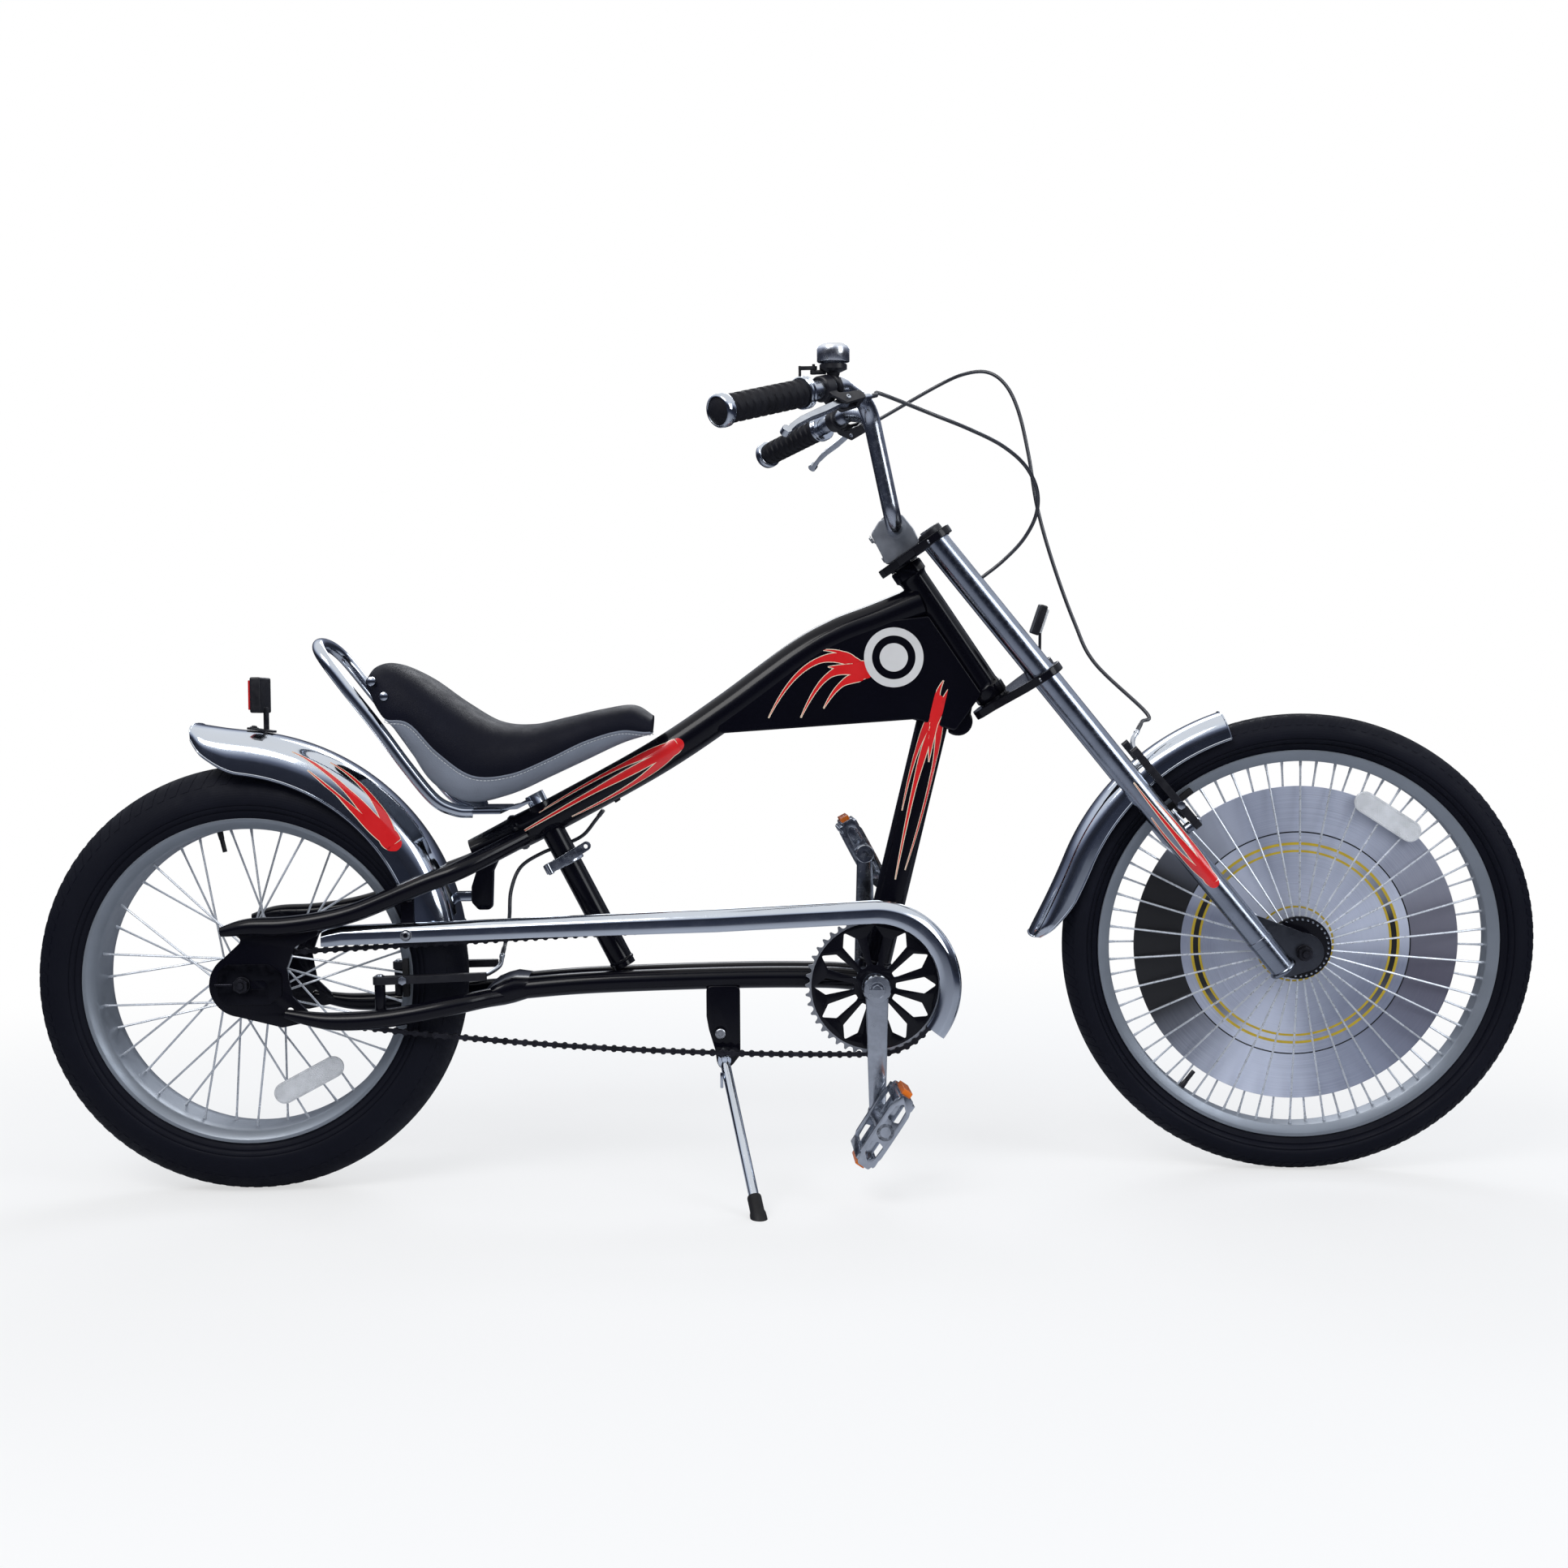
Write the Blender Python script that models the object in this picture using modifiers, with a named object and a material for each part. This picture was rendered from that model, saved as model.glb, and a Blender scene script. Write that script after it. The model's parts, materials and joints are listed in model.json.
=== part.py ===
"""Chopper bicycle, modelled in metres with +Z up.

Every piece is made where it sits on an upright bicycle with the bars straight: X runs forward
from the rear axle, Y to the rider's left and Z up from the ground. At the end the steering turns
a little and the whole bicycle leans on its kickstand.
"""

from math import acos, asin, atan2, cos, degrees, pi, radians, sin, tan

import bmesh
import bpy
from mathutils import Matrix, Vector

# Stance
LEAN = radians(1.7)
REST_STEER = radians(8)

# Clearances
SEAM = 0.0003
RUNNING_GAP = 0.0004
FLAT_ANGLE = radians(0.2)

# Wheels
WHEELBASE = 1.368
REAR_TYRE_RADIUS = 0.277
REAR_TYRE_WIDTH = 0.092
REAR_RIM_RADIUS = 0.2095
REAR_RIM_WIDTH = 0.082
REAR_RIM_DEPTH = 0.0145
FRONT_TYRE_RADIUS = 0.307
FRONT_TYRE_WIDTH = 0.054
FRONT_RIM_RADIUS = 0.260
FRONT_RIM_WIDTH = 0.032
FRONT_RIM_DEPTH = 0.015
RIM_WALL = 0.003
RIM_LIP = 0.007
WHEEL_STEPS = 36
HUB_STEPS = 16
SPOKE_RADIUS = 0.0012
REAR_SPOKES = 36
FRONT_SPOKES = 68
REAR_FLANGE_RADIUS = 0.034
REAR_FLANGE_SIDE = 0.030
FRONT_FLANGE_RADIUS = 0.042
FRONT_FLANGE_SIDE = 0.024
FLANGE_THICKNESS = 0.005
SPOKE_STAGGER = 0.00125
REAR_HUB_RADIUS = 0.020
FRONT_HUB_RADIUS = 0.016
REAR_HUB_END = 0.061
FRONT_HUB_END = 0.030
DISC_RADIUS = 0.211
DISC_BORE = 0.020
DISC_THICKNESS = 0.0016
AXLE_RADIUS = 0.005
AXLE_NUT_RADIUS = 0.0105
AXLE_NUT_LENGTH = 0.009
AXLE_COLLAR_RADIUS = 0.009
VALVE_RADIUS = 0.004
VALVE_LENGTH = 0.028
SPOKE_REFLECTOR_LENGTH = 0.098
SPOKE_REFLECTOR_WIDTH = 0.028
SPOKE_REFLECTOR_THICKNESS = 0.004

# Frame
BACKBONE_RADIUS = 0.0225
BACKBONE_TAIL_RADIUS = 0.017
TANK_THICKNESS = 0.040
DOWN_TUBE_RADIUS = 0.021
BRACKET_SHELL_RADIUS = 0.023
BRACKET_SHELL_HALF = 0.046
BRACKET_BORE = 0.0095
BRACKET_X = 0.8042
BRACKET_Z = 0.263
SEAT_TUBE_RADIUS = 0.0155
SEAT_TUBE_LENGTH = 0.248
SEAT_POST_RADIUS = 0.0127
LOWER_TUBE_RADIUS = 0.0142
LOWER_TUBE_SPREAD = 0.022
STAY_RADIUS = 0.012
STAY_SPREAD = 0.073
DROPOUT_FACE = 0.064
DROPOUT_THICKNESS = 0.005
HEAD_TUBE_RADIUS = 0.0185
HEAD_TUBE_HALF = 0.092
HEAD_CUP_RADIUS = 0.022
HEAD_CUP_LENGTH = 0.012
STEERER_RADIUS = 0.0127
HEAD_X = 0.9096
HEAD_Z = 0.7219
RAKE = radians(34)

# Fork and handlebar
LEG_RADIUS = 0.016
LEG_SPREAD = 0.060
LEG_TOP_OFFSET = 0.049
CROWN_THICKNESS = 0.011
CROWN_GAP = 0.0025
LEG_STICKOUT = 0.012
FORK_PLATE_FACE = 0.050
FORK_PLATE_THICKNESS = 0.006
STEM_HEIGHT = 0.048
STEM_WIDTH = 0.046
BAR_RADIUS = 0.011
BAR_FORWARD = 0.0167
BAR_UP = 0.1529
GRIP_LENGTH = 0.136
GRIP_RADIUS = 0.0165
GRIP_CAP_LENGTH = 0.013
GRIP_CAP_RADIUS = 0.0195
LEVER_OFFSET = 0.026
LEVER_PIVOT = -0.045
LEVER_WIDTH = 0.009
LEVER_PIN_RADIUS = 0.0025
LEVER_DROOP = radians(42)

# Drive
PITCH = 0.0127
CHAIN_PLANE = -0.056
CHAINRING_TEETH = 44
SPROCKET_TEETH = 18
TOOTH_THICKNESS = 0.0022
CHAIN_PIN_HEIGHT = 0.0043
CHAIN_WAIST_HEIGHT = 0.0034
CHAIN_SAG = 0.016
CHAIN_PIN_HALF = 0.0031
OUTER_LINK_HALF = 0.0037
INNER_LINK_HALF = 0.0024
TOOTH_TIP = 0.0016
TOOTH_ROOT = 0.0052
PETALS = 12
CRANK_LENGTH = 0.160
CRANK_THICKNESS = 0.012
CRANK_FACE = 0.076
CRANK_EYE_RADIUS = 0.018
CRANK_BOSS_RADIUS = 0.0165
CRANK_TIP_RADIUS = 0.0125
SPINDLE_RADIUS = 0.008
PEDAL_SPINDLE_RADIUS = 0.006
PEDAL_LENGTH = 0.086
PEDAL_CHORD = 0.100
PEDAL_HEIGHT = 0.028
PEDAL_TILT = radians(56)
LEFT_PEDAL_TILT = radians(-62)

# Fenders and guard
SHEET = 0.0016
REAR_FENDER_RADIUS = 0.303
REAR_FENDER_HALF = 0.056
FRONT_FENDER_RADIUS = 0.325
FRONT_FENDER_HALF = 0.034
GUARD_RADIUS = 0.111
GUARD_DEPTH = 0.028
GUARD_BEVEL = 0.010
GUARD_FACE = 0.0715
GUARD_LIP = 0.0635
FENDER_TAB_X = 0.281
GUARD_BOLT_X = 0.207
GUARD_BOLT_Z = 0.338

# Brakes and cables
CABLE_RADIUS = 0.0025
BRAKE_ARM_WIDTH = 0.012
BRAKE_ARM_THICKNESS = 0.010
BRAKE_STUD_RADIUS = 0.004
BRAKE_PAD_GAP = 0.0022
BRAKE_PAD_LENGTH = 0.050
BRAKE_PAD_HEIGHT = 0.008

# Stand
STAND_RADIUS = 0.0065
STAND_FOOT_X = 0.648
STAND_FOOT_Y = -0.200
STAND_PIVOT = Vector((0.609, -0.0465, 0.167))
STAND_HUB_LENGTH = 0.013
STAND_HUB_RADIUS = 0.009
STAND_TILT = radians(20)

X = Vector((1, 0, 0))
Y = Vector((0, 1, 0))
Z = Vector((0, 0, 1))
RIGHT = -1
LEFT = 1

REAR_AXLE = Vector((0, 0, REAR_TYRE_RADIUS))
FRONT_AXLE = Vector((WHEELBASE, 0, FRONT_TYRE_RADIUS))
BRACKET = Vector((BRACKET_X, 0, BRACKET_Z))
HEAD = Vector((HEAD_X, 0, HEAD_Z))
STEER_UP = Vector((-sin(RAKE), 0, cos(RAKE)))
STEER_FORWARD = Vector((cos(RAKE), 0, sin(RAKE)))

PAINTS = {
    "black_paint": ((0.010, 0.010, 0.013), 0.12, 0.0),
    "chrome": ((0.80, 0.81, 0.84), 0.08, 1.0),
    "silver": ((0.60, 0.61, 0.64), 0.30, 1.0),
    "rim_grey": ((0.36, 0.39, 0.44), 0.40, 0.6),
    "rubber": ((0.016, 0.016, 0.020), 0.65, 0.0),
    "black_plastic": ((0.020, 0.020, 0.024), 0.45, 0.0),
    "dark_steel": ((0.045, 0.045, 0.050), 0.40, 0.8),
    "grey_vinyl": ((0.21, 0.23, 0.27), 0.50, 0.0),
    "black_vinyl": ((0.014, 0.014, 0.022), 0.55, 0.0),
    "clear_lens": ((0.70, 0.72, 0.75), 0.20, 0.0),
}


# Helpers

def clear_scene():
    for obj in list(bpy.data.objects):
        bpy.data.objects.remove(obj, do_unlink=True)


def collection(name):
    found = bpy.data.collections.new(name)
    bpy.context.scene.collection.children.link(found)
    return found


def frame_of(origin, x_axis, y_axis):
    """The matrix whose X and Y run along the two directions given."""
    x = Vector(x_axis).normalized()
    z = x.cross(Vector(y_axis)).normalized()
    y = z.cross(x)
    rows = Matrix((x, y, z)).transposed()
    return Matrix.Translation(origin) @ rows.to_4x4()


def side_frame(y):
    """Local X forward, local Y up, at one distance to the side."""
    return frame_of((0, y, 0), X, Z)


def axle_frame(centre):
    """Local Z along the axle, towards the rider's left."""
    return frame_of(centre, X, -Z)


def along_frame(origin, direction, beside=Y):
    """Local Z along a direction."""
    z = Vector(direction).normalized()
    x = Vector(beside).cross(z).normalized()
    return frame_of(origin, x, z.cross(x))


def tidy(mesh):
    work = bmesh.new()
    work.from_mesh(mesh)
    bmesh.ops.remove_doubles(work, verts=work.verts, dist=0.000005)
    bmesh.ops.dissolve_degenerate(work, edges=work.edges, dist=0.000005)
    bmesh.ops.recalc_face_normals(work, faces=work.faces)
    work.to_mesh(mesh)
    work.free()
    mesh.update()


def flatten(mesh):
    """Joins the faces of one plane that a cut or weld has split."""
    work = bmesh.new()
    work.from_mesh(mesh)
    bmesh.ops.dissolve_limit(work, angle_limit=FLAT_ANGLE, verts=work.verts, edges=work.edges)
    bmesh.ops.triangulate(work, faces=[face for face in work.faces if len(face.verts) > 4])
    work.to_mesh(mesh)
    work.free()
    mesh.update()


def as_piece(name, source, frame=None):
    """The evaluated shape of an object as a plain closed mesh, with its place in its points."""
    bpy.context.view_layer.update()
    graph = bpy.context.evaluated_depsgraph_get()
    mesh = bpy.data.meshes.new_from_object(source.evaluated_get(graph), depsgraph=graph)
    if frame is not None:
        mesh.transform(frame)
    bpy.data.objects.remove(source, do_unlink=True)
    tidy(mesh)
    mesh.name = name
    piece = bpy.data.objects.new(name, mesh)
    PARTS.objects.link(piece)
    return piece


def tube(name, points, radius, resolution=3, radii=None, closed=False):
    curve = bpy.data.curves.new(name, "CURVE")
    curve.dimensions = "3D"
    curve.bevel_depth = radius
    curve.bevel_resolution = resolution
    curve.use_fill_caps = not closed
    spline = curve.splines.new("POLY")
    spline.points.add(len(points) - 1)
    sizes = radii or [1.0] * len(points)
    for spot, place, size in zip(spline.points, points, sizes):
        spot.co = (*place, 1)
        spot.radius = size
    spline.use_cyclic_u = closed
    source = bpy.data.objects.new(name, curve)
    PARTS.objects.link(source)
    return as_piece(name, source)


def plate(name, outlines, thickness, frame):
    """A flat outline, with any further outlines cut out of it, given half its thickness each way."""
    curve = bpy.data.curves.new(name, "CURVE")
    curve.dimensions = "2D"
    curve.fill_mode = "BOTH"
    curve.extrude = thickness / 2
    for outline in outlines:
        spline = curve.splines.new("POLY")
        spline.points.add(len(outline) - 1)
        for spot, place in zip(spline.points, outline):
            spot.co = (place[0], place[1], 0, 1)
        spline.use_cyclic_u = True
    source = bpy.data.objects.new(name, curve)
    PARTS.objects.link(source)
    return as_piece(name, source, frame)


def turned(name, profile, frame, steps=24, ring=False):
    """A profile of radius and height turned about the frame's Z."""
    mesh = bpy.data.meshes.new(name)
    count = len(profile)
    edges = [(i, (i + 1) % count) for i in range(count if ring else count - 1)]
    mesh.from_pydata([(radius, 0, height) for radius, height in profile], edges, [])
    source = bpy.data.objects.new(name, mesh)
    PARTS.objects.link(source)
    screw = source.modifiers.new("Turn", "SCREW")
    screw.steps = steps
    screw.render_steps = steps
    screw.use_merge_vertices = True
    screw.merge_threshold = 0.000001
    return as_piece(name, source, frame)


def block(name, size, frame):
    work = bmesh.new()
    bmesh.ops.create_cube(work, size=1, matrix=frame @ Matrix.Diagonal((*size, 1)))
    return from_bmesh(name, work)


def bar(name, start, end, radius, sides=12, tip=None):
    """A straight round bar between two points, which may taper to a tip radius."""
    start, end = Vector(start), Vector(end)
    beside = Y if abs((end - start).normalized().dot(Y)) < 0.9 else X
    frame = along_frame((start + end) / 2, end - start, beside)
    work = bmesh.new()
    bmesh.ops.create_cone(
        work,
        cap_ends=True,
        segments=sides,
        radius1=radius,
        radius2=radius if tip is None else tip,
        depth=(end - start).length,
        matrix=frame,
    )
    return from_bmesh(name, work)


def from_bmesh(name, work):
    mesh = bpy.data.meshes.new(name)
    work.to_mesh(mesh)
    work.free()
    tidy(mesh)
    piece = bpy.data.objects.new(name, mesh)
    PARTS.objects.link(piece)
    return piece


def loft(name, rings, closed=False):
    """A skin over rings of points, with flat ends unless the rings close on themselves."""
    work = bmesh.new()
    rows = [[work.verts.new(point) for point in ring] for ring in rings]
    pairs = list(zip(rows, rows[1:]))
    if closed:
        pairs.append((rows[-1], rows[0]))
    for here, there in pairs:
        for i in range(len(here)):
            j = (i + 1) % len(here)
            work.faces.new((here[i], here[j], there[j], there[i]))
    if not closed:
        work.faces.new(rows[0])
        work.faces.new(rows[-1])
    return from_bmesh(name, work)


def sheet(name, rows, thickness, outward=1):
    """Thin metal laid over rows of points."""
    work = bmesh.new()
    grid = [[work.verts.new(point) for point in row] for row in rows]
    for here, there in zip(grid, grid[1:]):
        for i in range(len(here) - 1):
            work.faces.new((here[i], here[i + 1], there[i + 1], there[i]))
    mesh = bpy.data.meshes.new(name)
    work.to_mesh(mesh)
    work.free()
    source = bpy.data.objects.new(name, mesh)
    PARTS.objects.link(source)
    wall = source.modifiers.new("Wall", "SOLIDIFY")
    wall.thickness = thickness
    wall.offset = outward
    wall.use_even_offset = True
    return as_piece(name, source)


def combine(piece, others, operation="UNION", solver="EXACT"):
    """Welds others to a piece, or cuts them out of it."""
    for other in others:
        other.hide_render = True
        other.display_type = "WIRE"
        PARTS.objects.unlink(other)
        CUTTERS.objects.link(other)
        step = piece.modifiers.new(operation.title(), "BOOLEAN")
        step.operation = operation
        step.solver = solver
        step.object = other
    name = piece.name
    result = as_piece(name + "_made", piece)
    for other in others:
        bpy.data.objects.remove(other, do_unlink=True)
    flatten(result.data)
    result.name = name
    result.data.name = name
    return result


def weld(piece, *others):
    return combine(piece, others)


def cut(piece, *others):
    return combine(piece, others, "DIFFERENCE")


def running(radius, sides):
    """The radius of a bore of some sides that clears a round pin however it turns."""
    return (radius + RUNNING_GAP) / cos(pi / sides)


def snug(radius, sides):
    """The radius of a bore of some sides that fits round a bar with only a seam between them."""
    return (radius + SEAM) / cos(pi / sides)


def circle(centre, radius, steps, turn=0.0):
    return [
        (centre[0] + radius * cos(turn + 2 * pi * i / steps), centre[1] + radius * sin(turn + 2 * pi * i / steps))
        for i in range(steps)
    ]


def arc(centre, radius, start, end, steps):
    """Points along an arc between two angles in degrees, both ends included."""
    angles = [radians(start + (end - start) * i / steps) for i in range(steps + 1)]
    return [(centre[0] + radius * cos(a), centre[1] + radius * sin(a)) for a in angles]


def capsule(a, a_radius, b, b_radius, steps=6):
    """The outline of a strap round two circles."""
    span = Vector(b) - Vector(a)
    heading = degrees(atan2(span.y, span.x))
    lean = degrees(asin((a_radius - b_radius) / span.length))
    return arc(a, a_radius, heading + 90 - lean, heading + 270 + lean, steps) + arc(
        b, b_radius, heading - 90 + lean, heading + 90 - lean, steps
    )


def smooth(points, per_span):
    """Points of a smooth curve through all the points given."""
    places = [Vector(p) for p in points]
    ends = [2 * places[0] - places[1]] + places + [2 * places[-1] - places[-2]]
    result = []
    for a, b, c, d in zip(ends, ends[1:], ends[2:], ends[3:]):
        for i in range(per_span):
            t = i / per_span
            result.append(
                0.5 * (2 * b + (c - a) * t + (2 * a - 5 * b + 4 * c - d) * t**2 + (3 * b - a - 3 * c + d) * t**3)
            )
    return result + [places[-1]]


def rounded(points, radii, steps=4):
    """A path of straight runs with an arc of each radius at its inner corners."""
    places = [Vector(p) for p in points]
    path = [places[0]]
    for before, corner, after, radius in zip(places, places[1:], places[2:], radii):
        back = (before - corner).normalized()
        ahead = (after - corner).normalized()
        half = acos(max(-1, min(1, back.dot(ahead)))) / 2
        reach = radius / tan(half)
        middle = corner + (back + ahead).normalized() * radius / sin(half)
        first = corner + back * reach - middle
        last = corner + ahead * reach - middle
        swing = first.angle(last)
        for i in range(steps + 1):
            t = i / steps
            spot = (first * sin((1 - t) * swing) + last * sin(t * swing)) / sin(swing)
            path.append(middle + spot)
    return path + [places[-1]]


def finish(piece, paint):
    colour, roughness, metal = PAINTS[paint]
    material = bpy.data.materials.new(piece.name + "_" + paint)
    material.use_nodes = True
    shader = material.node_tree.nodes["Principled BSDF"]
    shader.inputs["Base Color"].default_value = (*colour, 1)
    shader.inputs["Roughness"].default_value = roughness
    shader.inputs["Metallic"].default_value = metal
    piece.data.materials.clear()
    piece.data.materials.append(material)
    piece.data.shade_smooth()
    piece.data.set_sharp_from_angle(angle=radians(35))
    return piece


# Wheels

def tyre(name, centre, radius, width, rim_radius, rim_width):
    """A tyre filled by its inner tube, whose beads sit inside the rim's lips."""
    half = width / 2
    middle = radius - half * 0.98
    bead = rim_width / 2 - RIM_WALL - SEAM
    seat = rim_radius - RIM_LIP + SEAM
    tread = [
        (middle + (radius - middle) * cos(a), half * sin(a))
        for a in [radians(v) for v in (90, 52, 18, -18, -52, -90)]
    ]
    lip = rim_radius + 0.0015
    profile = [(seat, bead), (lip, bead)] + tread + [(lip, -bead), (seat, -bead)]
    piece = turned(name, profile, axle_frame(centre), WHEEL_STEPS, ring=True)
    return finish(piece, "rubber")


def rim(name, centre, radius, width, depth, valve_angle):
    """A channel rim with raised lips and its valve."""
    half = width / 2
    well = radius - RIM_LIP
    profile = [
        (radius, half),
        (radius, half - RIM_WALL),
        (well, half - RIM_WALL),
        (well, RIM_WALL - half),
        (radius, RIM_WALL - half),
        (radius, -half),
        (radius - depth, -half * 0.75),
        (radius - depth, half * 0.75),
    ]
    piece = turned(name, profile, axle_frame(centre), WHEEL_STEPS, ring=True)
    heading = Vector((cos(valve_angle), 0, sin(valve_angle)))
    root = centre + heading * (well - 0.004)
    valve = bar("valve", root, centre + heading * (radius - depth - VALVE_LENGTH), VALVE_RADIUS, 6)
    return finish(weld(piece, valve), "rim_grey")


def facet_radius(radius, angle):
    """How far out the flats of a turned wheel lie at one angle."""
    half = pi / WHEEL_STEPS
    return radius * cos(half) / cos(angle % (2 * half) - half)


def spokes(name, centre, flange_radius, flange_side, rim_inner, rim_side, count, lead, stagger):
    """All the spokes of a wheel as one mesh of separate thin rods, laced flange by flange."""
    work = bmesh.new()
    for i in range(count):
        side = LEFT if i % 2 else RIGHT
        turn = 2 * pi * i / count
        swing = lead if (i // 2) % 2 else -lead
        woven = stagger if (i // 2) % 2 else -stagger
        head = flange_radius - 0.004
        reach = facet_radius(rim_inner, turn) - 2 * SEAM
        inner = centre + Vector((head * cos(turn + swing), side * (flange_side + woven), head * sin(turn + swing)))
        outer = centre + Vector((reach * cos(turn), side * (rim_side + woven), reach * sin(turn)))
        bmesh.ops.create_cone(
            work,
            cap_ends=True,
            segments=3,
            radius1=SPOKE_RADIUS,
            radius2=SPOKE_RADIUS,
            depth=(outer - inner).length,
            matrix=along_frame((inner + outer) / 2, outer - inner, Y),
        )
    return from_bmesh(name, work)


def hub(name, centre, body_radius, flange_radius, flange_side, ends, laced):
    """A turned hub shell with two flanges, joined to its spokes."""
    bore = AXLE_RADIUS + RUNNING_GAP
    half = FLANGE_THICKNESS / 2
    nose = bore + 0.006
    profile = [
        (nose, ends[1]),
        (nose, flange_side + half),
        (flange_radius, flange_side + half),
        (flange_radius, flange_side - half),
        (body_radius, flange_side - half),
        (body_radius, half - flange_side),
        (flange_radius, half - flange_side),
        (flange_radius, -flange_side - half),
        (nose, -flange_side - half),
        (nose, ends[0]),
        (bore, ends[0]),
        (bore, ends[1]),
    ]
    shell = turned(name, profile, axle_frame(centre), HUB_STEPS, ring=True)
    return weld(shell, laced)


def axle(name, centre, inner, outer):
    """An axle with collars up to the frame's inner faces, and a nut outside each."""
    profile = [(0, outer + AXLE_NUT_LENGTH + 0.002)]
    half = [
        (AXLE_NUT_RADIUS, outer + AXLE_NUT_LENGTH),
        (AXLE_NUT_RADIUS, outer + SEAM),
        (AXLE_RADIUS, outer + SEAM),
        (AXLE_RADIUS, inner[1] - SEAM),
        (AXLE_COLLAR_RADIUS, inner[1] - SEAM),
        (AXLE_COLLAR_RADIUS, inner[0] + SEAM),
        (AXLE_RADIUS, inner[0] + SEAM),
    ]
    profile += half + [(radius, -height) for radius, height in reversed(half)]
    profile.append((0, -outer - AXLE_NUT_LENGTH - 0.002))
    return finish(turned(name, profile, axle_frame(centre), 10), "dark_steel")


def spoke_reflector(name, centre, angle, radius, side):
    """A clear reflector clipped across the spokes."""
    heading = Vector((cos(angle), 0, sin(angle)))
    tangent = Vector((-sin(angle), 0, cos(angle)))
    half = SPOKE_REFLECTOR_LENGTH / 2 - SPOKE_REFLECTOR_WIDTH / 2
    outline = capsule((-half, 0), SPOKE_REFLECTOR_WIDTH / 2, (half, 0), SPOKE_REFLECTOR_WIDTH / 2, 4)
    frame = frame_of(centre + heading * radius + Y * side, tangent, heading)
    return finish(plate(name, [outline], SPOKE_REFLECTOR_THICKNESS, frame), "clear_lens")


def make_rear_wheel():
    pieces = [
        tyre("rear_tyre", REAR_AXLE, REAR_TYRE_RADIUS, REAR_TYRE_WIDTH, REAR_RIM_RADIUS, REAR_RIM_WIDTH),
        rim("rear_rim", REAR_AXLE, REAR_RIM_RADIUS, REAR_RIM_WIDTH, REAR_RIM_DEPTH, radians(103)),
    ]
    inner = REAR_RIM_RADIUS - REAR_RIM_DEPTH
    laced = spokes(
        "spokes",
        REAR_AXLE,
        REAR_FLANGE_RADIUS,
        REAR_FLANGE_SIDE,
        inner,
        0.012,
        REAR_SPOKES,
        radians(58),
        SPOKE_STAGGER,
    )
    shell = hub(
        "rear_hub",
        REAR_AXLE,
        REAR_HUB_RADIUS,
        REAR_FLANGE_RADIUS,
        REAR_FLANGE_SIDE,
        (-REAR_HUB_END, REAR_HUB_END),
        laced,
    )
    pieces.append(finish(shell, "silver"))
    pieces.append(spoke_reflector("rear_wheel_reflector", REAR_AXLE, radians(-62), 0.150, -0.0221))
    return pieces


def make_front_wheel():
    pieces = [
        tyre("front_tyre", FRONT_AXLE, FRONT_TYRE_RADIUS, FRONT_TYRE_WIDTH, FRONT_RIM_RADIUS, FRONT_RIM_WIDTH),
        rim("front_rim", FRONT_AXLE, FRONT_RIM_RADIUS, FRONT_RIM_WIDTH, FRONT_RIM_DEPTH, radians(-126)),
    ]
    inner = FRONT_RIM_RADIUS - FRONT_RIM_DEPTH
    laced = spokes(
        "spokes", FRONT_AXLE, FRONT_FLANGE_RADIUS, FRONT_FLANGE_SIDE, inner, 0.0035, FRONT_SPOKES, 0.0, 0.0
    )
    ends = (-FRONT_HUB_END, FRONT_HUB_END)
    shell = hub("front_hub", FRONT_AXLE, FRONT_HUB_RADIUS, FRONT_FLANGE_RADIUS, FRONT_FLANGE_SIDE, ends, laced)
    pieces.append(finish(shell, "silver"))
    half = DISC_THICKNESS / 2
    bore = FRONT_HUB_RADIUS + SEAM
    profile = [(DISC_RADIUS, half), (DISC_RADIUS, -half), (bore, -half), (bore, half)]
    pieces.append(finish(turned("front_disc", profile, axle_frame(FRONT_AXLE), WHEEL_STEPS, ring=True), "silver"))
    pieces.append(spoke_reflector("front_wheel_reflector", FRONT_AXLE, radians(57), 0.205, -0.0116))
    return pieces


# Frame

def backbone_path():
    """The curved main tube's centre line, from the head tube to the wheel."""
    ahead = HEAD - STEER_FORWARD * 0.010 + STEER_UP * 0.054
    points = [
        ahead,
        (0.812, 0, 0.737),
        (0.762, 0, 0.718),
        (0.712, 0, 0.690),
        (0.616, 0, 0.620),
        (0.527, 0, 0.561),
        (0.418, 0, 0.501),
        (0.345, 0, 0.464),
        (0.283, 0, 0.437),
    ]
    return smooth(points, 2)


def backbone_shape(name, grow=0.0):
    path = backbone_path()
    sizes = [1.0] * (len(path) - 3) + [0.95, 0.87, BACKBONE_TAIL_RADIUS / BACKBONE_RADIUS]
    return tube(name, path, BACKBONE_RADIUS + grow, 4, sizes)


def tank_shape(name, grow=0.0):
    """The flat tank between main tube, head tube and down tube."""
    outline = [
        (0.604 - grow, 0.590 - grow),
        (0.604 - grow, 0.612),
        (0.658, 0.650),
        (0.709, 0.686),
        (0.762, 0.716),
        (0.809, 0.734),
        (0.880, 0.742),
        (0.950, 0.640),
        (0.915 + grow, 0.592 - grow),
        (0.862, 0.607 - grow),
    ]
    return plate(name, [outline], TANK_THICKNESS + 2 * grow, side_frame(0))


def head_shape(name, radius, reach):
    return bar(name, HEAD - STEER_UP * reach, HEAD + STEER_UP * reach, radius, 16)


def gusset_outline():
    """The rounded lobe behind the lower end of the head tube."""
    return arc((0.921, 0.604), 0.019, -130, 30, 5) + [(0.944, 0.645), (0.905, 0.655)]


def seat_line(distance):
    """A point on the seat tube's centre line, measured up from the lower tubes."""
    foot = Vector((0.4815, 0, 0.2795))
    head = Vector((0.4055, 0, 0.4280))
    return foot + (head - foot).normalized() * distance


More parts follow.
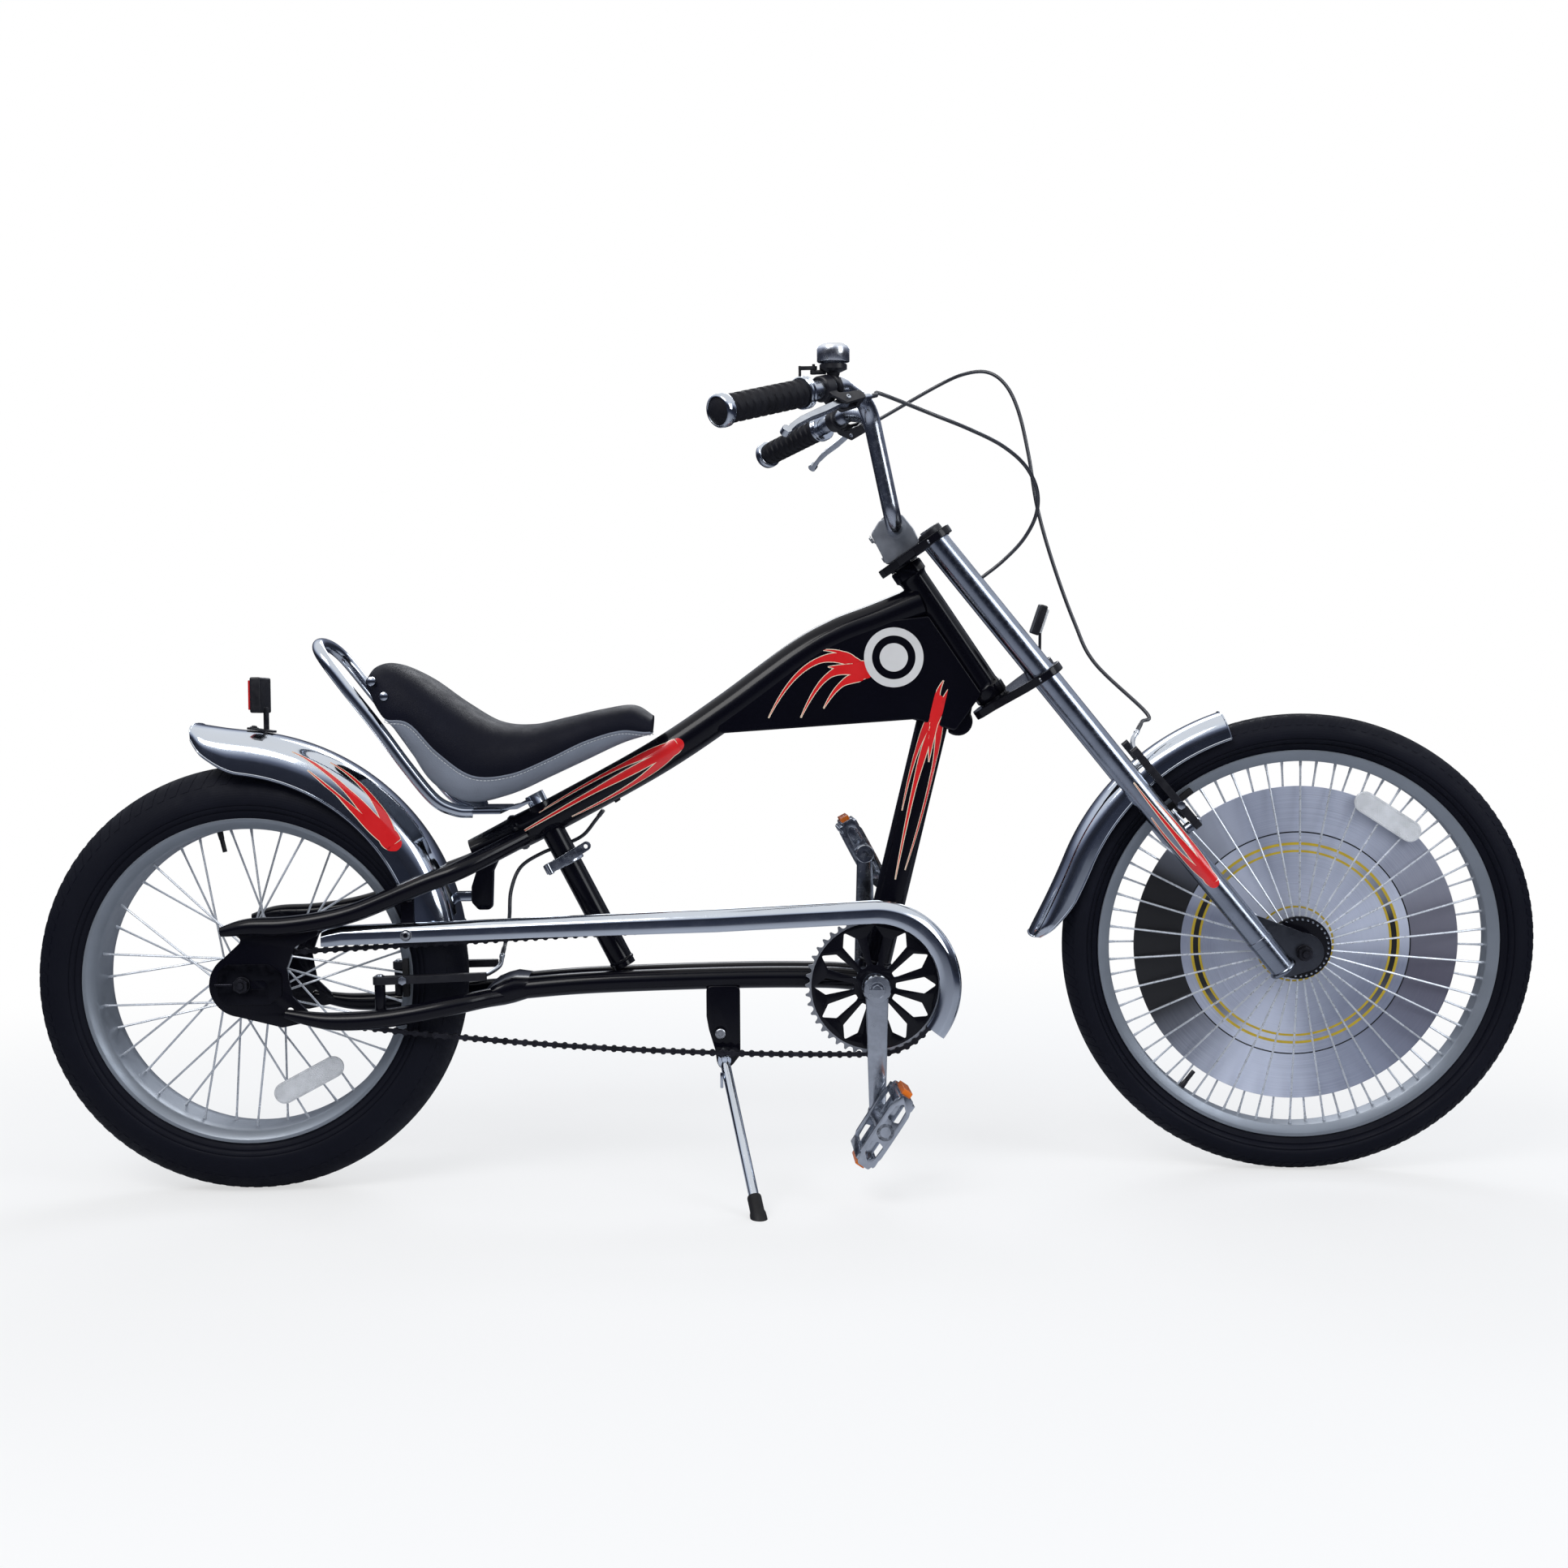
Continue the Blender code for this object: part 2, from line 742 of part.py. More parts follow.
def make_backbone():
    main = backbone_shape("backbone")
    tank = tank_shape("tank")
    head = head_shape("head", HEAD_TUBE_RADIUS, HEAD_TUBE_HALF)
    lobe = plate("lobe", [gusset_outline()], 0.014, side_frame(0))
    cups = [
        bar(
            "cup",
            HEAD + STEER_UP * way * (HEAD_TUBE_HALF - 0.004),
            HEAD + STEER_UP * way * (HEAD_TUBE_HALF + HEAD_CUP_LENGTH),
            HEAD_CUP_RADIUS,
            16,
        )
        for way in (-1, 1)
    ]
    tab = plate(
        "fender_tab",
        [
            [
                (FENDER_TAB_X, 0.392),
                (FENDER_TAB_X, 0.372),
                (0.290, 0.362),
                (0.307, 0.362),
                (0.309, 0.412),
                (0.322, 0.440),
                (0.296, 0.440),
            ]
        ],
        0.020,
        side_frame(0),
    )
    piece = weld(main, tank, head, lobe, *cups, tab)
    bore = bar(
        "bore",
        HEAD - STEER_UP * (HEAD_TUBE_HALF + 0.03),
        HEAD + STEER_UP * (HEAD_TUBE_HALF + 0.03),
        running(STEERER_RADIUS, 16),
        16,
    )
    socket = bar("socket", seat_line(0.10), seat_line(0.30), SEAT_TUBE_RADIUS + SEAM, 16)
    return finish(cut(piece, bore, socket), "black_paint")


def down_tube_shape(name, grow=0.0):
    return bar(name, Vector((0.8960, 0, 0.640)), BRACKET, DOWN_TUBE_RADIUS + grow, 16)


def bracket_shell(name, grow=0.0):
    side = BRACKET_SHELL_HALF
    return bar(name, BRACKET - Y * side, BRACKET + Y * side, BRACKET_SHELL_RADIUS + grow, 16)


def make_down_tube():
    piece = down_tube_shape("down_tube")
    shell = bracket_shell("shell")
    reach = GUARD_LIP - SHEET - SEAM
    strap = block(
        "strap",
        (0.018, reach, 0.003),
        frame_of(Vector((0.832, -reach / 2, BRACKET_Z + GUARD_RADIUS - 0.0085)), X, Y),
    )
    piece = weld(piece, shell, strap)
    trimmed = cut(
        piece,
        backbone_shape("main", SEAM),
        tank_shape("tank", SEAM),
        plate("lobe", [gusset_outline()], 0.0146, side_frame(0)),
    )
    bore = bar("bore", BRACKET - Y * 0.06, BRACKET + Y * 0.06, BRACKET_BORE, 12)
    return finish(cut(trimmed, bore), "black_paint")


def lower_tube_path(side):
    spread = side * LOWER_TUBE_SPREAD
    return [
        Vector((0.335, spread, 0.260)),
        Vector((0.440, spread, 0.267)),
        Vector((0.618, spread, 0.271)),
        Vector((0.735, spread, 0.270)),
        Vector((BRACKET_X, spread, BRACKET_Z + 0.002)),
    ]


def lower_tube_pair(grow=0.0):
    return [tube("lower_tubes", lower_tube_path(side), LOWER_TUBE_RADIUS + grow, 3) for side in (RIGHT, LEFT)]


def yoke_shape(name, grow=0.0):
    """The forging that joins the lower tubes to the wheel stays."""
    rings = []
    for x, half, low, high in (
        (0.302 - grow, 0.046, 0.238, 0.262),
        (0.312, 0.048, 0.238, 0.270),
        (0.338, 0.042, 0.242, 0.279),
        (0.356 + grow, 0.034, 0.247, 0.277),
    ):
        y = half + grow
        low, high = low - grow, high + grow
        flat = (high - low) * 0.3
        rings.append(
            [
                (x, -y, low + flat),
                (x, -y + 0.008, low),
                (x, y - 0.008, low),
                (x, y, low + flat),
                (x, y, high - flat),
                (x, y - 0.008, high),
                (x, -y + 0.008, high),
                (x, -y, high - flat),
            ]
        )
    return loft(name, rings)


def make_lower_tubes():
    near, far = lower_tube_pair()
    outline = [
        (0.586, 0.262),
        (0.586, 0.222),
        (0.589, 0.205),
        (0.597, 0.178),
        (0.600, 0.156),
        (0.618, 0.156),
        (0.630, 0.171),
        (0.630, 0.262),
    ]
    hanger = plate("hanger", [outline], 0.008, side_frame(-0.030))
    bolt = bar("bolt", (0.604, -0.030, 0.201), (0.604, -0.040, 0.201), 0.0065, 6)
    boss_start = STAND_PIVOT + stand_axis() * (STAND_HUB_LENGTH / 2 + SEAM)
    boss = bar("boss", boss_start, boss_start + stand_axis() * 0.010, STAND_HUB_RADIUS, 12)
    piece = weld(near, far, yoke_shape("yoke"), hanger, bolt, boss)
    return finish(cut(piece, bracket_shell("shell", SEAM)), "black_paint")


def make_seat_tube():
    piece = bar("seat_tube", seat_line(-0.012), seat_line(SEAT_TUBE_LENGTH), SEAT_TUBE_RADIUS, 16)
    collar = bar("collar", seat_line(SEAT_TUBE_LENGTH - 0.020), seat_line(SEAT_TUBE_LENGTH), 0.0195, 16)
    piece = cut(weld(piece, collar), *lower_tube_pair(SEAM))
    neck = cut(piece, backbone_neck())
    bore = bar("bore", seat_line(0.030), seat_line(0.280), snug(SEAT_POST_RADIUS, 14), 14)
    return finish(cut(neck, bore), "black_paint")


def backbone_neck():
    """The main tube as the seat tube's collar meets it: outside the seat tube's own hole."""
    shape = backbone_shape("neck", SEAM)
    hole = bar("hole", seat_line(0.05), seat_line(0.32), SEAT_TUBE_RADIUS + 0.0001, 16)
    return cut(shape, hole)


def upper_stay_path(side):
    s = side
    return [
        Vector((0.352, s * 0.022, 0.458)),
        Vector((0.310, s * 0.050, 0.437)),
        Vector((0.270, s * 0.070, 0.418)),
        Vector((0.225, s * STAY_SPREAD, 0.401)),
        Vector((0.184, s * STAY_SPREAD, 0.384)),
        Vector((0.143, s * STAY_SPREAD, 0.368)),
        Vector((0.102, s * STAY_SPREAD, 0.358)),
        Vector((0.055, s * STAY_SPREAD, 0.352)),
        Vector((0.010, s * STAY_SPREAD, 0.351)),
        Vector((-0.024, s * STAY_SPREAD, 0.345)),
    ]


def lower_stay_path(side):
    s = side
    return [
        Vector((0.330, s * 0.030, 0.254)),
        Vector((0.300, s * 0.044, 0.251)),
        Vector((0.266, s * 0.060, 0.246)),
        Vector((0.225, s * 0.068, 0.239)),
        Vector((0.184, s * 0.071, 0.233)),
        Vector((0.143, s * STAY_SPREAD, 0.230)),
        Vector((0.102, s * STAY_SPREAD, 0.231)),
        Vector((0.055, s * STAY_SPREAD, 0.240)),
    ]


def dropout_outline():
    axle_x, axle_z = REAR_AXLE.x, REAR_AXLE.z
    return [
        (-0.024, 0.350),
        (0.002, 0.334),
        *arc((axle_x, axle_z), 0.041, 122, 262, 8),
        (0.050, 0.222),
        (0.088, 0.230),
        (0.090, 0.262),
        (0.083, 0.300),
        (0.094, 0.336),
        (0.096, 0.352),
    ]


def guard_mount():
    """The tab that hangs from the right stay inside the guard, with its bolt."""
    place = Vector((GUARD_BOLT_X, -GUARD_LIP + 0.0027, 0.0))
    tab = block("tab", (0.016, 0.003, 0.050), frame_of(place + Z * 0.359, X, Y))
    shank = bar("shank", place + Z * GUARD_BOLT_Z, Vector((GUARD_BOLT_X, -GUARD_FACE - 0.004, GUARD_BOLT_Z)), 0.003, 8)
    start = Vector((GUARD_BOLT_X, -GUARD_FACE - SHEET / 2 - SEAM, GUARD_BOLT_Z))
    arm = block("arm", (0.014, 0.012, 0.012), frame_of(place + Vector((0, -0.003, 0.386)), X, Y))
    return [tab, arm, shank, bar("head", start, start - Y * 0.004, 0.0058, 8)]


def make_stay(name, side):
    upper = tube(name, upper_stay_path(side), STAY_RADIUS, 2, [0.9] + [1.0] * 7 + [0.9, 0.45])
    lower = tube("lower", lower_stay_path(side), STAY_RADIUS, 2, [1.0] * 6 + [0.95, 0.5])
    middle = side * (DROPOUT_FACE + DROPOUT_THICKNESS / 2)
    dropout = plate("dropout", [dropout_outline()], DROPOUT_THICKNESS, side_frame(middle))
    stud = brake_stud("stud", REAR_BRAKE, side)
    pieces = [lower, dropout, stud]
    if side == RIGHT:
        pieces += guard_mount()
    piece = weld(upper, *pieces)
    piece = cut(piece, backbone_shape("main", SEAM), yoke_shape("yoke", SEAM))
    hole = bar("hole", REAR_AXLE - Y * 0.1, REAR_AXLE + Y * 0.1, snug(AXLE_RADIUS, 12), 12)
    return finish(cut(piece, hole), "black_paint")


# Steering

def steer_point(up, forward=0.0, side=0.0):
    """A point given along the steering axis, ahead of it and to the side."""
    return HEAD + STEER_UP * up + STEER_FORWARD * forward + Y * side


UPPER_CROWN_UP = HEAD_TUBE_HALF + HEAD_CUP_LENGTH + CROWN_GAP + CROWN_THICKNESS / 2
LOWER_CROWN_UP = -UPPER_CROWN_UP
LEG_END = FRONT_AXLE + Vector((-0.0265, 0, -0.0218))


def leg_line(side):
    """Both ends of a fork leg's centre line."""
    top = steer_point(UPPER_CROWN_UP + LEG_STICKOUT, LEG_TOP_OFFSET, side * LEG_SPREAD)
    return top, LEG_END + Y * side * LEG_SPREAD


def leg_shape(name, side, grow=0.0):
    top, bottom = leg_line(side)
    return bar(name, top, bottom, LEG_RADIUS + grow, 16)


def crown_outline(reach):
    """Half the plan of a crown plate, from its tail round one leg, mirrored into the whole."""
    leg = LEG_SPREAD
    half = [(-0.033, 0.012), (-0.026, 0.022), (-0.006, 0.031), (reach - 0.030, leg + 0.012)]
    half += arc((reach, leg), 0.024, 110, -20, 4)
    half += [(reach + 0.012, leg - 0.030)]
    return half + [(x, -y) for x, y in reversed(half)]


def crown_plate(name, up, reach):
    frame = frame_of(steer_point(up), STEER_FORWARD, Y)
    return plate(name, [crown_outline(reach)], CROWN_THICKNESS, frame)


def leg_reach(up):
    """How far ahead of the steering axis the legs' centre lines run at one height."""
    top, bottom = leg_line(RIGHT)
    top, bottom = top - HEAD, bottom - HEAD
    share = (top.dot(STEER_UP) - up) / (top.dot(STEER_UP) - bottom.dot(STEER_UP))
    return top.dot(STEER_FORWARD) + (bottom.dot(STEER_FORWARD) - top.dot(STEER_FORWARD)) * share


def make_crowns():
    lower = crown_plate("lower_crown", LOWER_CROWN_UP, leg_reach(LOWER_CROWN_UP))
    steerer_top = UPPER_CROWN_UP + CROWN_THICKNESS / 2
    steerer = bar("steerer", steer_point(LOWER_CROWN_UP), steer_point(steerer_top), STEERER_RADIUS, 16)
    race = bar(
        "race",
        steer_point(LOWER_CROWN_UP),
        steer_point(-HEAD_TUBE_HALF - HEAD_CUP_LENGTH - SEAM),
        HEAD_CUP_RADIUS - 0.002,
        16,
    )
    lower = weld(lower, steerer, race)
    lower = cut(lower, leg_shape("leg", RIGHT, SEAM), leg_shape("leg", LEFT, SEAM))
    upper = crown_plate("upper_crown", UPPER_CROWN_UP, leg_reach(UPPER_CROWN_UP))
    nut = bar(
        "nut",
        steer_point(HEAD_TUBE_HALF + HEAD_CUP_LENGTH + SEAM),
        steer_point(UPPER_CROWN_UP),
        HEAD_CUP_RADIUS - 0.002,
        16,
    )
    upper = weld(upper, nut)
    bore = bar("bore", steer_point(UPPER_CROWN_UP - 0.03), steer_point(UPPER_CROWN_UP + 0.03), STEERER_RADIUS + SEAM, 16)
    upper = cut(upper, leg_shape("leg", RIGHT, SEAM), leg_shape("leg", LEFT, SEAM), bore)
    return finish(lower, "black_paint"), finish(upper, "black_paint")


def make_leg(name, side):
    leg = leg_shape(name, side)
    axle_x, axle_z = FRONT_AXLE.x, FRONT_AXLE.z
    outline = [
        (axle_x - 0.080, axle_z + 0.036),
        (axle_x - 0.066, axle_z + 0.050),
        (axle_x - 0.002, axle_z + 0.026),
        *arc((axle_x, axle_z), 0.025, 70, -70, 5),
        (axle_x - 0.024, axle_z - 0.034),
        (axle_x - 0.036, axle_z - 0.020),
    ]
    face = side * (FORK_PLATE_FACE + FORK_PLATE_THICKNESS / 2)
    foot = plate("foot", [outline], FORK_PLATE_THICKNESS, side_frame(face))
    stud = brake_stud("stud", FRONT_BRAKE, side)
    piece = weld(leg, foot, stud)
    hole = bar("hole", FRONT_AXLE - Y * 0.1, FRONT_AXLE + Y * 0.1, snug(AXLE_RADIUS, 12), 12)
    return finish(cut(piece, hole), "chrome")


BAR_CENTRE = steer_point(BAR_UP, BAR_FORWARD)


def bar_corners(side):
    """The handlebar's centre line on one side, before its bends are rounded."""
    s = side
    return [
        BAR_CENTRE,
        BAR_CENTRE + Vector((0.0, s * 0.060, 0.0)),
        BAR_CENTRE + Vector((-0.033, s * 0.068, 0.152)),
        BAR_CENTRE + Vector((-0.064, s * 0.167, 0.165)),
        BAR_CENTRE + Vector((-0.196, s * 0.324, 0.120)),
    ]


def grip_frame(side):
    """Local Z out along the grip from its inner end, local Y towards the brake lever."""
    corners = bar_corners(side)
    out = (corners[4] - corners[3]).normalized()
    start = corners[4] - out * (GRIP_LENGTH + GRIP_CAP_LENGTH)
    ahead = Vector((out.y * side, -out.x * side, 0)).normalized()
    down = -Z - out * (-Z).dot(out)
    pull = ahead * sin(LEVER_DROOP) + down.normalized() * cos(LEVER_DROOP)
    across = pull.cross(out)
    return frame_of(start, across, pull)


def on_grip(side, along, pull=0.0, across=0.0):
    return grip_frame(side) @ Vector((across, pull, along))


def make_handlebar():
    far = rounded(bar_corners(LEFT), (0.030, 0.035, 0.035), 3)
    near = [Vector((p.x, -p.y, p.z)) for p in reversed(far[1:])]
    return finish(tube("handlebar", near + far[1:], BAR_RADIUS, 3), "chrome")


def make_stem():
    base = UPPER_CROWN_UP + CROWN_THICKNESS / 2 + SEAM
    half = STEM_WIDTH / 2
    outline = [
        (-0.020, base),
        (0.033, base),
        (0.036, base + 0.020),
        (0.034, BAR_UP + 0.008),
        (0.024, BAR_UP + 0.017),
        (0.004, BAR_UP + 0.018),
        (-0.014, BAR_UP + 0.010),
        (-0.017, base + 0.016),
    ]
    frame = frame_of(HEAD, STEER_FORWARD, STEER_UP)
    piece = plate("stem", [outline], 2 * half, frame)
    cap_bolt = bar(
        "bolt",
        steer_point(BAR_UP + 0.004, -0.020),
        steer_point(BAR_UP + 0.004, -0.005),
        0.0045,
        8,
    )
    piece = weld(piece, cap_bolt)
    hole = bar("hole", BAR_CENTRE - Y * 0.05, BAR_CENTRE + Y * 0.05, snug(BAR_RADIUS, 16), 16)
    return finish(cut(piece, hole), "silver")


def make_grip(name, side):
    """A rubber grip with a raised flange at its inner end."""
    bore = snug(BAR_RADIUS, 12)
    end = GRIP_LENGTH - SEAM
    profile = [
        (bore, 0),
        (bore, end),
        (GRIP_RADIUS, end),
        (GRIP_RADIUS, 0.014),
        (GRIP_RADIUS + 0.003, 0.010),
        (GRIP_RADIUS + 0.003, 0),
    ]
    return finish(turned(name, profile, grip_frame(side), 12, ring=True), "rubber")


def make_grip_cap(name, side):
    """A chromed cap over the end of the bar."""
    end = GRIP_LENGTH + GRIP_CAP_LENGTH
    bore = snug(BAR_RADIUS, 12)
    profile = [
        (0, end + 0.006),
        (GRIP_CAP_RADIUS - 0.004, end + 0.005),
        (GRIP_CAP_RADIUS, end),
        (GRIP_CAP_RADIUS, GRIP_LENGTH),
        (bore, GRIP_LENGTH),
        (bore, end + SEAM),
        (0, end + SEAM),
    ]
    return finish(turned(name, profile, grip_frame(side), 12), "chrome")


def lever_plane(side):
    """Local X out along the grip, local Y towards the lever, through the lever's middle."""
    frame = grip_frame(side)
    out = frame.to_3x3() @ Z
    pull = frame.to_3x3() @ Y
    return frame_of(frame.translation, out, pull)


def make_lever_bracket(name, side):
    """The clamp on the bar with two ears for the lever, its pin and the cable's barrel."""
    plane = lever_plane(side)
    neck = [
        (-0.0235, 0.0),
        (-0.0235, 0.018),
        (-0.037, LEVER_OFFSET + 0.008),
        (-0.072, LEVER_OFFSET + 0.006),
        (-0.075, LEVER_OFFSET),
        (-0.072, LEVER_OFFSET - 0.007),
        (-0.050, LEVER_OFFSET - 0.0075),
        (-0.0365, 0.0165),
        (-0.0365, 0.0),
    ]
    piece = plate(name, [neck], LEVER_WIDTH + 0.008, plane)
    ring = bar("ring", on_grip(side, -0.022), on_grip(side, -0.038), BAR_RADIUS + 0.0045, 14)
    barrel = bar("barrel", on_grip(side, -0.073, LEVER_OFFSET), on_grip(side, -0.092, LEVER_OFFSET), 0.0052, 10)
    piece = weld(piece, ring, barrel)
    slot = block(
        "slot",
        (0.052, 0.040, LEVER_WIDTH + 2 * RUNNING_GAP),
        plane @ Matrix.Translation((-0.036, LEVER_OFFSET + 0.0125, 0)),
    )
    hole = bar("hole", on_grip(side, -0.01), on_grip(side, -0.05), snug(BAR_RADIUS, 14), 14)
    piece = cut(piece, slot, hole)
    reach = LEVER_WIDTH / 2 + 0.003
    pin = bar(
        "pin",
        on_grip(side, LEVER_PIVOT, LEVER_OFFSET, -reach),
        on_grip(side, LEVER_PIVOT, LEVER_OFFSET, reach),
        LEVER_PIN_RADIUS,
        8,
    )
    return finish(weld(piece, pin), "black_plastic")


def make_lever(name, side):
    """A curved blade with a ball end."""
    hub_radius = 0.0058
    pivot = (LEVER_PIVOT, LEVER_OFFSET)
    upper = [(-0.030, 0.0305), (0.0, 0.0360), (0.030, 0.0395), (0.060, 0.0455), (0.072, 0.0500)]
    lower = [(0.070, 0.0425), (0.045, 0.0350), (0.010, 0.0290), (-0.020, 0.0245)]
    outline = arc(pivot, hub_radius, 270, 90, 6) + upper + arc((0.078, 0.0475), 0.0058, 150, -150, 6) + lower
    blade = plate(name, [outline], LEVER_WIDTH, lever_plane(side))
    reach = LEVER_WIDTH
    hole = bar(
        "hole",
        on_grip(side, LEVER_PIVOT, LEVER_OFFSET, -reach),
        on_grip(side, LEVER_PIVOT, LEVER_OFFSET, reach),
        running(LEVER_PIN_RADIUS, 8),
        8,
    )
    return finish(cut(blade, hole), "silver")


BELL_ALONG = -0.0475
BELL_RADIUS = 0.0195
BELL_PIN_RADIUS = 0.0018


def bell_frame():
    """Local Z up through the bell's dome, over the right-hand side of the bar."""
    seat = on_grip(RIGHT, BELL_ALONG)
    return frame_of(seat, X, Y)


def make_bell():
    frame = bell_frame()
    ring = bar("ring", on_grip(RIGHT, BELL_ALONG - 0.0035), on_grip(RIGHT, BELL_ALONG + 0.0035), BAR_RADIUS + 0.003, 12)
    base = turned(
        "bell_base",
        [(0, 0.026), (0.0165, 0.026), (0.0165, 0.020), (0.008, 0.016), (0.007, 0.004), (0, 0.004)],
        frame,
        12,
    )
    base = weld(base, ring)
    hole = bar(
        "hole",
        on_grip(RIGHT, BELL_ALONG - 0.02),
        on_grip(RIGHT, BELL_ALONG + 0.02),
        snug(BAR_RADIUS, 12),
        12,
    )
    pivot = bell_pivot()
    pin = bar("pin", pivot + Z * -0.006, pivot + Z * 0.004, BELL_PIN_RADIUS, 8)
    lug = bar("lug", pivot + Z * -0.008, pivot + Z * -0.0030, 0.0042, 8)
    bridge = block("bridge", (0.014, 0.006, 0.005), frame_of(pivot + Vector((0.008, 0, -0.0055)), X, Y))
    base = weld(cut(base, hole), lug, bridge, pin)
    top = 0.052
    dome = turned(
        "bell_dome",
        [
            (0, top),
            (BELL_RADIUS * 0.62, top - 0.001),
            (BELL_RADIUS * 0.94, top - 0.005),
            (BELL_RADIUS, top - 0.010),
            (BELL_RADIUS, 0.0285),
            (BELL_RADIUS - 0.002, 0.0285),
            (BELL_RADIUS * 0.8, top - 0.006),
            (0.0035, top - 0.006),
            (0.0035, 0.026 + SEAM),
            (0, 0.026 + SEAM),
        ],
        frame,
        14,
    )
    return finish(base, "black_plastic"), finish(dome, "chrome")


def bell_pivot():
    return bell_frame() @ Vector((-0.0235, 0, 0.0225))


def make_bell_lever():
    """The thumb lever, which turns about its own pin behind the dome."""
    pivot = bell_pivot()
    frame = frame_of(pivot, -X, -Y)
    outline = arc((0, 0), 0.0042, 300, 60, 4) + [(0.008, 0.003), (0.018, 0.004), (0.018, -0.004), (0.008, -0.003)]
    blade = plate("bell_lever", [outline], 0.004, frame @ Matrix.Translation((0, 0, -0.0005)))
    stalk = block("stalk", (0.003, 0.007, 0.020), frame @ Matrix.Translation((0.0165, 0, -0.008)))
    hole = bar("hole", pivot - Z * 0.01, pivot + Z * 0.01, running(BELL_PIN_RADIUS, 8), 8)
    return finish(cut(weld(blade, stalk), hole), "black_plastic")


# Brakes

class BrakePlace:
    """Where a linear-pull brake sits: its wheel, the way it points and its sizes."""

    def __init__(self, axle_point, heading, pivot, pad, tip, rim_half, spread, tip_spread, clear):
        self.axle_point = axle_point
        self.out = Vector((cos(heading), 0, sin(heading)))
        self.across = Vector((-sin(heading), 0, cos(heading)))
        self.pivot = pivot
        self.pad = pad
        self.tip = tip
        self.rim_half = rim_half
        self.spread = spread
        self.tip_spread = tip_spread
        self.clear = clear

    def point(self, along, side, across=0.0):
        return self.axle_point + self.out * along + Y * side + self.across * across


REAR_BRAKE = BrakePlace(
    REAR_AXLE, radians(1), 0.172, REAR_RIM_RADIUS - 0.0075, 0.302, REAR_RIM_WIDTH / 2, 0.066, 0.058, -0.040
)
FRONT_BRAKE = BrakePlace(
    FRONT_AXLE, radians(130), 0.221, FRONT_RIM_RADIUS - 0.0085, 0.342, FRONT_RIM_WIDTH / 2, 0.050, 0.045, 0.030
)


def brake_stud(name, brake, side):
    """The pivot stud that stands on the stay or fork leg."""
    root = brake.point(brake.pivot, side * brake.spread, brake.clear)
    tip_across = BRAKE_ARM_THICKNESS / 2 + 0.002
    end = brake.point(brake.pivot, side * brake.spread, -tip_across if brake.clear > 0 else tip_across)
    return bar(name, root, end, BRAKE_STUD_RADIUS, 8)


def make_brake_arm(name, brake, side, noodle):
    """One arm of a linear-pull brake with its pad, and on one arm the curved cable guide."""
    plane = frame_of(brake.axle_point, brake.out, Y * side)
    foot = (brake.pivot, brake.spread)
    head = (brake.tip, brake.tip_spread)
    outline = capsule(foot, 0.0085, head, BRAKE_ARM_WIDTH / 3, 5)
    arm = plate(name, [outline], BRAKE_ARM_THICKNESS, plane)
    pad_face = brake.rim_half + BRAKE_PAD_GAP
    pad_depth = 0.010
    pad = block(
        "pad",
        (BRAKE_PAD_HEIGHT, BRAKE_PAD_LENGTH, pad_depth),
        frame_of(brake.point(brake.pad, side * (pad_face + pad_depth / 2)), brake.out, brake.across),
    )
    pad_bolt = bar(
        "pad_bolt",
        brake.point(brake.pad, side * (pad_face + pad_depth / 2)),
        brake.point(brake.pad, side * (brake.spread + 0.010)),
        0.004,
        8,
    )
    arm = weld(arm, pad, pad_bolt)
    reach = brake.across * 0.02
    pivot = brake.point(brake.pivot, side * brake.spread)
    hole = bar("hole", pivot - reach, pivot + reach, running(BRAKE_STUD_RADIUS, 8), 8)
    arm = cut(arm, hole)
    if noodle:
        route = [brake.point(brake.tip + a, side * b, c) for a, b, c in noodle]
        arm = weld(arm, tube("noodle", smooth(route, 2), 0.0032, 2))
    return finish(arm, "black_plastic")


# Each cable guide runs from the arm's tip over the tyre, as steps out, to the side and across.
REAR_NOODLE = ((-0.004, 0.058, 0.0), (0.006, 0.040, 0.002), (0.016, 0.020, 0.008), (0.018, 0.006, 0.020))
FRONT_NOODLE = ((-0.004, 0.045, 0.0), (0.004, 0.036, -0.002), (0.010, 0.026, -0.008), (0.014, 0.018, -0.020))


# Drive

def pitch_radius(teeth):
    return PITCH / (2 * sin(pi / teeth))


def tooth_outline(teeth, phase, grow=0.0):
    """A toothed rim whose hollows hold the chain's pins at the phase angle and its repeats."""
    radius = pitch_radius(teeth)
    step = 2 * pi / teeth
    wide = grow / (radius * step)
    profile = (
        (0.0, radius - TOOTH_ROOT + grow),
        (0.35 - wide, radius + TOOTH_TIP + grow),
        (0.65 + wide, radius + TOOTH_TIP + grow),
    )
    outline = []
    for i in range(teeth):
        for share, reach in profile:
            angle = phase + step * (i + share)
            outline.append((reach * cos(angle), reach * sin(angle)))
    return outline


RING_RADIUS = pitch_radius(CHAINRING_TEETH)
COG_RADIUS = pitch_radius(SPROCKET_TEETH)


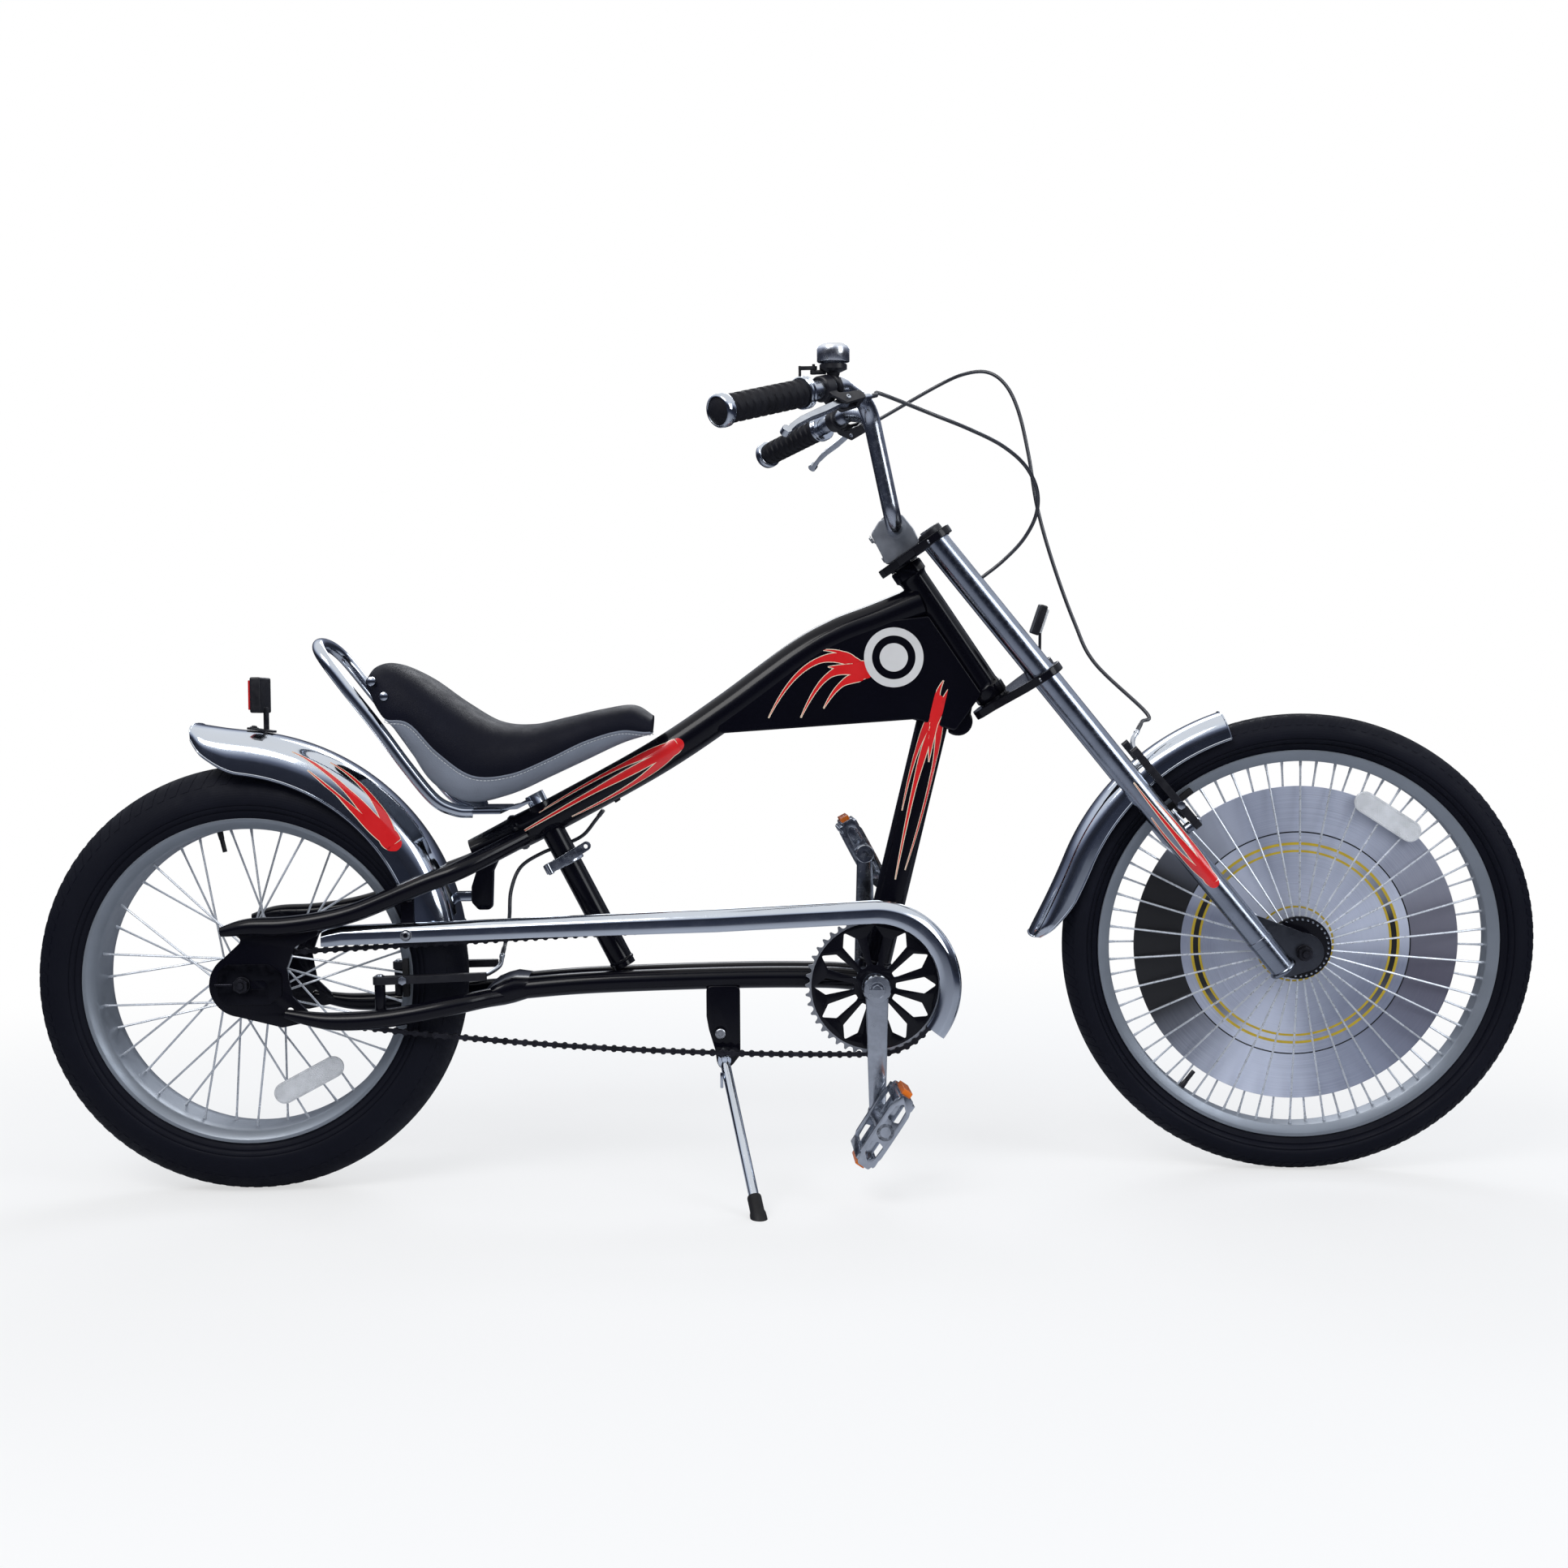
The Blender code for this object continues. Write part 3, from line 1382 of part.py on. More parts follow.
def chain_pins():
    """The chain's pins in order round both wheels, and the angle of one pin on each wheel.

    The pins run back along the top, round the sprocket, forward along a sagging lower run and
    round the chainring.
    """
    ring = Vector((BRACKET.x, BRACKET.z))
    cog = Vector((REAR_AXLE.x, REAR_AXLE.z))
    span = ring - cog
    tilt = atan2(span.y, span.x)
    opening = asin((RING_RADIUS - COG_RADIUS) / span.length)
    top = tilt + opening + pi / 2
    start = ring + Vector((cos(top), sin(top))) * RING_RADIUS
    end = cog + Vector((cos(top), sin(top))) * COG_RADIUS
    back = (end - start).normalized()
    count = int((end - start).length / PITCH)
    pins = [start + back * PITCH * i for i in range(count + 1)]
    leftover = (end - pins[-1]).length
    cog_step = 2 * pi / SPROCKET_TEETH
    first = top + (1 - leftover / PITCH) * cog_step
    wrapped = int((pi - 2 * opening) / cog_step) + 1
    cog_angles = [first + cog_step * i for i in range(wrapped)]
    pins += [cog + Vector((cos(a), sin(a))) * COG_RADIUS for a in cog_angles]
    ring_step = 2 * pi / CHAINRING_TEETH
    seated = int((pi + 2 * opening) / ring_step)
    ring_angles = [top - ring_step * i for i in range(seated, 0, -1)]
    low_start = pins[-1]
    low_end = ring + Vector((cos(ring_angles[0]), sin(ring_angles[0]))) * RING_RADIUS
    reach = (low_end - low_start).length
    hanging = reach * (1 + 8 / 3 * (CHAIN_SAG / reach) ** 2) / PITCH
    others = len(pins) - 1 + len(ring_angles)
    links = 2 * round((hanging + others) / 2) - others
    for i in range(1, links):
        t = i / links
        spot = low_start.lerp(low_end, t)
        pins.append(spot - Vector((0, 4 * CHAIN_SAG * t * (1 - t))))
    pins += [ring + Vector((cos(a), sin(a))) * RING_RADIUS for a in ring_angles]
    return pins, cog_angles[0], ring_angles[0]


PINS, COG_PHASE, RING_PHASE = chain_pins()


def make_chain():
    """Inner and outer links in turn, waisted between their pins, with hollows for the teeth."""
    rings = []
    count = len(PINS)
    for i in range(count):
        before, here, there = PINS[i - 1], PINS[i], PINS[(i + 1) % count]
        stations = (
            (here, there - before, CHAIN_PIN_HEIGHT, CHAIN_PIN_HALF),
            ((here + there) / 2, there - here, CHAIN_WAIST_HEIGHT, OUTER_LINK_HALF if i % 2 else INNER_LINK_HALF),
        )
        for spot, run, height, half in stations:
            up = Vector((-run.y, run.x)).normalized()
            upper, lower = spot + up * height, spot - up * height
            near, far = CHAIN_PLANE - half, CHAIN_PLANE + half
            rings.append(
                [
                    (upper.x, near, upper.y),
                    (upper.x, far, upper.y),
                    (lower.x, far, lower.y),
                    (lower.x, near, lower.y),
                ]
            )
    chain = loft("chain", rings, closed=True)
    depth = TOOTH_THICKNESS + 4 * RUNNING_GAP
    ring = plate(
        "ring_room",
        [tooth_outline(CHAINRING_TEETH, RING_PHASE, RUNNING_GAP)],
        depth,
        frame_of(Vector((BRACKET.x, CHAIN_PLANE, BRACKET.z)), X, Z),
    )
    cog = plate(
        "cog_room",
        [tooth_outline(SPROCKET_TEETH, COG_PHASE, RUNNING_GAP)],
        depth,
        frame_of(Vector((REAR_AXLE.x, CHAIN_PLANE, REAR_AXLE.z)), X, Z),
    )
    return finish(cut(chain, ring, cog), "dark_steel")


def petal(angle):
    """One pointed window of the chainring."""
    sides = ((0.027, -0.0032), (0.066, -0.0105), (0.079, 0.0), (0.066, 0.0105), (0.027, 0.0032))
    return [(r * cos(angle) - w * sin(angle), r * sin(angle) + w * cos(angle)) for r, w in sides]


def make_chainring():
    frame = frame_of(Vector((BRACKET.x, CHAIN_PLANE, BRACKET.z)), X, Z)
    windows = [petal(pi / 2 + 2 * pi * i / PETALS) for i in range(PETALS)]
    bore = circle((0, 0), snug(CRANK_BOSS_RADIUS, 16), 16)
    outline = tooth_outline(CHAINRING_TEETH, RING_PHASE)
    ring = plate("chainring", [outline, bore, *windows], TOOTH_THICKNESS, frame)
    return finish(ring, "black_paint")


def make_freewheel():
    frame = frame_of(Vector((REAR_AXLE.x, CHAIN_PLANE, REAR_AXLE.z)), X, Z)
    nose = AXLE_RADIUS + RUNNING_GAP + 0.006 + SEAM
    outline = tooth_outline(SPROCKET_TEETH, COG_PHASE)
    cog = plate("freewheel", [outline, circle((0, 0), nose, 16)], TOOTH_THICKNESS, frame)
    core = turned(
        "core",
        [(0.025, 0.0045), (0.025, -0.0045), (nose, -0.0045), (nose, 0.0045)],
        frame,
        16,
        ring=True,
    )
    return finish(weld(cog, core), "dark_steel")


def crank_arm(name, side, reach):
    """A tapering arm with its boss, square hole and pedal spindle."""
    middle = side * (CRANK_FACE + CRANK_THICKNESS / 2)
    end = BRACKET + Z * reach
    outline = capsule(
        (BRACKET.x, BRACKET.z), CRANK_EYE_RADIUS, (end.x, end.z), CRANK_TIP_RADIUS, 6
    )
    arm = plate(name, [outline], CRANK_THICKNESS, side_frame(middle))
    inner = BRACKET_SHELL_HALF + 0.004
    boss = bar("boss", BRACKET + Y * side * inner, BRACKET + Y * middle, CRANK_BOSS_RADIUS, 12)
    outer = CRANK_FACE + CRANK_THICKNESS
    spindle = bar(
        "spindle",
        end + Y * side * (CRANK_FACE + 0.003),
        end + Y * side * (outer + PEDAL_LENGTH - 0.004),
        PEDAL_SPINDLE_RADIUS,
        8,
    )
    collar = bar("collar", end + Y * middle, end + Y * side * (outer + 0.004), 0.009, 8)
    return weld(arm, boss, spindle, collar)


def make_cranks():
    right = crank_arm("crank_right", RIGHT, -CRANK_LENGTH)
    frame = frame_of(BRACKET + Y * (CHAIN_PLANE + TOOTH_THICKNESS / 2 + SEAM + 0.0015), X, Z)
    star = []
    for i in range(2 * PETALS):
        reach = 0.046 if i % 2 else 0.024
        angle = pi / 2 + pi * i / PETALS
        star.append((reach * cos(angle), reach * sin(angle)))
    spider = plate("spider", [star], 0.003, frame)
    right = weld(right, spider)
    inside = BRACKET_SHELL_HALF + CRANK_FACE
    hole = bar("hole", BRACKET - Y * 0.04, BRACKET - Y * inside, SPINDLE_RADIUS + SEAM, 12)
    right = cut(right, hole)
    left = crank_arm("crank_left", LEFT, CRANK_LENGTH)
    axle_end = -CRANK_FACE - CRANK_THICKNESS + 0.004
    spindle = bar("spindle", BRACKET + Y * axle_end, BRACKET + Y * (CRANK_FACE + 0.004), SPINDLE_RADIUS, 12)
    left = weld(left, spindle)
    return finish(right, "silver"), finish(left, "silver")


def pedal_centre(side):
    reach = -CRANK_LENGTH if side == RIGHT else CRANK_LENGTH
    return BRACKET + Z * reach + Y * side * (CRANK_FACE + CRANK_THICKNESS + 0.006 + PEDAL_LENGTH / 2)


def make_pedal(name, side, tilt):
    """A cage pedal: barrel, two pointed end plates and two treads with reflectors."""
    centre = pedal_centre(side)
    ahead = Vector((cos(tilt), 0, sin(tilt)))
    above = Vector((-sin(tilt), 0, cos(tilt)))
    half = PEDAL_CHORD / 2
    thick = PEDAL_HEIGHT / 2
    outline = [
        (-half, -thick * 0.55),
        (-half * 0.5, -thick),
        (half * 0.5, -thick),
        (half, -thick * 0.55),
        (half, thick * 0.55),
        (half * 0.5, thick),
        (-half * 0.5, thick),
        (-half, thick * 0.55),
    ]
    plate_thickness = 0.005
    spots = [-PEDAL_LENGTH / 2 + plate_thickness / 2, PEDAL_LENGTH / 2 - plate_thickness / 2]
    frames = [frame_of(centre + Y * spot, ahead, above) for spot in spots]
    piece = plate(name, [outline], plate_thickness, frames[0])
    others = [plate("end", [outline], plate_thickness, frames[1])]
    start, stop = centre - Y * PEDAL_LENGTH / 2, centre + Y * PEDAL_LENGTH / 2
    others.append(bar("barrel", start, stop, 0.0115, 8))
    for way in (-1, 1):
        tread = frame_of(centre + ahead * way * (half - 0.007), ahead, Y)
        others.append(block("tread", (0.011, PEDAL_LENGTH - 0.002, thick * 1.05), tread))
        lamp = frame_of(centre + ahead * way * (half + 0.001), ahead, Y)
        others.append(block("lamp", (0.009, 0.052, thick * 1.2), lamp))
    piece = weld(piece, *others)
    bore_start = centre - Y * side * (PEDAL_LENGTH / 2 + 0.01)
    bore_end = centre + Y * side * (PEDAL_LENGTH / 2 - 0.008)
    bore = bar("bore", bore_start, bore_end, running(PEDAL_SPINDLE_RADIUS, 8), 8)
    return finish(cut(piece, bore), "silver")


def guard_stations():
    """The guard's outer edge from its tail to its end under the bracket, and its way inward."""
    stations = [
        (Vector((0.100, 0.3425)), Vector((0, -1)), 0.72),
        (Vector((0.125, 0.3500)), Vector((0, -1)), 1.0),
        (Vector((0.360, 0.3570)), Vector((0, -1)), 1.0),
        (Vector((0.600, 0.3655)), Vector((0, -1)), 1.0),
    ]
    for i in range(13):
        angle = radians(92 - i * (92 + 38) / 12)
        way = Vector((cos(angle), sin(angle)))
        stations.append((Vector((BRACKET.x, BRACKET.z)) + way * GUARD_RADIUS, -way, 1.0))
    return stations


def make_guard():
    rows = []
    for edge, inward, share in guard_stations():
        lip = edge
        crest = edge + inward * GUARD_BEVEL * share
        hem = edge + inward * GUARD_DEPTH * share
        rows.append([(lip.x, -GUARD_LIP, lip.y), (crest.x, -GUARD_FACE, crest.y), (hem.x, -GUARD_FACE, hem.y)])
    guard = sheet("chain_guard", rows, SHEET, 0)
    spot = Vector((GUARD_BOLT_X, -GUARD_FACE, GUARD_BOLT_Z))
    hole = bar("hole", spot - Y * 0.01, spot + Y * 0.01, snug(0.003, 8), 8)
    return finish(cut(guard, hole), "chrome")


# Fenders and reflectors

def fender(name, centre, arc_degrees, radius, half, flare, steps, strap):
    """A crowned strip bent round the wheel, with one end turned out."""
    start, end = arc_degrees
    section = ((0.0, 0.0), (0.52, 0.003), (0.88, 0.016), (1.0, 0.038))
    across = [(-y, drop) for y, drop in reversed(section[1:])] + list(section)
    rows = []
    for i in range(steps + 1):
        share = i / steps
        angle = radians(start + (end - start) * share)
        lift = flare[0] * max(0.0, (share - flare[1]) / (1 - flare[1])) ** 2
        narrow = 1.0 - 0.25 * max(0.0, (share - 0.96) / 0.04)
        row = []
        for y, drop in across:
            reach = radius + lift - drop * (half / REAR_FENDER_HALF) * narrow
            spot = centre + Vector((cos(angle), 0, sin(angle))) * reach
            row.append((spot.x, y * half * narrow, spot.z))
        rows.append(row)
    piece = sheet(name, rows, SHEET, 0)
    return finish(weld(piece, strap) if strap else piece, "chrome")


REAR_FENDER_CENTRE = REAR_AXLE + Vector((-0.030, 0, 0.019))


def make_rear_fender():
    """The rear fender, with the rib that meets the tab under the main tube."""
    heading = radians(16)
    way = Vector((cos(heading), 0, sin(heading)))
    foot = REAR_FENDER_CENTRE + way * (REAR_FENDER_RADIUS - 0.0005)
    back = foot.x - 0.0003
    ahead = FENDER_TAB_X - SEAM
    strap = block("strap", (ahead - back, 0.018, 0.012), frame_of(Vector(((ahead + back) / 2, 0, foot.z)), X, Y))
    return fender(
        "rear_fender", REAR_FENDER_CENTRE, (9.4, 97), REAR_FENDER_RADIUS, REAR_FENDER_HALF, (0.010, 0.86), 13, strap
    )


def make_front_fender():
    """The front fender, held by a strap between the fork legs."""
    top, bottom = leg_line(RIGHT)
    middle = top.lerp(bottom, 0.545)
    spot = Vector((middle.x, 0, middle.z))
    way = (spot - FRONT_AXLE).normalized()
    reach = 2 * (LEG_SPREAD - LEG_RADIUS - SEAM)
    strap = block(
        "strap",
        (0.006, reach, 0.016),
        frame_of(FRONT_AXLE + way * (FRONT_FENDER_RADIUS + 0.003), way, Y),
    )
    return fender(
        "front_fender", FRONT_AXLE, (109, 178), FRONT_FENDER_RADIUS, FRONT_FENDER_HALF, (0.025, 0.72), 11, strap
    )


def make_rear_reflector():
    """A reflector on a bent foot that stands on the fender."""
    way = Vector((cos(radians(82)), 0, sin(radians(82))))
    foot = REAR_FENDER_CENTRE + way * (REAR_FENDER_RADIUS + SHEET / 2 + SEAM + 0.0015)
    along = Vector((sin(radians(82)), 0, -cos(radians(82))))
    base = block("rear_reflector", (0.034, 0.018, 0.003), frame_of(foot, along, Y))
    stem = block("stem", (0.004, 0.014, 0.030), frame_of(foot + Vector((0.006, 0, 0.014)), X, Y))
    body = block("body", (0.014, 0.052, 0.046), frame_of(foot + Vector((-0.001, 0, 0.045)), X, Y))
    lens = block("lens", (0.004, 0.044, 0.038), frame_of(foot + Vector((-0.009, 0, 0.045)), X, Y))
    return finish(weld(base, stem, body, lens), "black_plastic")


def make_front_reflector():
    """A reflector on a strip that stands on the lower crown."""
    seat = steer_point(LOWER_CROWN_UP + CROWN_THICKNESS / 2 + SEAM, leg_reach(LOWER_CROWN_UP) + 0.004)
    strip = block("front_reflector", (0.010, 0.016, 0.003), frame_of(seat + STEER_UP * 0.0015, STEER_FORWARD, Y))
    stem = block("stem", (0.003, 0.012, 0.052), frame_of(seat + Vector((-0.002, 0, 0.026)), X, Y))
    tilt = Vector((cos(radians(-18)), 0, sin(radians(-18))))
    body = block("body", (0.010, 0.046, 0.040), frame_of(seat + Vector((-0.004, 0, 0.062)), tilt, Y))
    lens = block("lens", (0.004, 0.038, 0.032), frame_of(seat + Vector((-0.004, 0, 0.062)) + tilt * 0.006, tilt, Y))
    return finish(weld(strip, stem, body, lens), "black_plastic")


# Seat

# Along the seat: crown point, underside point, half width and where the lower band ends.
SEAT_STATIONS = (
    ((0.154, 0.664), (0.166, 0.640), 0.058, 0.0),
    ((0.168, 0.680), (0.174, 0.628), 0.076, 0.0),
    ((0.192, 0.683), (0.188, 0.609), 0.088, 0.03),
    ((0.231, 0.665), (0.210, 0.577), 0.095, 0.33),
    ((0.276, 0.633), (0.240, 0.530), 0.100, 0.38),
    ((0.320, 0.608), (0.284, 0.505), 0.101, 0.34),
    ((0.365, 0.604), (0.334, 0.513), 0.098, 0.31),
    ((0.410, 0.613), (0.380, 0.533), 0.090, 0.33),
    ((0.455, 0.623), (0.430, 0.556), 0.080, 0.40),
    ((0.495, 0.628), (0.478, 0.578), 0.068, 0.33),
    ((0.520, 0.614), (0.517, 0.590), 0.054, 0.10),
)


def seat_rings():
    """Crown, underside, half width and band share at evenly spread places along the seat."""
    flat = [Vector((c[0], c[1], u[0])) for c, u, _, _ in SEAT_STATIONS]
    rest = [Vector((u[1], w, b)) for _, u, w, b in SEAT_STATIONS]
    return [
        (Vector((a.x, 0, a.y)), Vector((a.z, 0, b.x)), b.y, max(0.0, b.z))
        for a, b in zip(smooth(flat, 2), smooth(rest, 2))
    ]


def make_saddle():
    """The padded cushion over its lower band, which share the seam between them."""
    cushion, band = [], []
    for crown, under, half, share in seat_rings():
        rise = crown - under
        seam = under + rise * share
        lift = rise.normalized() * SEAM
        arch = [
            (1.0, 0.0),
            (1.0, 0.22),
            (0.95, 0.52),
            (0.80, 0.78),
            (0.52, 0.94),
            (0.20, 1.0),
        ]
        arch += [(-y, h) for y, h in reversed(arch)]
        top = crown - seam
        cushion.append([seam + lift + top * h + Y * half * y for y, h in arch])
        if share > 0.02:
            tray = [(0.985, 1.0), (0.985, 0.55), (0.90, 0.18), (0.70, 0.0)]
            tray += [(-y, h) for y, h in reversed(tray)]
            band.append([under + (seam - under) * h + Y * half * y for y, h in tray])
    pad = finish(loft("saddle_cushion", cushion), "black_vinyl")
    base = finish(loft("saddle_base", band), "grey_vinyl")
    return pad, base


SEAT_PLATE_X = 0.300
SEAT_PLATE_TOP = 0.4965
SEAT_PLATE_SIZE = (0.056, 0.140, 0.006)


def seat_plate(name, grow=0.0):
    """The flat plate across the bicycle, under the saddle."""
    size = [length + 2 * grow for length in SEAT_PLATE_SIZE]
    return block(name, size, frame_of(Vector((SEAT_PLATE_X, 0, SEAT_PLATE_TOP - SEAT_PLATE_SIZE[2] / 2)), X, Y))


def make_seat_post():
    """The post with the cross plate that carries the saddle and the hoop."""
    post = bar("seat_post", seat_line(0.070), seat_line(0.262), SEAT_POST_RADIUS, 14)
    cross = seat_plate("cross")
    top = SEAT_PLATE_TOP
    outline = [
        (0.318, top - 0.001),
        (0.318, top - 0.005),
        (0.342, top - 0.003),
        (0.366, top + 0.009),
        (0.366, top + 0.016),
        (0.345, top + 0.0045),
    ]
    neck = plate("neck", [outline], 0.022, side_frame(0))
    return finish(weld(post, cross, neck), "chrome")


def make_hoop():
    """The bent tube behind the saddle, whose slotted ends straddle the plate."""
    half = [
        Vector((0.292, 0.062, SEAT_PLATE_TOP - 0.003)),
        Vector((0.272, 0.066, 0.4955)),
        Vector((0.246, 0.070, 0.509)),
        Vector((0.212, 0.072, 0.551)),
        Vector((0.175, 0.074, 0.603)),
        Vector((0.138, 0.074, 0.651)),
        Vector((0.110, 0.068, 0.688)),
        Vector((0.098, 0.045, 0.704)),
        Vector((0.094, 0.0, 0.709)),
    ]
    near = [Vector((p.x, -p.y, p.z)) for p in half]
    hoop = tube("seat_hoop", near + list(reversed(half[:-1])), 0.008, 2)
    return finish(cut(hoop, seat_plate("slot", SEAM)), "chrome")


CLAMP_UP = 0.166
CLAMP_LEVER_SIDE = -0.0255
CLAMP_LEVER_THICKNESS = 0.008


def make_seat_clamp():
    """A collar round the seat tube with two ears behind it and a cross bolt."""
    low, high = seat_line(CLAMP_UP - 0.007), seat_line(CLAMP_UP + 0.007)
    collar = bar("seat_clamp", low, high, SEAT_TUBE_RADIUS + 0.0045, 18)
    up = (high - low).normalized()
    back = Y.cross(up) if Y.cross(up).x < 0 else up.cross(Y)
    centre = seat_line(CLAMP_UP) + back * (SEAT_TUBE_RADIUS + 0.009)
    ears = block("ears", (0.016, 0.022, 0.013), frame_of(centre, back, Y))
    bolt = bar("bolt", centre + Y * 0.018, centre + Y * (CLAMP_LEVER_SIDE + 0.0045), 0.0035, 8)
    piece = weld(collar, ears, bolt)
    hole = bar("hole", seat_line(CLAMP_UP - 0.02), seat_line(CLAMP_UP + 0.02), snug(SEAT_TUBE_RADIUS, 16), 16)
    return finish(cut(piece, hole), "silver"), centre, up, back


def make_clamp_lever(centre, up, back):
    """The quick-release lever, which lies forward when it is shut and swings on its round barrel."""
    ahead = (-back + Z * 0.05).normalized()
    pivot = centre + Y * CLAMP_LEVER_SIDE
    barrel = bar("barrel", pivot - up * 0.0075, pivot + up * 0.0075, CLAMP_LEVER_THICKNESS / 2, 16)
    outline = [(0.0, -0.0068), *arc((0.056, 0.002), 0.0062, -85, 85, 6), (0.0, 0.0068)]
    lever = plate("clamp_lever", [outline], CLAMP_LEVER_THICKNESS - 0.0004, frame_of(pivot, ahead, up))
    return finish(weld(lever, barrel), "silver")


# Stand

def stand_axis():
    """The stand's hinge axis, tipped so that the folded leg lies along the frame."""
    return Vector((0, cos(STAND_TILT), -sin(STAND_TILT)))


def make_kickstand():
    """The leg with its hub beside the hanger, and a rubber foot on the ground."""
    axis = stand_axis()
    reach = axis * STAND_HUB_LENGTH / 2
    hub_piece = bar("kickstand", STAND_PIVOT - reach, STAND_PIVOT + reach, STAND_HUB_RADIUS, 12)
    ground = -STAND_FOOT_Y * tan(LEAN)
    foot = Vector((STAND_FOOT_X, STAND_FOOT_Y, ground))
    leg_way = (foot - STAND_PIVOT).normalized()
    ankle = foot - leg_way * 0.012
    leg = bar("leg", STAND_PIVOT, ankle, STAND_RADIUS, 10)
    sole = foot - leg_way * 0.030
    shoe = bar("shoe", sole, foot + leg_way * 0.012, 0.0085, 10, 0.0105)
    floor = block(
        "floor",
        (0.2, 0.2, 0.05),
        frame_of(foot - Z * 0.025, X, Y * cos(LEAN) - Z * sin(LEAN)),
    )
    hook = block("hook", (0.004, 0.004, 0.020), frame_of(STAND_PIVOT + leg_way * 0.030 + Vector((-0.009, 0, 0)), X, Y))
    piece = weld(hub_piece, leg, shoe, hook)
    return finish(cut(piece, floor), "silver")


# Cables

def rest_turn():
    """The turn of everything that steers, at rest."""
    spin = Matrix.Rotation(REST_STEER, 4, -STEER_UP)
    return Matrix.Translation(HEAD) @ spin @ Matrix.Translation(-HEAD)


def barrel_end(side):
    """Where a cable leaves its lever bracket, with the bars at rest."""
    return rest_turn() @ on_grip(side, -0.092 - SEAM, LEVER_OFFSET)


def make_front_cable():
    """From the left lever down to the guide on the front brake, with the bars at rest."""
    out = (rest_turn().to_3x3() @ (on_grip(LEFT, -1) - on_grip(LEFT, 0))).normalized()
    start = barrel_end(LEFT)
    tip = [FRONT_BRAKE.point(FRONT_BRAKE.tip + a, RIGHT * b, c) for a, b, c in FRONT_NOODLE]
    end = rest_turn() @ tip[-1]
    way = (rest_turn() @ tip[-1] - rest_turn() @ tip[-2]).normalized()
    end = end + way * 2 * SEAM
    points = [
        start,
        start + out * 0.010,
        start + out * 0.020,
        (0.910, 0.118, 1.066),
        (0.945, 0.096, 1.079),
        (0.975, 0.080, 1.078),
        (0.998, 0.070, 1.058),
        (1.014, 0.062, 1.020),
        (1.026, 0.054, 0.960),
        (1.036, 0.046, 0.890),
        (1.055, 0.036, 0.815),
        (1.082, 0.026, 0.735),
        (1.106, 0.010, 0.680),
        end + way * 0.030,
        end + way * 0.015,
        end,
    ]
    return finish(tube("front_cable", smooth(points, 2), CABLE_RADIUS, 1), "black_plastic")


def make_rear_cable():
    """From the right lever down into the frame behind the head tube, with the bars at rest."""
    out = (rest_turn().to_3x3() @ (on_grip(RIGHT, -1) - on_grip(RIGHT, 0))).normalized()
    start = barrel_end(RIGHT)
    points = [
        start,
        start + out * 0.010,
        start + out * 0.020,
        (0.870, -0.135, 0.982),
        (0.920, -0.110, 0.968),
        (0.965, -0.085, 0.952),
        (0.999, -0.062, 0.930),
        (1.018, -0.042, 0.902),
        (1.020, -0.026, 0.872),
        (1.006, -0.013, 0.842),
        (0.982, -0.004, 0.816),
        (0.957, 0.0, 0.796),
        (0.9375, 0.0, 0.7825),
    ]
    return finish(tube("rear_cable_upper", smooth(points, 2), CABLE_RADIUS, 1), "black_plastic")


def make_rear_cable_lower():
    """From under the main tube, behind the seat tube, to the guide on the rear brake."""
    tip = [REAR_BRAKE.point(REAR_BRAKE.tip + a, RIGHT * b, c) for a, b, c in REAR_NOODLE]
    way = (tip[-1] - tip[-2]).normalized()
    end = tip[-1] + way * 2 * SEAM
    points = [
        (0.452, 0.014, 0.4900),
        (0.441, 0.021, 0.4760),
        (0.424, 0.0275, 0.4560),
        (0.400, 0.0290, 0.4440),
        (0.370, 0.0270, 0.4330),
        (0.342, 0.0190, 0.4150),
        (0.330, 0.010, 0.385),
        (0.328, 0.004, 0.350),
        end + way * 0.022,
        end + way * 0.011,
        end,
    ]
    return finish(tube("rear_cable_lower", smooth(points, 2), CABLE_RADIUS, 1), "black_plastic")


# Assembly

def pivot(name, place, parent=None):
    """An empty on a joint's axis, which carries what turns or slides there."""
    empty = bpy.data.objects.new(name, None)
    empty.empty_display_size = 0.03
    PARTS.objects.link(empty)
    empty.location = place
    bpy.context.view_layer.update()
    if parent:
        carry(parent, empty)
    return empty


def carry(parent, *pieces):
    bpy.context.view_layer.update()
    for piece in pieces:
        piece.parent = parent
        piece.matrix_parent_inverse = parent.matrix_world.inverted()
    bpy.context.view_layer.update()


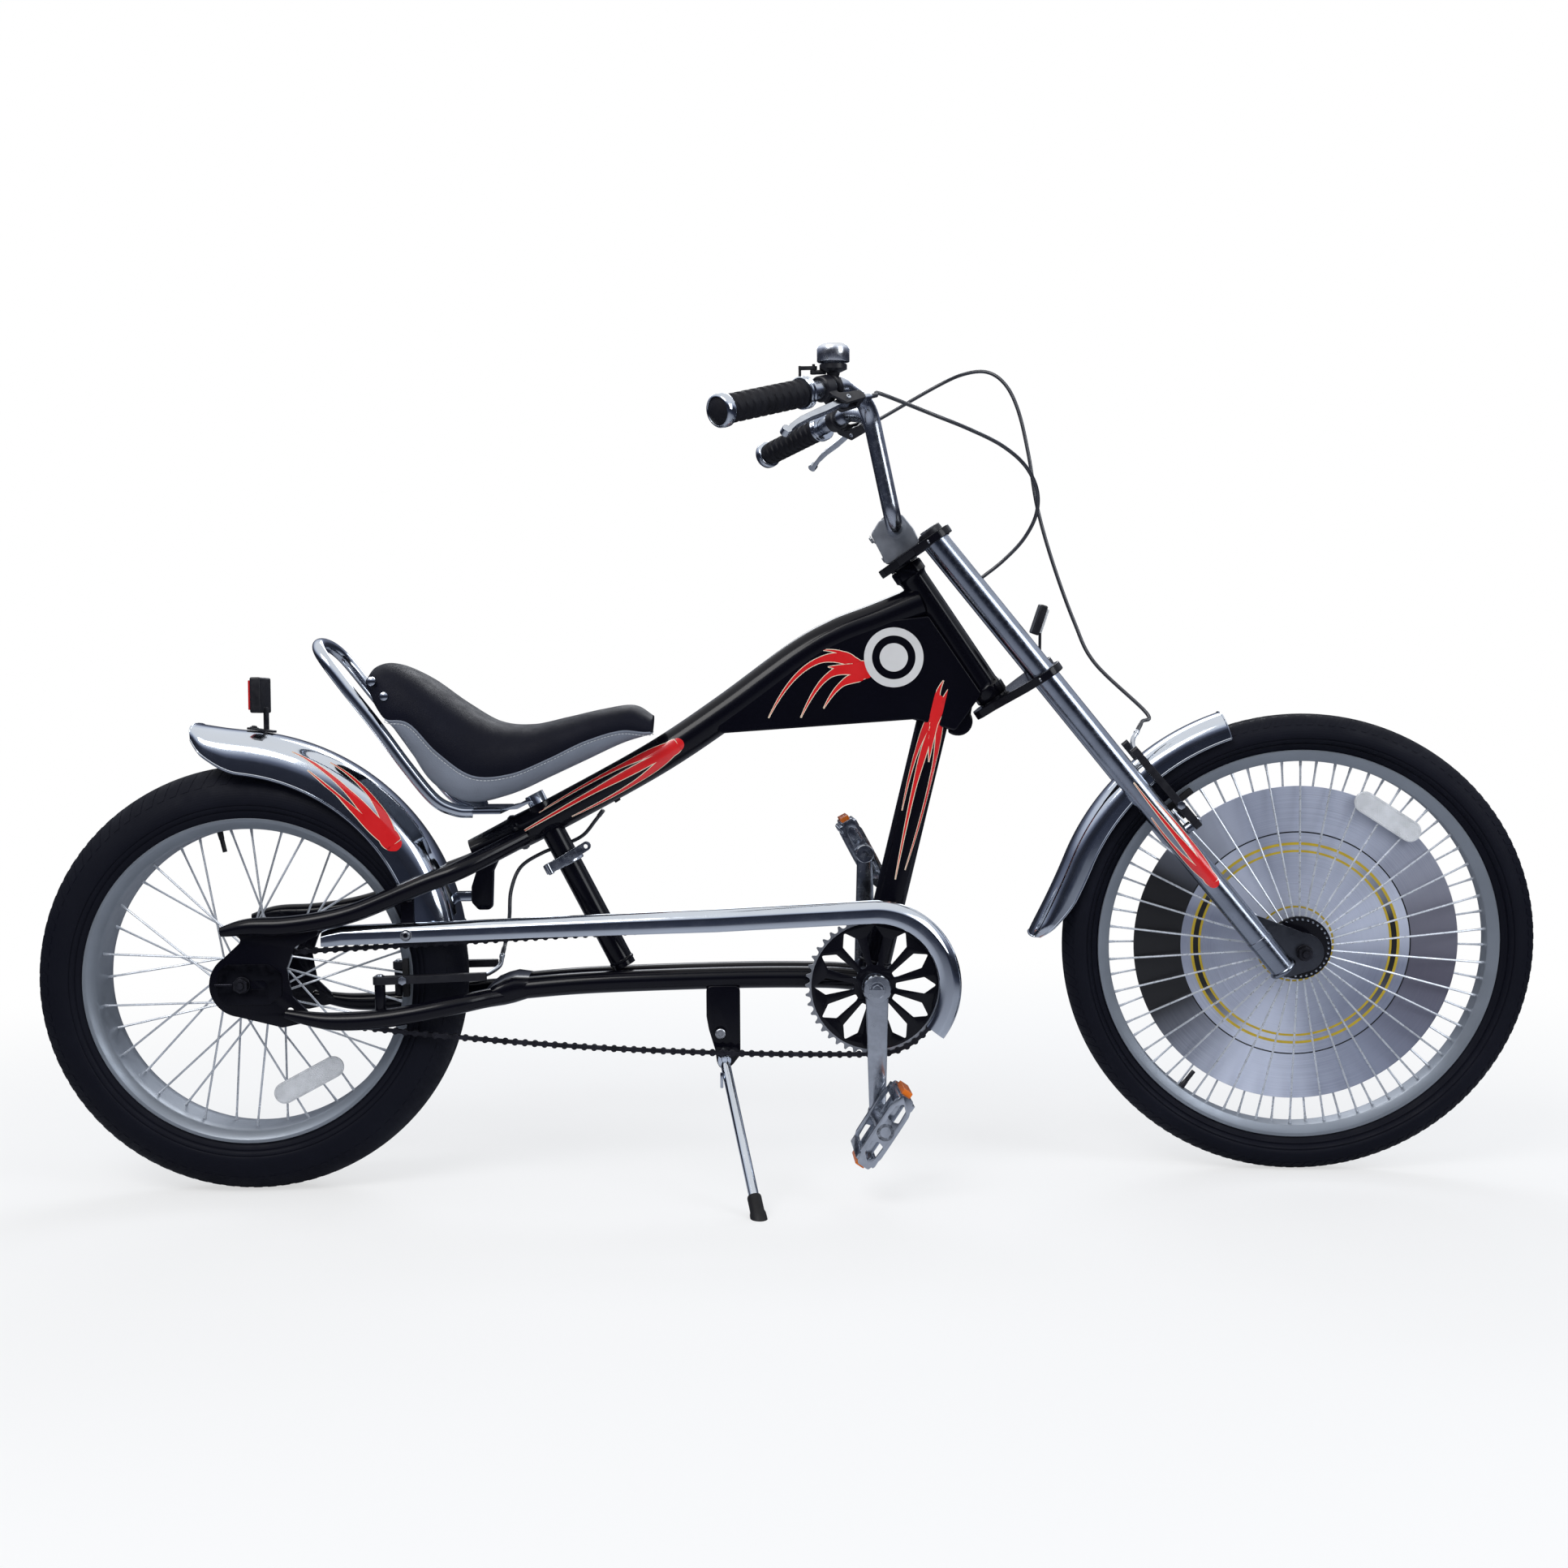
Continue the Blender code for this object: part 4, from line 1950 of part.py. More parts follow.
def build():
    stand = pivot("bicycle", (0, 0, 0))
    right_stay = make_stay("stay_right", RIGHT)
    frame_pieces = [
        make_backbone(),
        make_down_tube(),
        make_seat_tube(),
        make_lower_tubes(),
        right_stay,
        make_stay("stay_left", LEFT),
        make_guard(),
        make_chain(),
        make_rear_fender(),
        make_rear_reflector(),
        axle("rear_axle", REAR_AXLE, (REAR_HUB_END, DROPOUT_FACE), DROPOUT_FACE + DROPOUT_THICKNESS),
        make_rear_cable_lower(),
    ]
    clamp, clamp_centre, clamp_up, clamp_back = make_seat_clamp()
    carry(stand, *frame_pieces, clamp)

    clamp_pivot = pivot("clamp_pivot", clamp_centre + Y * CLAMP_LEVER_SIDE, stand)
    carry(clamp_pivot, make_clamp_lever(clamp_centre, clamp_up, clamp_back))

    seat = pivot("seat_slide", seat_line(0.262), stand)
    carry(seat, make_seat_post(), *make_saddle(), make_hoop())

    carry(pivot("rear_wheel_pivot", REAR_AXLE, stand), *make_rear_wheel())
    carry(pivot("freewheel_pivot", REAR_AXLE, stand), make_freewheel())
    cranks = pivot("crank_pivot", BRACKET, stand)
    carry(cranks, *make_cranks(), make_chainring())
    for name, side, tilt in (("pedal_right", RIGHT, PEDAL_TILT), ("pedal_left", LEFT, LEFT_PEDAL_TILT)):
        carry(pivot(name + "_pivot", pedal_centre(side), cranks), make_pedal(name, side, tilt))
    carry(pivot("stand_pivot", STAND_PIVOT, stand), make_kickstand())
    for name, side in (("rear_brake_right", RIGHT), ("rear_brake_left", LEFT)):
        spot = REAR_BRAKE.point(REAR_BRAKE.pivot, side * REAR_BRAKE.spread)
        noodle = REAR_NOODLE if side == RIGHT else None
        carry(pivot(name + "_pivot", spot, stand), make_brake_arm(name, REAR_BRAKE, side, noodle))

    steering = pivot("steering_pivot", HEAD, stand)
    lower_crown, upper_crown = make_crowns()
    carry(
        steering,
        lower_crown,
        upper_crown,
        make_stem(),
        make_leg("fork_leg_right", RIGHT),
        make_leg("fork_leg_left", LEFT),
        make_handlebar(),
        *make_bell(),
        make_front_fender(),
        make_front_reflector(),
        axle(
            "front_axle",
            FRONT_AXLE,
            (FRONT_HUB_END, FORK_PLATE_FACE),
            FORK_PLATE_FACE + FORK_PLATE_THICKNESS,
        ),
    )
    for name, side in (("right", RIGHT), ("left", LEFT)):
        carry(
            steering,
            make_grip("grip_" + name, side),
            make_grip_cap("grip_cap_" + name, side),
            make_lever_bracket("lever_bracket_" + name, side),
        )
        hinge = pivot("lever_pivot_" + name, on_grip(side, LEVER_PIVOT, LEVER_OFFSET), steering)
        carry(hinge, make_lever("brake_lever_" + name, side))
        brake_hinge = pivot(
            "front_brake_pivot_" + name,
            FRONT_BRAKE.point(FRONT_BRAKE.pivot, side * FRONT_BRAKE.spread),
            steering,
        )
        noodle = FRONT_NOODLE if side == RIGHT else None
        carry(brake_hinge, make_brake_arm("front_brake_" + name, FRONT_BRAKE, side, noodle))
    carry(pivot("front_wheel_pivot", FRONT_AXLE, steering), *make_front_wheel())
    carry(pivot("bell_pivot", bell_pivot(), steering), make_bell_lever())

    steering.rotation_mode = "QUATERNION"
    steering.rotation_quaternion = Matrix.Rotation(REST_STEER, 3, -STEER_UP).to_quaternion()
    carry(steering, make_front_cable(), make_rear_cable())
    set_down(stand)


def set_down(stand):
    """Leans the bicycle on its stand, then puts the middle of its base at the origin."""
    stand.rotation_euler = (LEAN, 0, 0)
    bpy.context.view_layer.update()
    corners = [
        piece.matrix_world @ vertex.co
        for piece in PARTS.objects
        if piece.type == "MESH"
        for vertex in piece.data.vertices
    ]
    low = [min(corner[i] for corner in corners) for i in range(3)]
    high = [max(corner[i] for corner in corners) for i in range(3)]
    stand.location = (-(low[0] + high[0]) / 2, -(low[1] + high[1]) / 2, -low[2])
    bpy.context.view_layer.update()


clear_scene()
PARTS = collection("chopper_bicycle")
CUTTERS = collection("cutters")
build()
bpy.data.collections.remove(CUTTERS)
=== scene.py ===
"""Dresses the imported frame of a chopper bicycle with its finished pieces, and lights it.

Pieces are drawn where they sit on an upright bicycle with its bars straight: X forward from the
rear axle, Y to the rider's left and Z up. They are then moved to where the frame stands at rest.
"""

import json
from math import acos, asin, atan2, ceil, copysign, cos, degrees, hypot, pi, radians, sin, sqrt, tan

import bmesh
import bpy
from bpy.props import FloatProperty, FloatVectorProperty, IntProperty, PointerProperty
from bpy.types import Operator, Panel, PropertyGroup
from mathutils import Matrix, Vector


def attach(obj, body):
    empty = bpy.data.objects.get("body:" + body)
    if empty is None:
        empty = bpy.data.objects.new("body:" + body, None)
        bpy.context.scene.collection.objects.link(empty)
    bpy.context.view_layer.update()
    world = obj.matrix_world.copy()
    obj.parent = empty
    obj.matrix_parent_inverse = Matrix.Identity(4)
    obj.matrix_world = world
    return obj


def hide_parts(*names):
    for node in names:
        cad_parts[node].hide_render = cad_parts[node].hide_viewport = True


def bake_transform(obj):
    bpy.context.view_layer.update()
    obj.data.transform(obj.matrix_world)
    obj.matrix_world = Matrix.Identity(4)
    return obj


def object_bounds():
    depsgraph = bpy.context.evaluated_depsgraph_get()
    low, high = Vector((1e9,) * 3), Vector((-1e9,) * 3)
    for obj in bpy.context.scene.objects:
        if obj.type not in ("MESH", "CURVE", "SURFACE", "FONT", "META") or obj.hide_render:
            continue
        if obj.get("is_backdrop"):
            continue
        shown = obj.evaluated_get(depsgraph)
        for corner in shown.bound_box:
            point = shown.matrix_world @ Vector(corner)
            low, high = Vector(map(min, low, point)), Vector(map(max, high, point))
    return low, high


bl_info = {"name": "Chopper Bicycle", "version": (1, 0, 0), "blender": (4, 5, 0),
    "location": "3D View > Sidebar > Chopper",
    "description": "Finished pieces, materials and a plain studio for a chopper bicycle",
    "category": "Object"}

bpy.ops.wm.read_factory_settings(use_empty=True)
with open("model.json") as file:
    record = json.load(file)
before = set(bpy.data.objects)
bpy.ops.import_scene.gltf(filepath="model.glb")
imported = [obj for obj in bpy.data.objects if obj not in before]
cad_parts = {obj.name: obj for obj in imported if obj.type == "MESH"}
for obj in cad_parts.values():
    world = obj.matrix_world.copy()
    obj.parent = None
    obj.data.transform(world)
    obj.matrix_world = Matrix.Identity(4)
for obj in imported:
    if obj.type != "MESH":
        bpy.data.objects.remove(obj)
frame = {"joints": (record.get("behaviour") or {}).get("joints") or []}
CAD_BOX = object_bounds()
JOINTS = {joint["name"]: joint for joint in frame["joints"]}

X = Vector((1, 0, 0))
Y = Vector((0, 1, 0))
Z = Vector((0, 0, 1))
RIGHT = -1
LEFT = 1
SIDES = {RIGHT: "right", LEFT: "left"}

# Sizes shared with the frame
REAR_RADIUS = 0.277
FRONT_RADIUS = 0.307
REAR_AXLE = Vector((0, 0, REAR_RADIUS))
FRONT_AXLE = Vector((1.368, 0, FRONT_RADIUS))
REAR_TYRE_HALF = 0.046
FRONT_TYRE_HALF = 0.027
REAR_RIM = {"radius": 0.2095, "half": 0.041, "depth": 0.0145}
FRONT_RIM = {"radius": 0.26, "half": 0.016, "depth": 0.015}
BRACKET = Vector((0.8042, 0, 0.263))
SLANT_TOP = Vector((0.8935, 0, 0.63))
SLANT_RADIUS = 0.021
TANK_HALF = 0.02
SEAT_TUBE_RADIUS = 0.0155
POST_RADIUS = 0.0127
SHEET_METAL = 0.0015
STAND_LEAN = radians(1.7)
HEAD = Vector((0.9096, 0, 0.7219))
RAKE = radians(34)
STEER_UP = Vector((-sin(RAKE), 0, cos(RAKE)))
STEER_FORWARD = Vector((cos(RAKE), 0, sin(RAKE)))
REST_STEER = radians(8)
LEG_RADIUS = 0.016
LEG_SPREAD = 0.06
LEG_TOP_OFFSET = 0.049
HEAD_TUBE_HALF = 0.092
HEAD_CUP_LENGTH = 0.012
CROWN_THICKNESS = 0.011
CROWN_UP = HEAD_TUBE_HALF + HEAD_CUP_LENGTH + 0.0025 + CROWN_THICKNESS / 2
BAR_RADIUS = 0.011
BAR_FORWARD = 0.0167
BAR_UP = 0.1529
GRIP_LENGTH = 0.136
GRIP_CAP_LENGTH = 0.013
LEVER_DROOP = radians(42)
PITCH = 0.0127
CHAIN_PLANE = -0.056
CHAIN_SAG = 0.016
RING_TEETH = 44
COG_TEETH = 18
CRANK_LENGTH = 0.16
# The play between pieces that don't touch
GAP = 0.0003


def settled():
    """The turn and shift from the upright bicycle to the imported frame, read from its rear axle."""
    spin = JOINTS["rear_wheel_spin"]
    lean = atan2(spin["axis"][2], spin["axis"][1])
    return Matrix.Translation(spin["pos_m"]) @ Matrix.Rotation(lean, 4, "X") @ Matrix.Translation(-REAR_AXLE)


BIKE = settled()
TURNED = Matrix.Translation(HEAD) @ Matrix.Rotation(REST_STEER, 4, -STEER_UP) @ Matrix.Translation(-HEAD)
STEERED = BIKE @ TURNED
STEERING_BODIES = ("steering", "front_wheel", "front_brake_right", "front_brake_left", "brake_lever_right",
    "brake_lever_left", "bell_lever")


def place_of(body):
    return STEERED if body in STEERING_BODIES else BIKE


# Frames and outlines

def frame_of(origin, x_axis, y_axis):
    """The matrix whose X and Y run along the two directions given."""
    x = Vector(x_axis).normalized()
    z = x.cross(Vector(y_axis)).normalized()
    y = z.cross(x)
    return Matrix.Translation(origin) @ Matrix((x, y, z)).transposed().to_4x4()


def side_frame(y):
    """Local X forward, local Y up, at one distance to the side."""
    return frame_of((0, y, 0), X, Z)


def axle_frame(centre):
    """Local Z along an axle, towards the rider's left."""
    return frame_of(centre, X, -Z)


def along_frame(origin, direction, beside=Y):
    """Local Z along a direction."""
    z = Vector(direction).normalized()
    if abs(z.dot(beside)) > 0.95:
        beside = X
    x = Vector(beside).cross(z).normalized()
    return frame_of(origin, x, z.cross(x))


def circle(centre, radius, steps, turn=0.0):
    angles = [turn + 2 * pi * i / steps for i in range(steps)]
    return [(centre[0] + radius * cos(a), centre[1] + radius * sin(a)) for a in angles]


def arc(centre, radius, start, end, steps):
    angles = [radians(start + (end - start) * i / steps) for i in range(steps + 1)]
    return [(centre[0] + radius * cos(a), centre[1] + radius * sin(a)) for a in angles]


def capsule(a, a_radius, b, b_radius, steps=12):
    """The outline of a strap round two circles."""
    span = Vector(b) - Vector(a)
    heading = degrees(atan2(span.y, span.x))
    lean = degrees(asin((a_radius - b_radius) / span.length))
    first = arc(a, a_radius, heading + 90 - lean, heading + 270 + lean, steps)
    return first + arc(b, b_radius, heading - 90 + lean, heading + 90 - lean, steps)


def smooth(points, per_span, closed=False):
    """Points of a smooth curve through all the points given."""
    places = [Vector(p) for p in points]
    if closed:
        ends = [places[-1]] + places + places[:2]
    else:
        ends = [2 * places[0] - places[1]] + places + [2 * places[-1] - places[-2]]
    result = []
    for a, b, c, d in zip(ends, ends[1:], ends[2:], ends[3:]):
        for i in range(per_span):
            t = i / per_span
            bend = (2 * a - 5 * b + 4 * c - d) * t**2 + (3 * b - a - 3 * c + d) * t**3
            result.append(0.5 * (2 * b + (c - a) * t + bend))
    return result if closed else result + [places[-1]]


def rounded(points, radii, steps=10):
    """A path of straight runs with an arc of each radius at its inner corners."""
    places = [Vector(p) for p in points]
    path = [places[0]]
    for before, corner, after, radius in zip(places, places[1:], places[2:], radii):
        back = (before - corner).normalized()
        ahead = (after - corner).normalized()
        half = acos(max(-1, min(1, back.dot(ahead)))) / 2
        reach = radius / tan(half)
        middle = corner + (back + ahead).normalized() * radius / sin(half)
        first = corner + back * reach - middle
        last = corner + ahead * reach - middle
        swing = first.angle(last)
        for i in range(steps + 1):
            t = i / steps
            path.append(middle + (first * sin((1 - t) * swing) + last * sin(t * swing)) / sin(swing))
    return path + [places[-1]]


def softened(outline, radius, steps=4):
    """A flat closed outline with its corners rounded, as far as its sides leave room."""
    result = []
    count = len(outline)
    for i in range(count):
        before, corner, after = (Vector(outline[j % count][:2]) for j in (i - 1, i, i + 1))
        back, ahead = before - corner, after - corner
        turn = pi - back.angle(ahead, 0.0)
        if turn < radians(8):
            result.append(tuple(corner))
            continue
        reach = min(radius * tan(turn / 2), back.length * 0.45, ahead.length * 0.45)
        first = corner + back.normalized() * reach
        last = corner + ahead.normalized() * reach
        for k in range(steps + 1):
            t = k / steps
            result.append(tuple(first * (1 - t) ** 2 + corner * 2 * t * (1 - t) + last * t**2))
    return result


def mirrored(profile):
    """The same section on the other side, run back from its far end."""
    return [(r, -h) for r, h in reversed(profile)]


# Shapes

def swell(value, power):
    """A cosine or sine raised to a power with its sign kept, for rounded squares."""
    return copysign(abs(value) ** power, value)


def ray(angle):
    """The way in the bicycle's plane at an angle in degrees up from straight ahead."""
    return Vector((cos(radians(angle)), 0, sin(radians(angle))))


def linked(name, data):
    """A new object that shows the data, in the scene."""
    thing = bpy.data.objects.new(name, data)
    bpy.context.collection.objects.link(thing)
    return thing


def baked(part, name):
    """The mesh of a bmesh, which is then freed."""
    mesh = bpy.data.meshes.new(name)
    part.to_mesh(mesh)
    part.free()
    return mesh


def filled(outlines, thickness=0.0):
    """Flat outlines with holes, given half a thickness each way."""
    curve = bpy.data.curves.new("outline", "CURVE")
    curve.dimensions = "2D"
    curve.fill_mode = "BOTH"
    curve.extrude = thickness / 2
    for outline in outlines:
        spline = curve.splines.new("POLY")
        spline.points.add(len(outline) - 1)
        for spot, place in zip(spline.points, outline):
            spot.co = (place[0], place[1], 0, 1)
        spline.use_cyclic_u = True
    part = bmesh.new()
    part.from_mesh(evaluated(linked("outline", curve)))
    bmesh.ops.remove_doubles(part, verts=part.verts, dist=1e-6)
    return part


class Shape:
    """Closed shells gathered into one piece, with lengths in metres on its UV map."""

    def __init__(self):
        self.mesh = bmesh.new()
        self.uv = self.mesh.loops.layers.uv.new("UVMap")

    def skin(self, rings, closed=False, around=True, caps=True):
        """A skin over rings of points. The UV map runs round each ring and along the rings."""
        mesh = self.mesh
        rows = [[mesh.verts.new(point) for point in ring] for ring in rings]
        size = len(rows[0])
        along = [0.0]
        for here, there in zip(rings, rings[1:]):
            along.append(along[-1] + (Vector(there[0]) - Vector(here[0])).length)
        across = [0.0]
        middle = rings[len(rings) // 2]
        for i in range(size):
            across.append(across[-1] + (Vector(middle[(i + 1) % size]) - Vector(middle[i])).length)
        pairs = [(j, j + 1) for j in range(len(rows) - 1)]
        if closed:
            pairs.append((len(rows) - 1, 0))
            along.append(along[-1] + (Vector(rings[0][0]) - Vector(rings[-1][0])).length)
        for j, k in pairs:
            for i in range(size if around else size - 1):
                n = (i + 1) % size
                face = mesh.faces.new((rows[j][i], rows[j][n], rows[k][n], rows[k][i]))
                face.smooth = True
                spots = ((i, j), (i + 1, j), (i + 1, j + 1), (i, j + 1))
                for loop, (u, v) in zip(face.loops, spots):
                    loop[self.uv].uv = (across[u], along[v])
        if caps and around and not closed:
            mesh.faces.new(list(reversed(rows[0])))
            mesh.faces.new(rows[-1])
        return self

    def sweep(self, points, radius, sides=24, radii=None, closed=False):
        """A round tube along a path, whose radius may change by the shares given."""
        places = [Vector(p) for p in points]
        count = len(places)
        sizes = radii or [1.0] * count
        tangents = []
        for i in range(count):
            before = places[i - 1] if i or closed else places[0]
            after = places[(i + 1) % count] if i < count - 1 or closed else places[-1]
            tangents.append((after - before).normalized())
        side = tangents[0].orthogonal().normalized()
        rings = []
        for i, (place, way) in enumerate(zip(places, tangents)):
            side = (side - way * side.dot(way)).normalized()
            other = way.cross(side)
            size = radius * sizes[i]
            angles = [2 * pi * k / sides for k in range(sides)]
            rings.append([place + (side * cos(a) + other * sin(a)) * size for a in angles])
        return self.skin(rings, closed)

    def revolve(self, profile, matrix, steps=96, ring=False):
        """A profile of radius and height turned about the matrix's Z."""
        mesh = self.mesh
        matrix = Matrix(matrix)
        count = len(profile)
        lengths = [0.0]
        for i in range(count):
            here, there = Vector(profile[i]), Vector(profile[(i + 1) % count])
            lengths.append(lengths[-1] + (there - here).length)
        rows = []
        for radius, height in profile:
            if radius < 1e-7:
                rows.append([mesh.verts.new(matrix @ Vector((0, 0, height)))] * steps)
            else:
                spots = circle((0, 0), radius, steps)
                rows.append([mesh.verts.new(matrix @ Vector((x, y, height))) for x, y in spots])
        for i in range(count if ring else count - 1):
            here, there = rows[i], rows[(i + 1) % count]
            for k in range(steps):
                n = (k + 1) % steps
                corners = {}
                for vert, spot in ((here[k], (k, i)), (there[k], (k, i + 1)), (there[n], (k + 1, i + 1)),
                        (here[n], (k + 1, i))):
                    corners.setdefault(vert, spot)
                if len(corners) > 2:
                    face = mesh.faces.new(list(corners))
                    face.smooth = True
                    for loop, (u, v) in zip(face.loops, corners.values()):
                        loop[self.uv].uv = (u / steps, lengths[v])
        return self

    def slab(self, outlines, thickness, matrix, bevel=0.0006, segments=2):
        """A flat outline with holes, given half its thickness each way and softened edges."""
        part = filled(outlines, thickness)
        bmesh.ops.dissolve_limit(part, angle_limit=radians(0.5), verts=part.verts, edges=part.edges)
        return self.add(part, matrix, bevel, segments)

    def box(self, size, matrix, bevel=0.0006, segments=2):
        part = bmesh.new()
        bmesh.ops.create_cube(part, size=1, matrix=Matrix.Diagonal((*size, 1)))
        return self.add(part, matrix, bevel, segments)

    def rod(self, start, end, radius, sides=24, tip=None, bevel=0.0004):
        """A straight round bar between two points."""
        start, end = Vector(start), Vector(end)
        part = bmesh.new()
        bmesh.ops.create_cone(part, cap_ends=True, segments=sides, radius1=radius,
            radius2=radius if tip is None else tip, depth=(end - start).length)
        return self.add(part, along_frame((start + end) / 2, end - start), bevel, 2)

    def bolt(self, seat, way, radius, height, washer=0.0):
        """A domed socket-head bolt that stands on a seat."""
        seat, way = Vector(seat), Vector(way).normalized()
        place = along_frame(seat, way)
        if washer:
            self.revolve(ring_profile(radius * 0.5, washer, 0, 0.001), place, 24, ring=True)
        shares = ((1, 0), (1, 0.55), (0.93, 0.82), (0.74, 1), (0.5, 1), (0.48, 0.45), (0, 0.45))
        return self.revolve([(radius * r, height * h) for r, h in shares], place, 18)

    def nut(self, seat, way, across, height, bore=0.0):
        """A hexagon nut with a chamfered face."""
        place = along_frame(Vector(seat) + Vector(way).normalized() * height / 2, way)
        outlines = [circle((0, 0), across / 2 / cos(pi / 6), 6)]
        if bore:
            outlines.append(circle((0, 0), bore, 18))
        return self.slab(outlines, height, place, height * 0.12)

    def add(self, part, matrix, bevel=0.0, segments=2):
        """Takes in another mesh, with its sharp edges rounded, at a place."""
        bmesh.ops.recalc_face_normals(part, faces=part.faces)
        if bevel:
            part.normal_update()
            sharp = [e for e in part.edges if len(e.link_faces) == 2 and e.calc_face_angle(0) > radians(28)]
            bmesh.ops.bevel(part, geom=sharp, offset=bevel, offset_type="OFFSET", segments=segments,
                profile=0.6, affect="EDGES", clamp_overlap=True, miter_outer="ARC")
        bmesh.ops.transform(part, matrix=Matrix(matrix), verts=part.verts)
        if Matrix(matrix).determinant() < 0:
            bmesh.ops.reverse_faces(part, faces=part.faces)
        mesh = baked(part, "part")
        self.mesh.from_mesh(mesh)
        bpy.data.meshes.remove(mesh)
        return self

    def object(self, name, sharp=35):
        bmesh.ops.recalc_face_normals(self.mesh, faces=self.mesh.faces)
        mesh = baked(self.mesh, name)
        mesh.shade_smooth()
        mesh.set_sharp_from_angle(angle=radians(sharp))
        return linked(name, mesh)

    def dress(self, name, body, finish, *nodes, sharp=35, slot=None):
        """Makes the piece, moves it to the frame and gives it its finish."""
        piece = self.object(name, sharp)
        piece.data.transform(place_of(body))
        return dress(piece, body, finish, *nodes, slot=slot)


def dress(piece, body, finish, *nodes, slot=None):
    """Gives a piece that is in place its finish, its body and the nodes that it stands for."""
    piece.data.materials.clear()
    piece.data.materials.append(finish_of(finish))
    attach(piece, body)
    if nodes:
        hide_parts(*nodes)
    return piece


def evaluated(source):
    """The finished mesh of an object, which is then removed."""
    bpy.context.view_layer.update()
    graph = bpy.context.evaluated_depsgraph_get()
    mesh = bpy.data.meshes.new_from_object(source.evaluated_get(graph), depsgraph=graph)
    bpy.data.objects.remove(source, do_unlink=True)
    return mesh


def ring_profile(inner, outer, low, high, soft=0.0003):
    """The section of a washer or collar, with its outer corners taken off."""
    return [(inner, low), (outer - soft, low), (outer, low + soft), (outer, high - soft),
        (outer - soft, high), (inner, high)]


# Materials

class Nodes:
    """Adds nodes to a tree. Inputs are given in order or by name, as values or as other outputs."""

    def __init__(self, tree):
        self.tree = tree

    def give(self, socket, value):
        if isinstance(value, bpy.types.NodeSocket):
            self.tree.links.new(value, socket)
        else:
            socket.default_value = value

    def node(self, kind, *inputs, **values):
        made = self.tree.nodes.new(kind if "Node" in kind else "ShaderNode" + kind)
        for key, value in values.items():
            if hasattr(made, key):
                setattr(made, key, value)
            else:
                self.give(made.inputs[key.replace("_", " ")], value)
        for socket, value in zip(made.inputs, inputs):
            self.give(socket, value)
        return made

    def out(self, kind, *inputs, **values):
        return self.node(kind, *inputs, **values).outputs[0]

    def math(self, operation, *inputs):
        return self.out("Math", *inputs, operation=operation)

    def ramp(self, share, stops):
        """A run of colours, each with its place."""
        made = self.node("ValToRGB", share)
        elements = made.color_ramp.elements
        elements[0].color = (*stops[0][1], 1)
        elements[1].color = (*stops[-1][1], 1)
        for spot, colour in stops[1:-1]:
            elements.new(spot).color = (*colour, 1)
        return made.outputs[0]


class Look(Nodes):
    """Builds one material's nodes. Every pattern reads Object coordinates or the piece's own UV map."""

    def __init__(self, name, colour, roughness, metal=0.0, **sockets):
        self.material = bpy.data.materials.new(name)
        self.material.use_nodes = True
        super().__init__(self.material.node_tree)
        self.shader = self.tree.nodes["Principled BSDF"]
        self.material.diffuse_color = (*colour, 1)
        values = {"Base_Color": (*colour, 1), "Roughness": roughness, "Metallic": metal, **sockets}
        for socket, value in values.items():
            self.give(self.shader.inputs[socket.replace("_", " ")], value)
        coordinates = self.node("TexCoord").outputs
        self.place = coordinates["Object"]
        self.flat = coordinates["UV"]

    def noise(self, scale, detail=4.0, rough=0.55):
        return self.node("TexNoise", self.place, Scale=scale, Detail=detail, Roughness=rough).outputs["Fac"]

    def cells(self, scale, source, feature, randomness=1.0):
        made = self.node("TexVoronoi", source, feature=feature, Scale=scale, Randomness=randomness)
        return made.outputs["Distance"]

    def within(self, value, low, high, out_low=0.0, out_high=1.0):
        made = self.node("MapRange", value, From_Min=low, From_Max=high, To_Min=out_low, To_Max=out_high)
        return made.outputs["Result"]

    def mix(self, share, first, second):
        made = self.node("Mix", share, data_type="RGBA")
        for socket, value in ((made.inputs[6], first), (made.inputs[7], second)):
            self.give(socket, value if isinstance(value, bpy.types.NodeSocket) else (*value, 1))
        return made.outputs[2]

    def weather(self, colour, depth=0.12, scale=9.0):
        """Slow changes of tone over a surface."""
        darker = [value * (1 - depth) for value in colour]
        lighter = [min(1.0, value * (1 + depth)) for value in colour]
        self.paint(self.mix(self.within(self.noise(scale, 3.0), 0.35, 0.65), darker, lighter))

    def wear(self, low, high, scale, detail=4.0):
        """Roughness that drifts over a surface between two values."""
        self.rough(self.within(self.noise(scale, detail), 0.3, 0.7, low, high))

    def rings(self, pitch):
        """Fine ridges at even steps along the piece's own length."""
        along = self.node("SeparateXYZ", self.flat).outputs[1]
        return self.math("SINE", self.math("MULTIPLY", along, 2 * pi / pitch))

    def paint(self, link):
        self.give(self.shader.inputs["Base Color"], link)

    def rough(self, link):
        self.give(self.shader.inputs["Roughness"], link)

    def bump(self, height, strength, distance):
        """Raises the surface, and gives the finished material."""
        made = self.node("Bump", Strength=strength, Distance=distance, Height=height)
        self.give(self.shader.inputs["Normal"], made.outputs["Normal"])
        return self.material

    def polar(self, centre, body):
        """Distance from an axle and the angle about it, each as a socket."""
        place = place_of(body) @ axle_frame(centre)
        local = self.out("Mapping", self.place, vector_type="TEXTURE", Location=place.translation,
            Rotation=place.to_euler())
        across, up, _ = self.node("SeparateXYZ", local).outputs
        squared = self.math("ADD", self.math("MULTIPLY", across, across), self.math("MULTIPLY", up, up))
        return self.math("SQRT", squared), self.math("ARCTAN2", up, across)


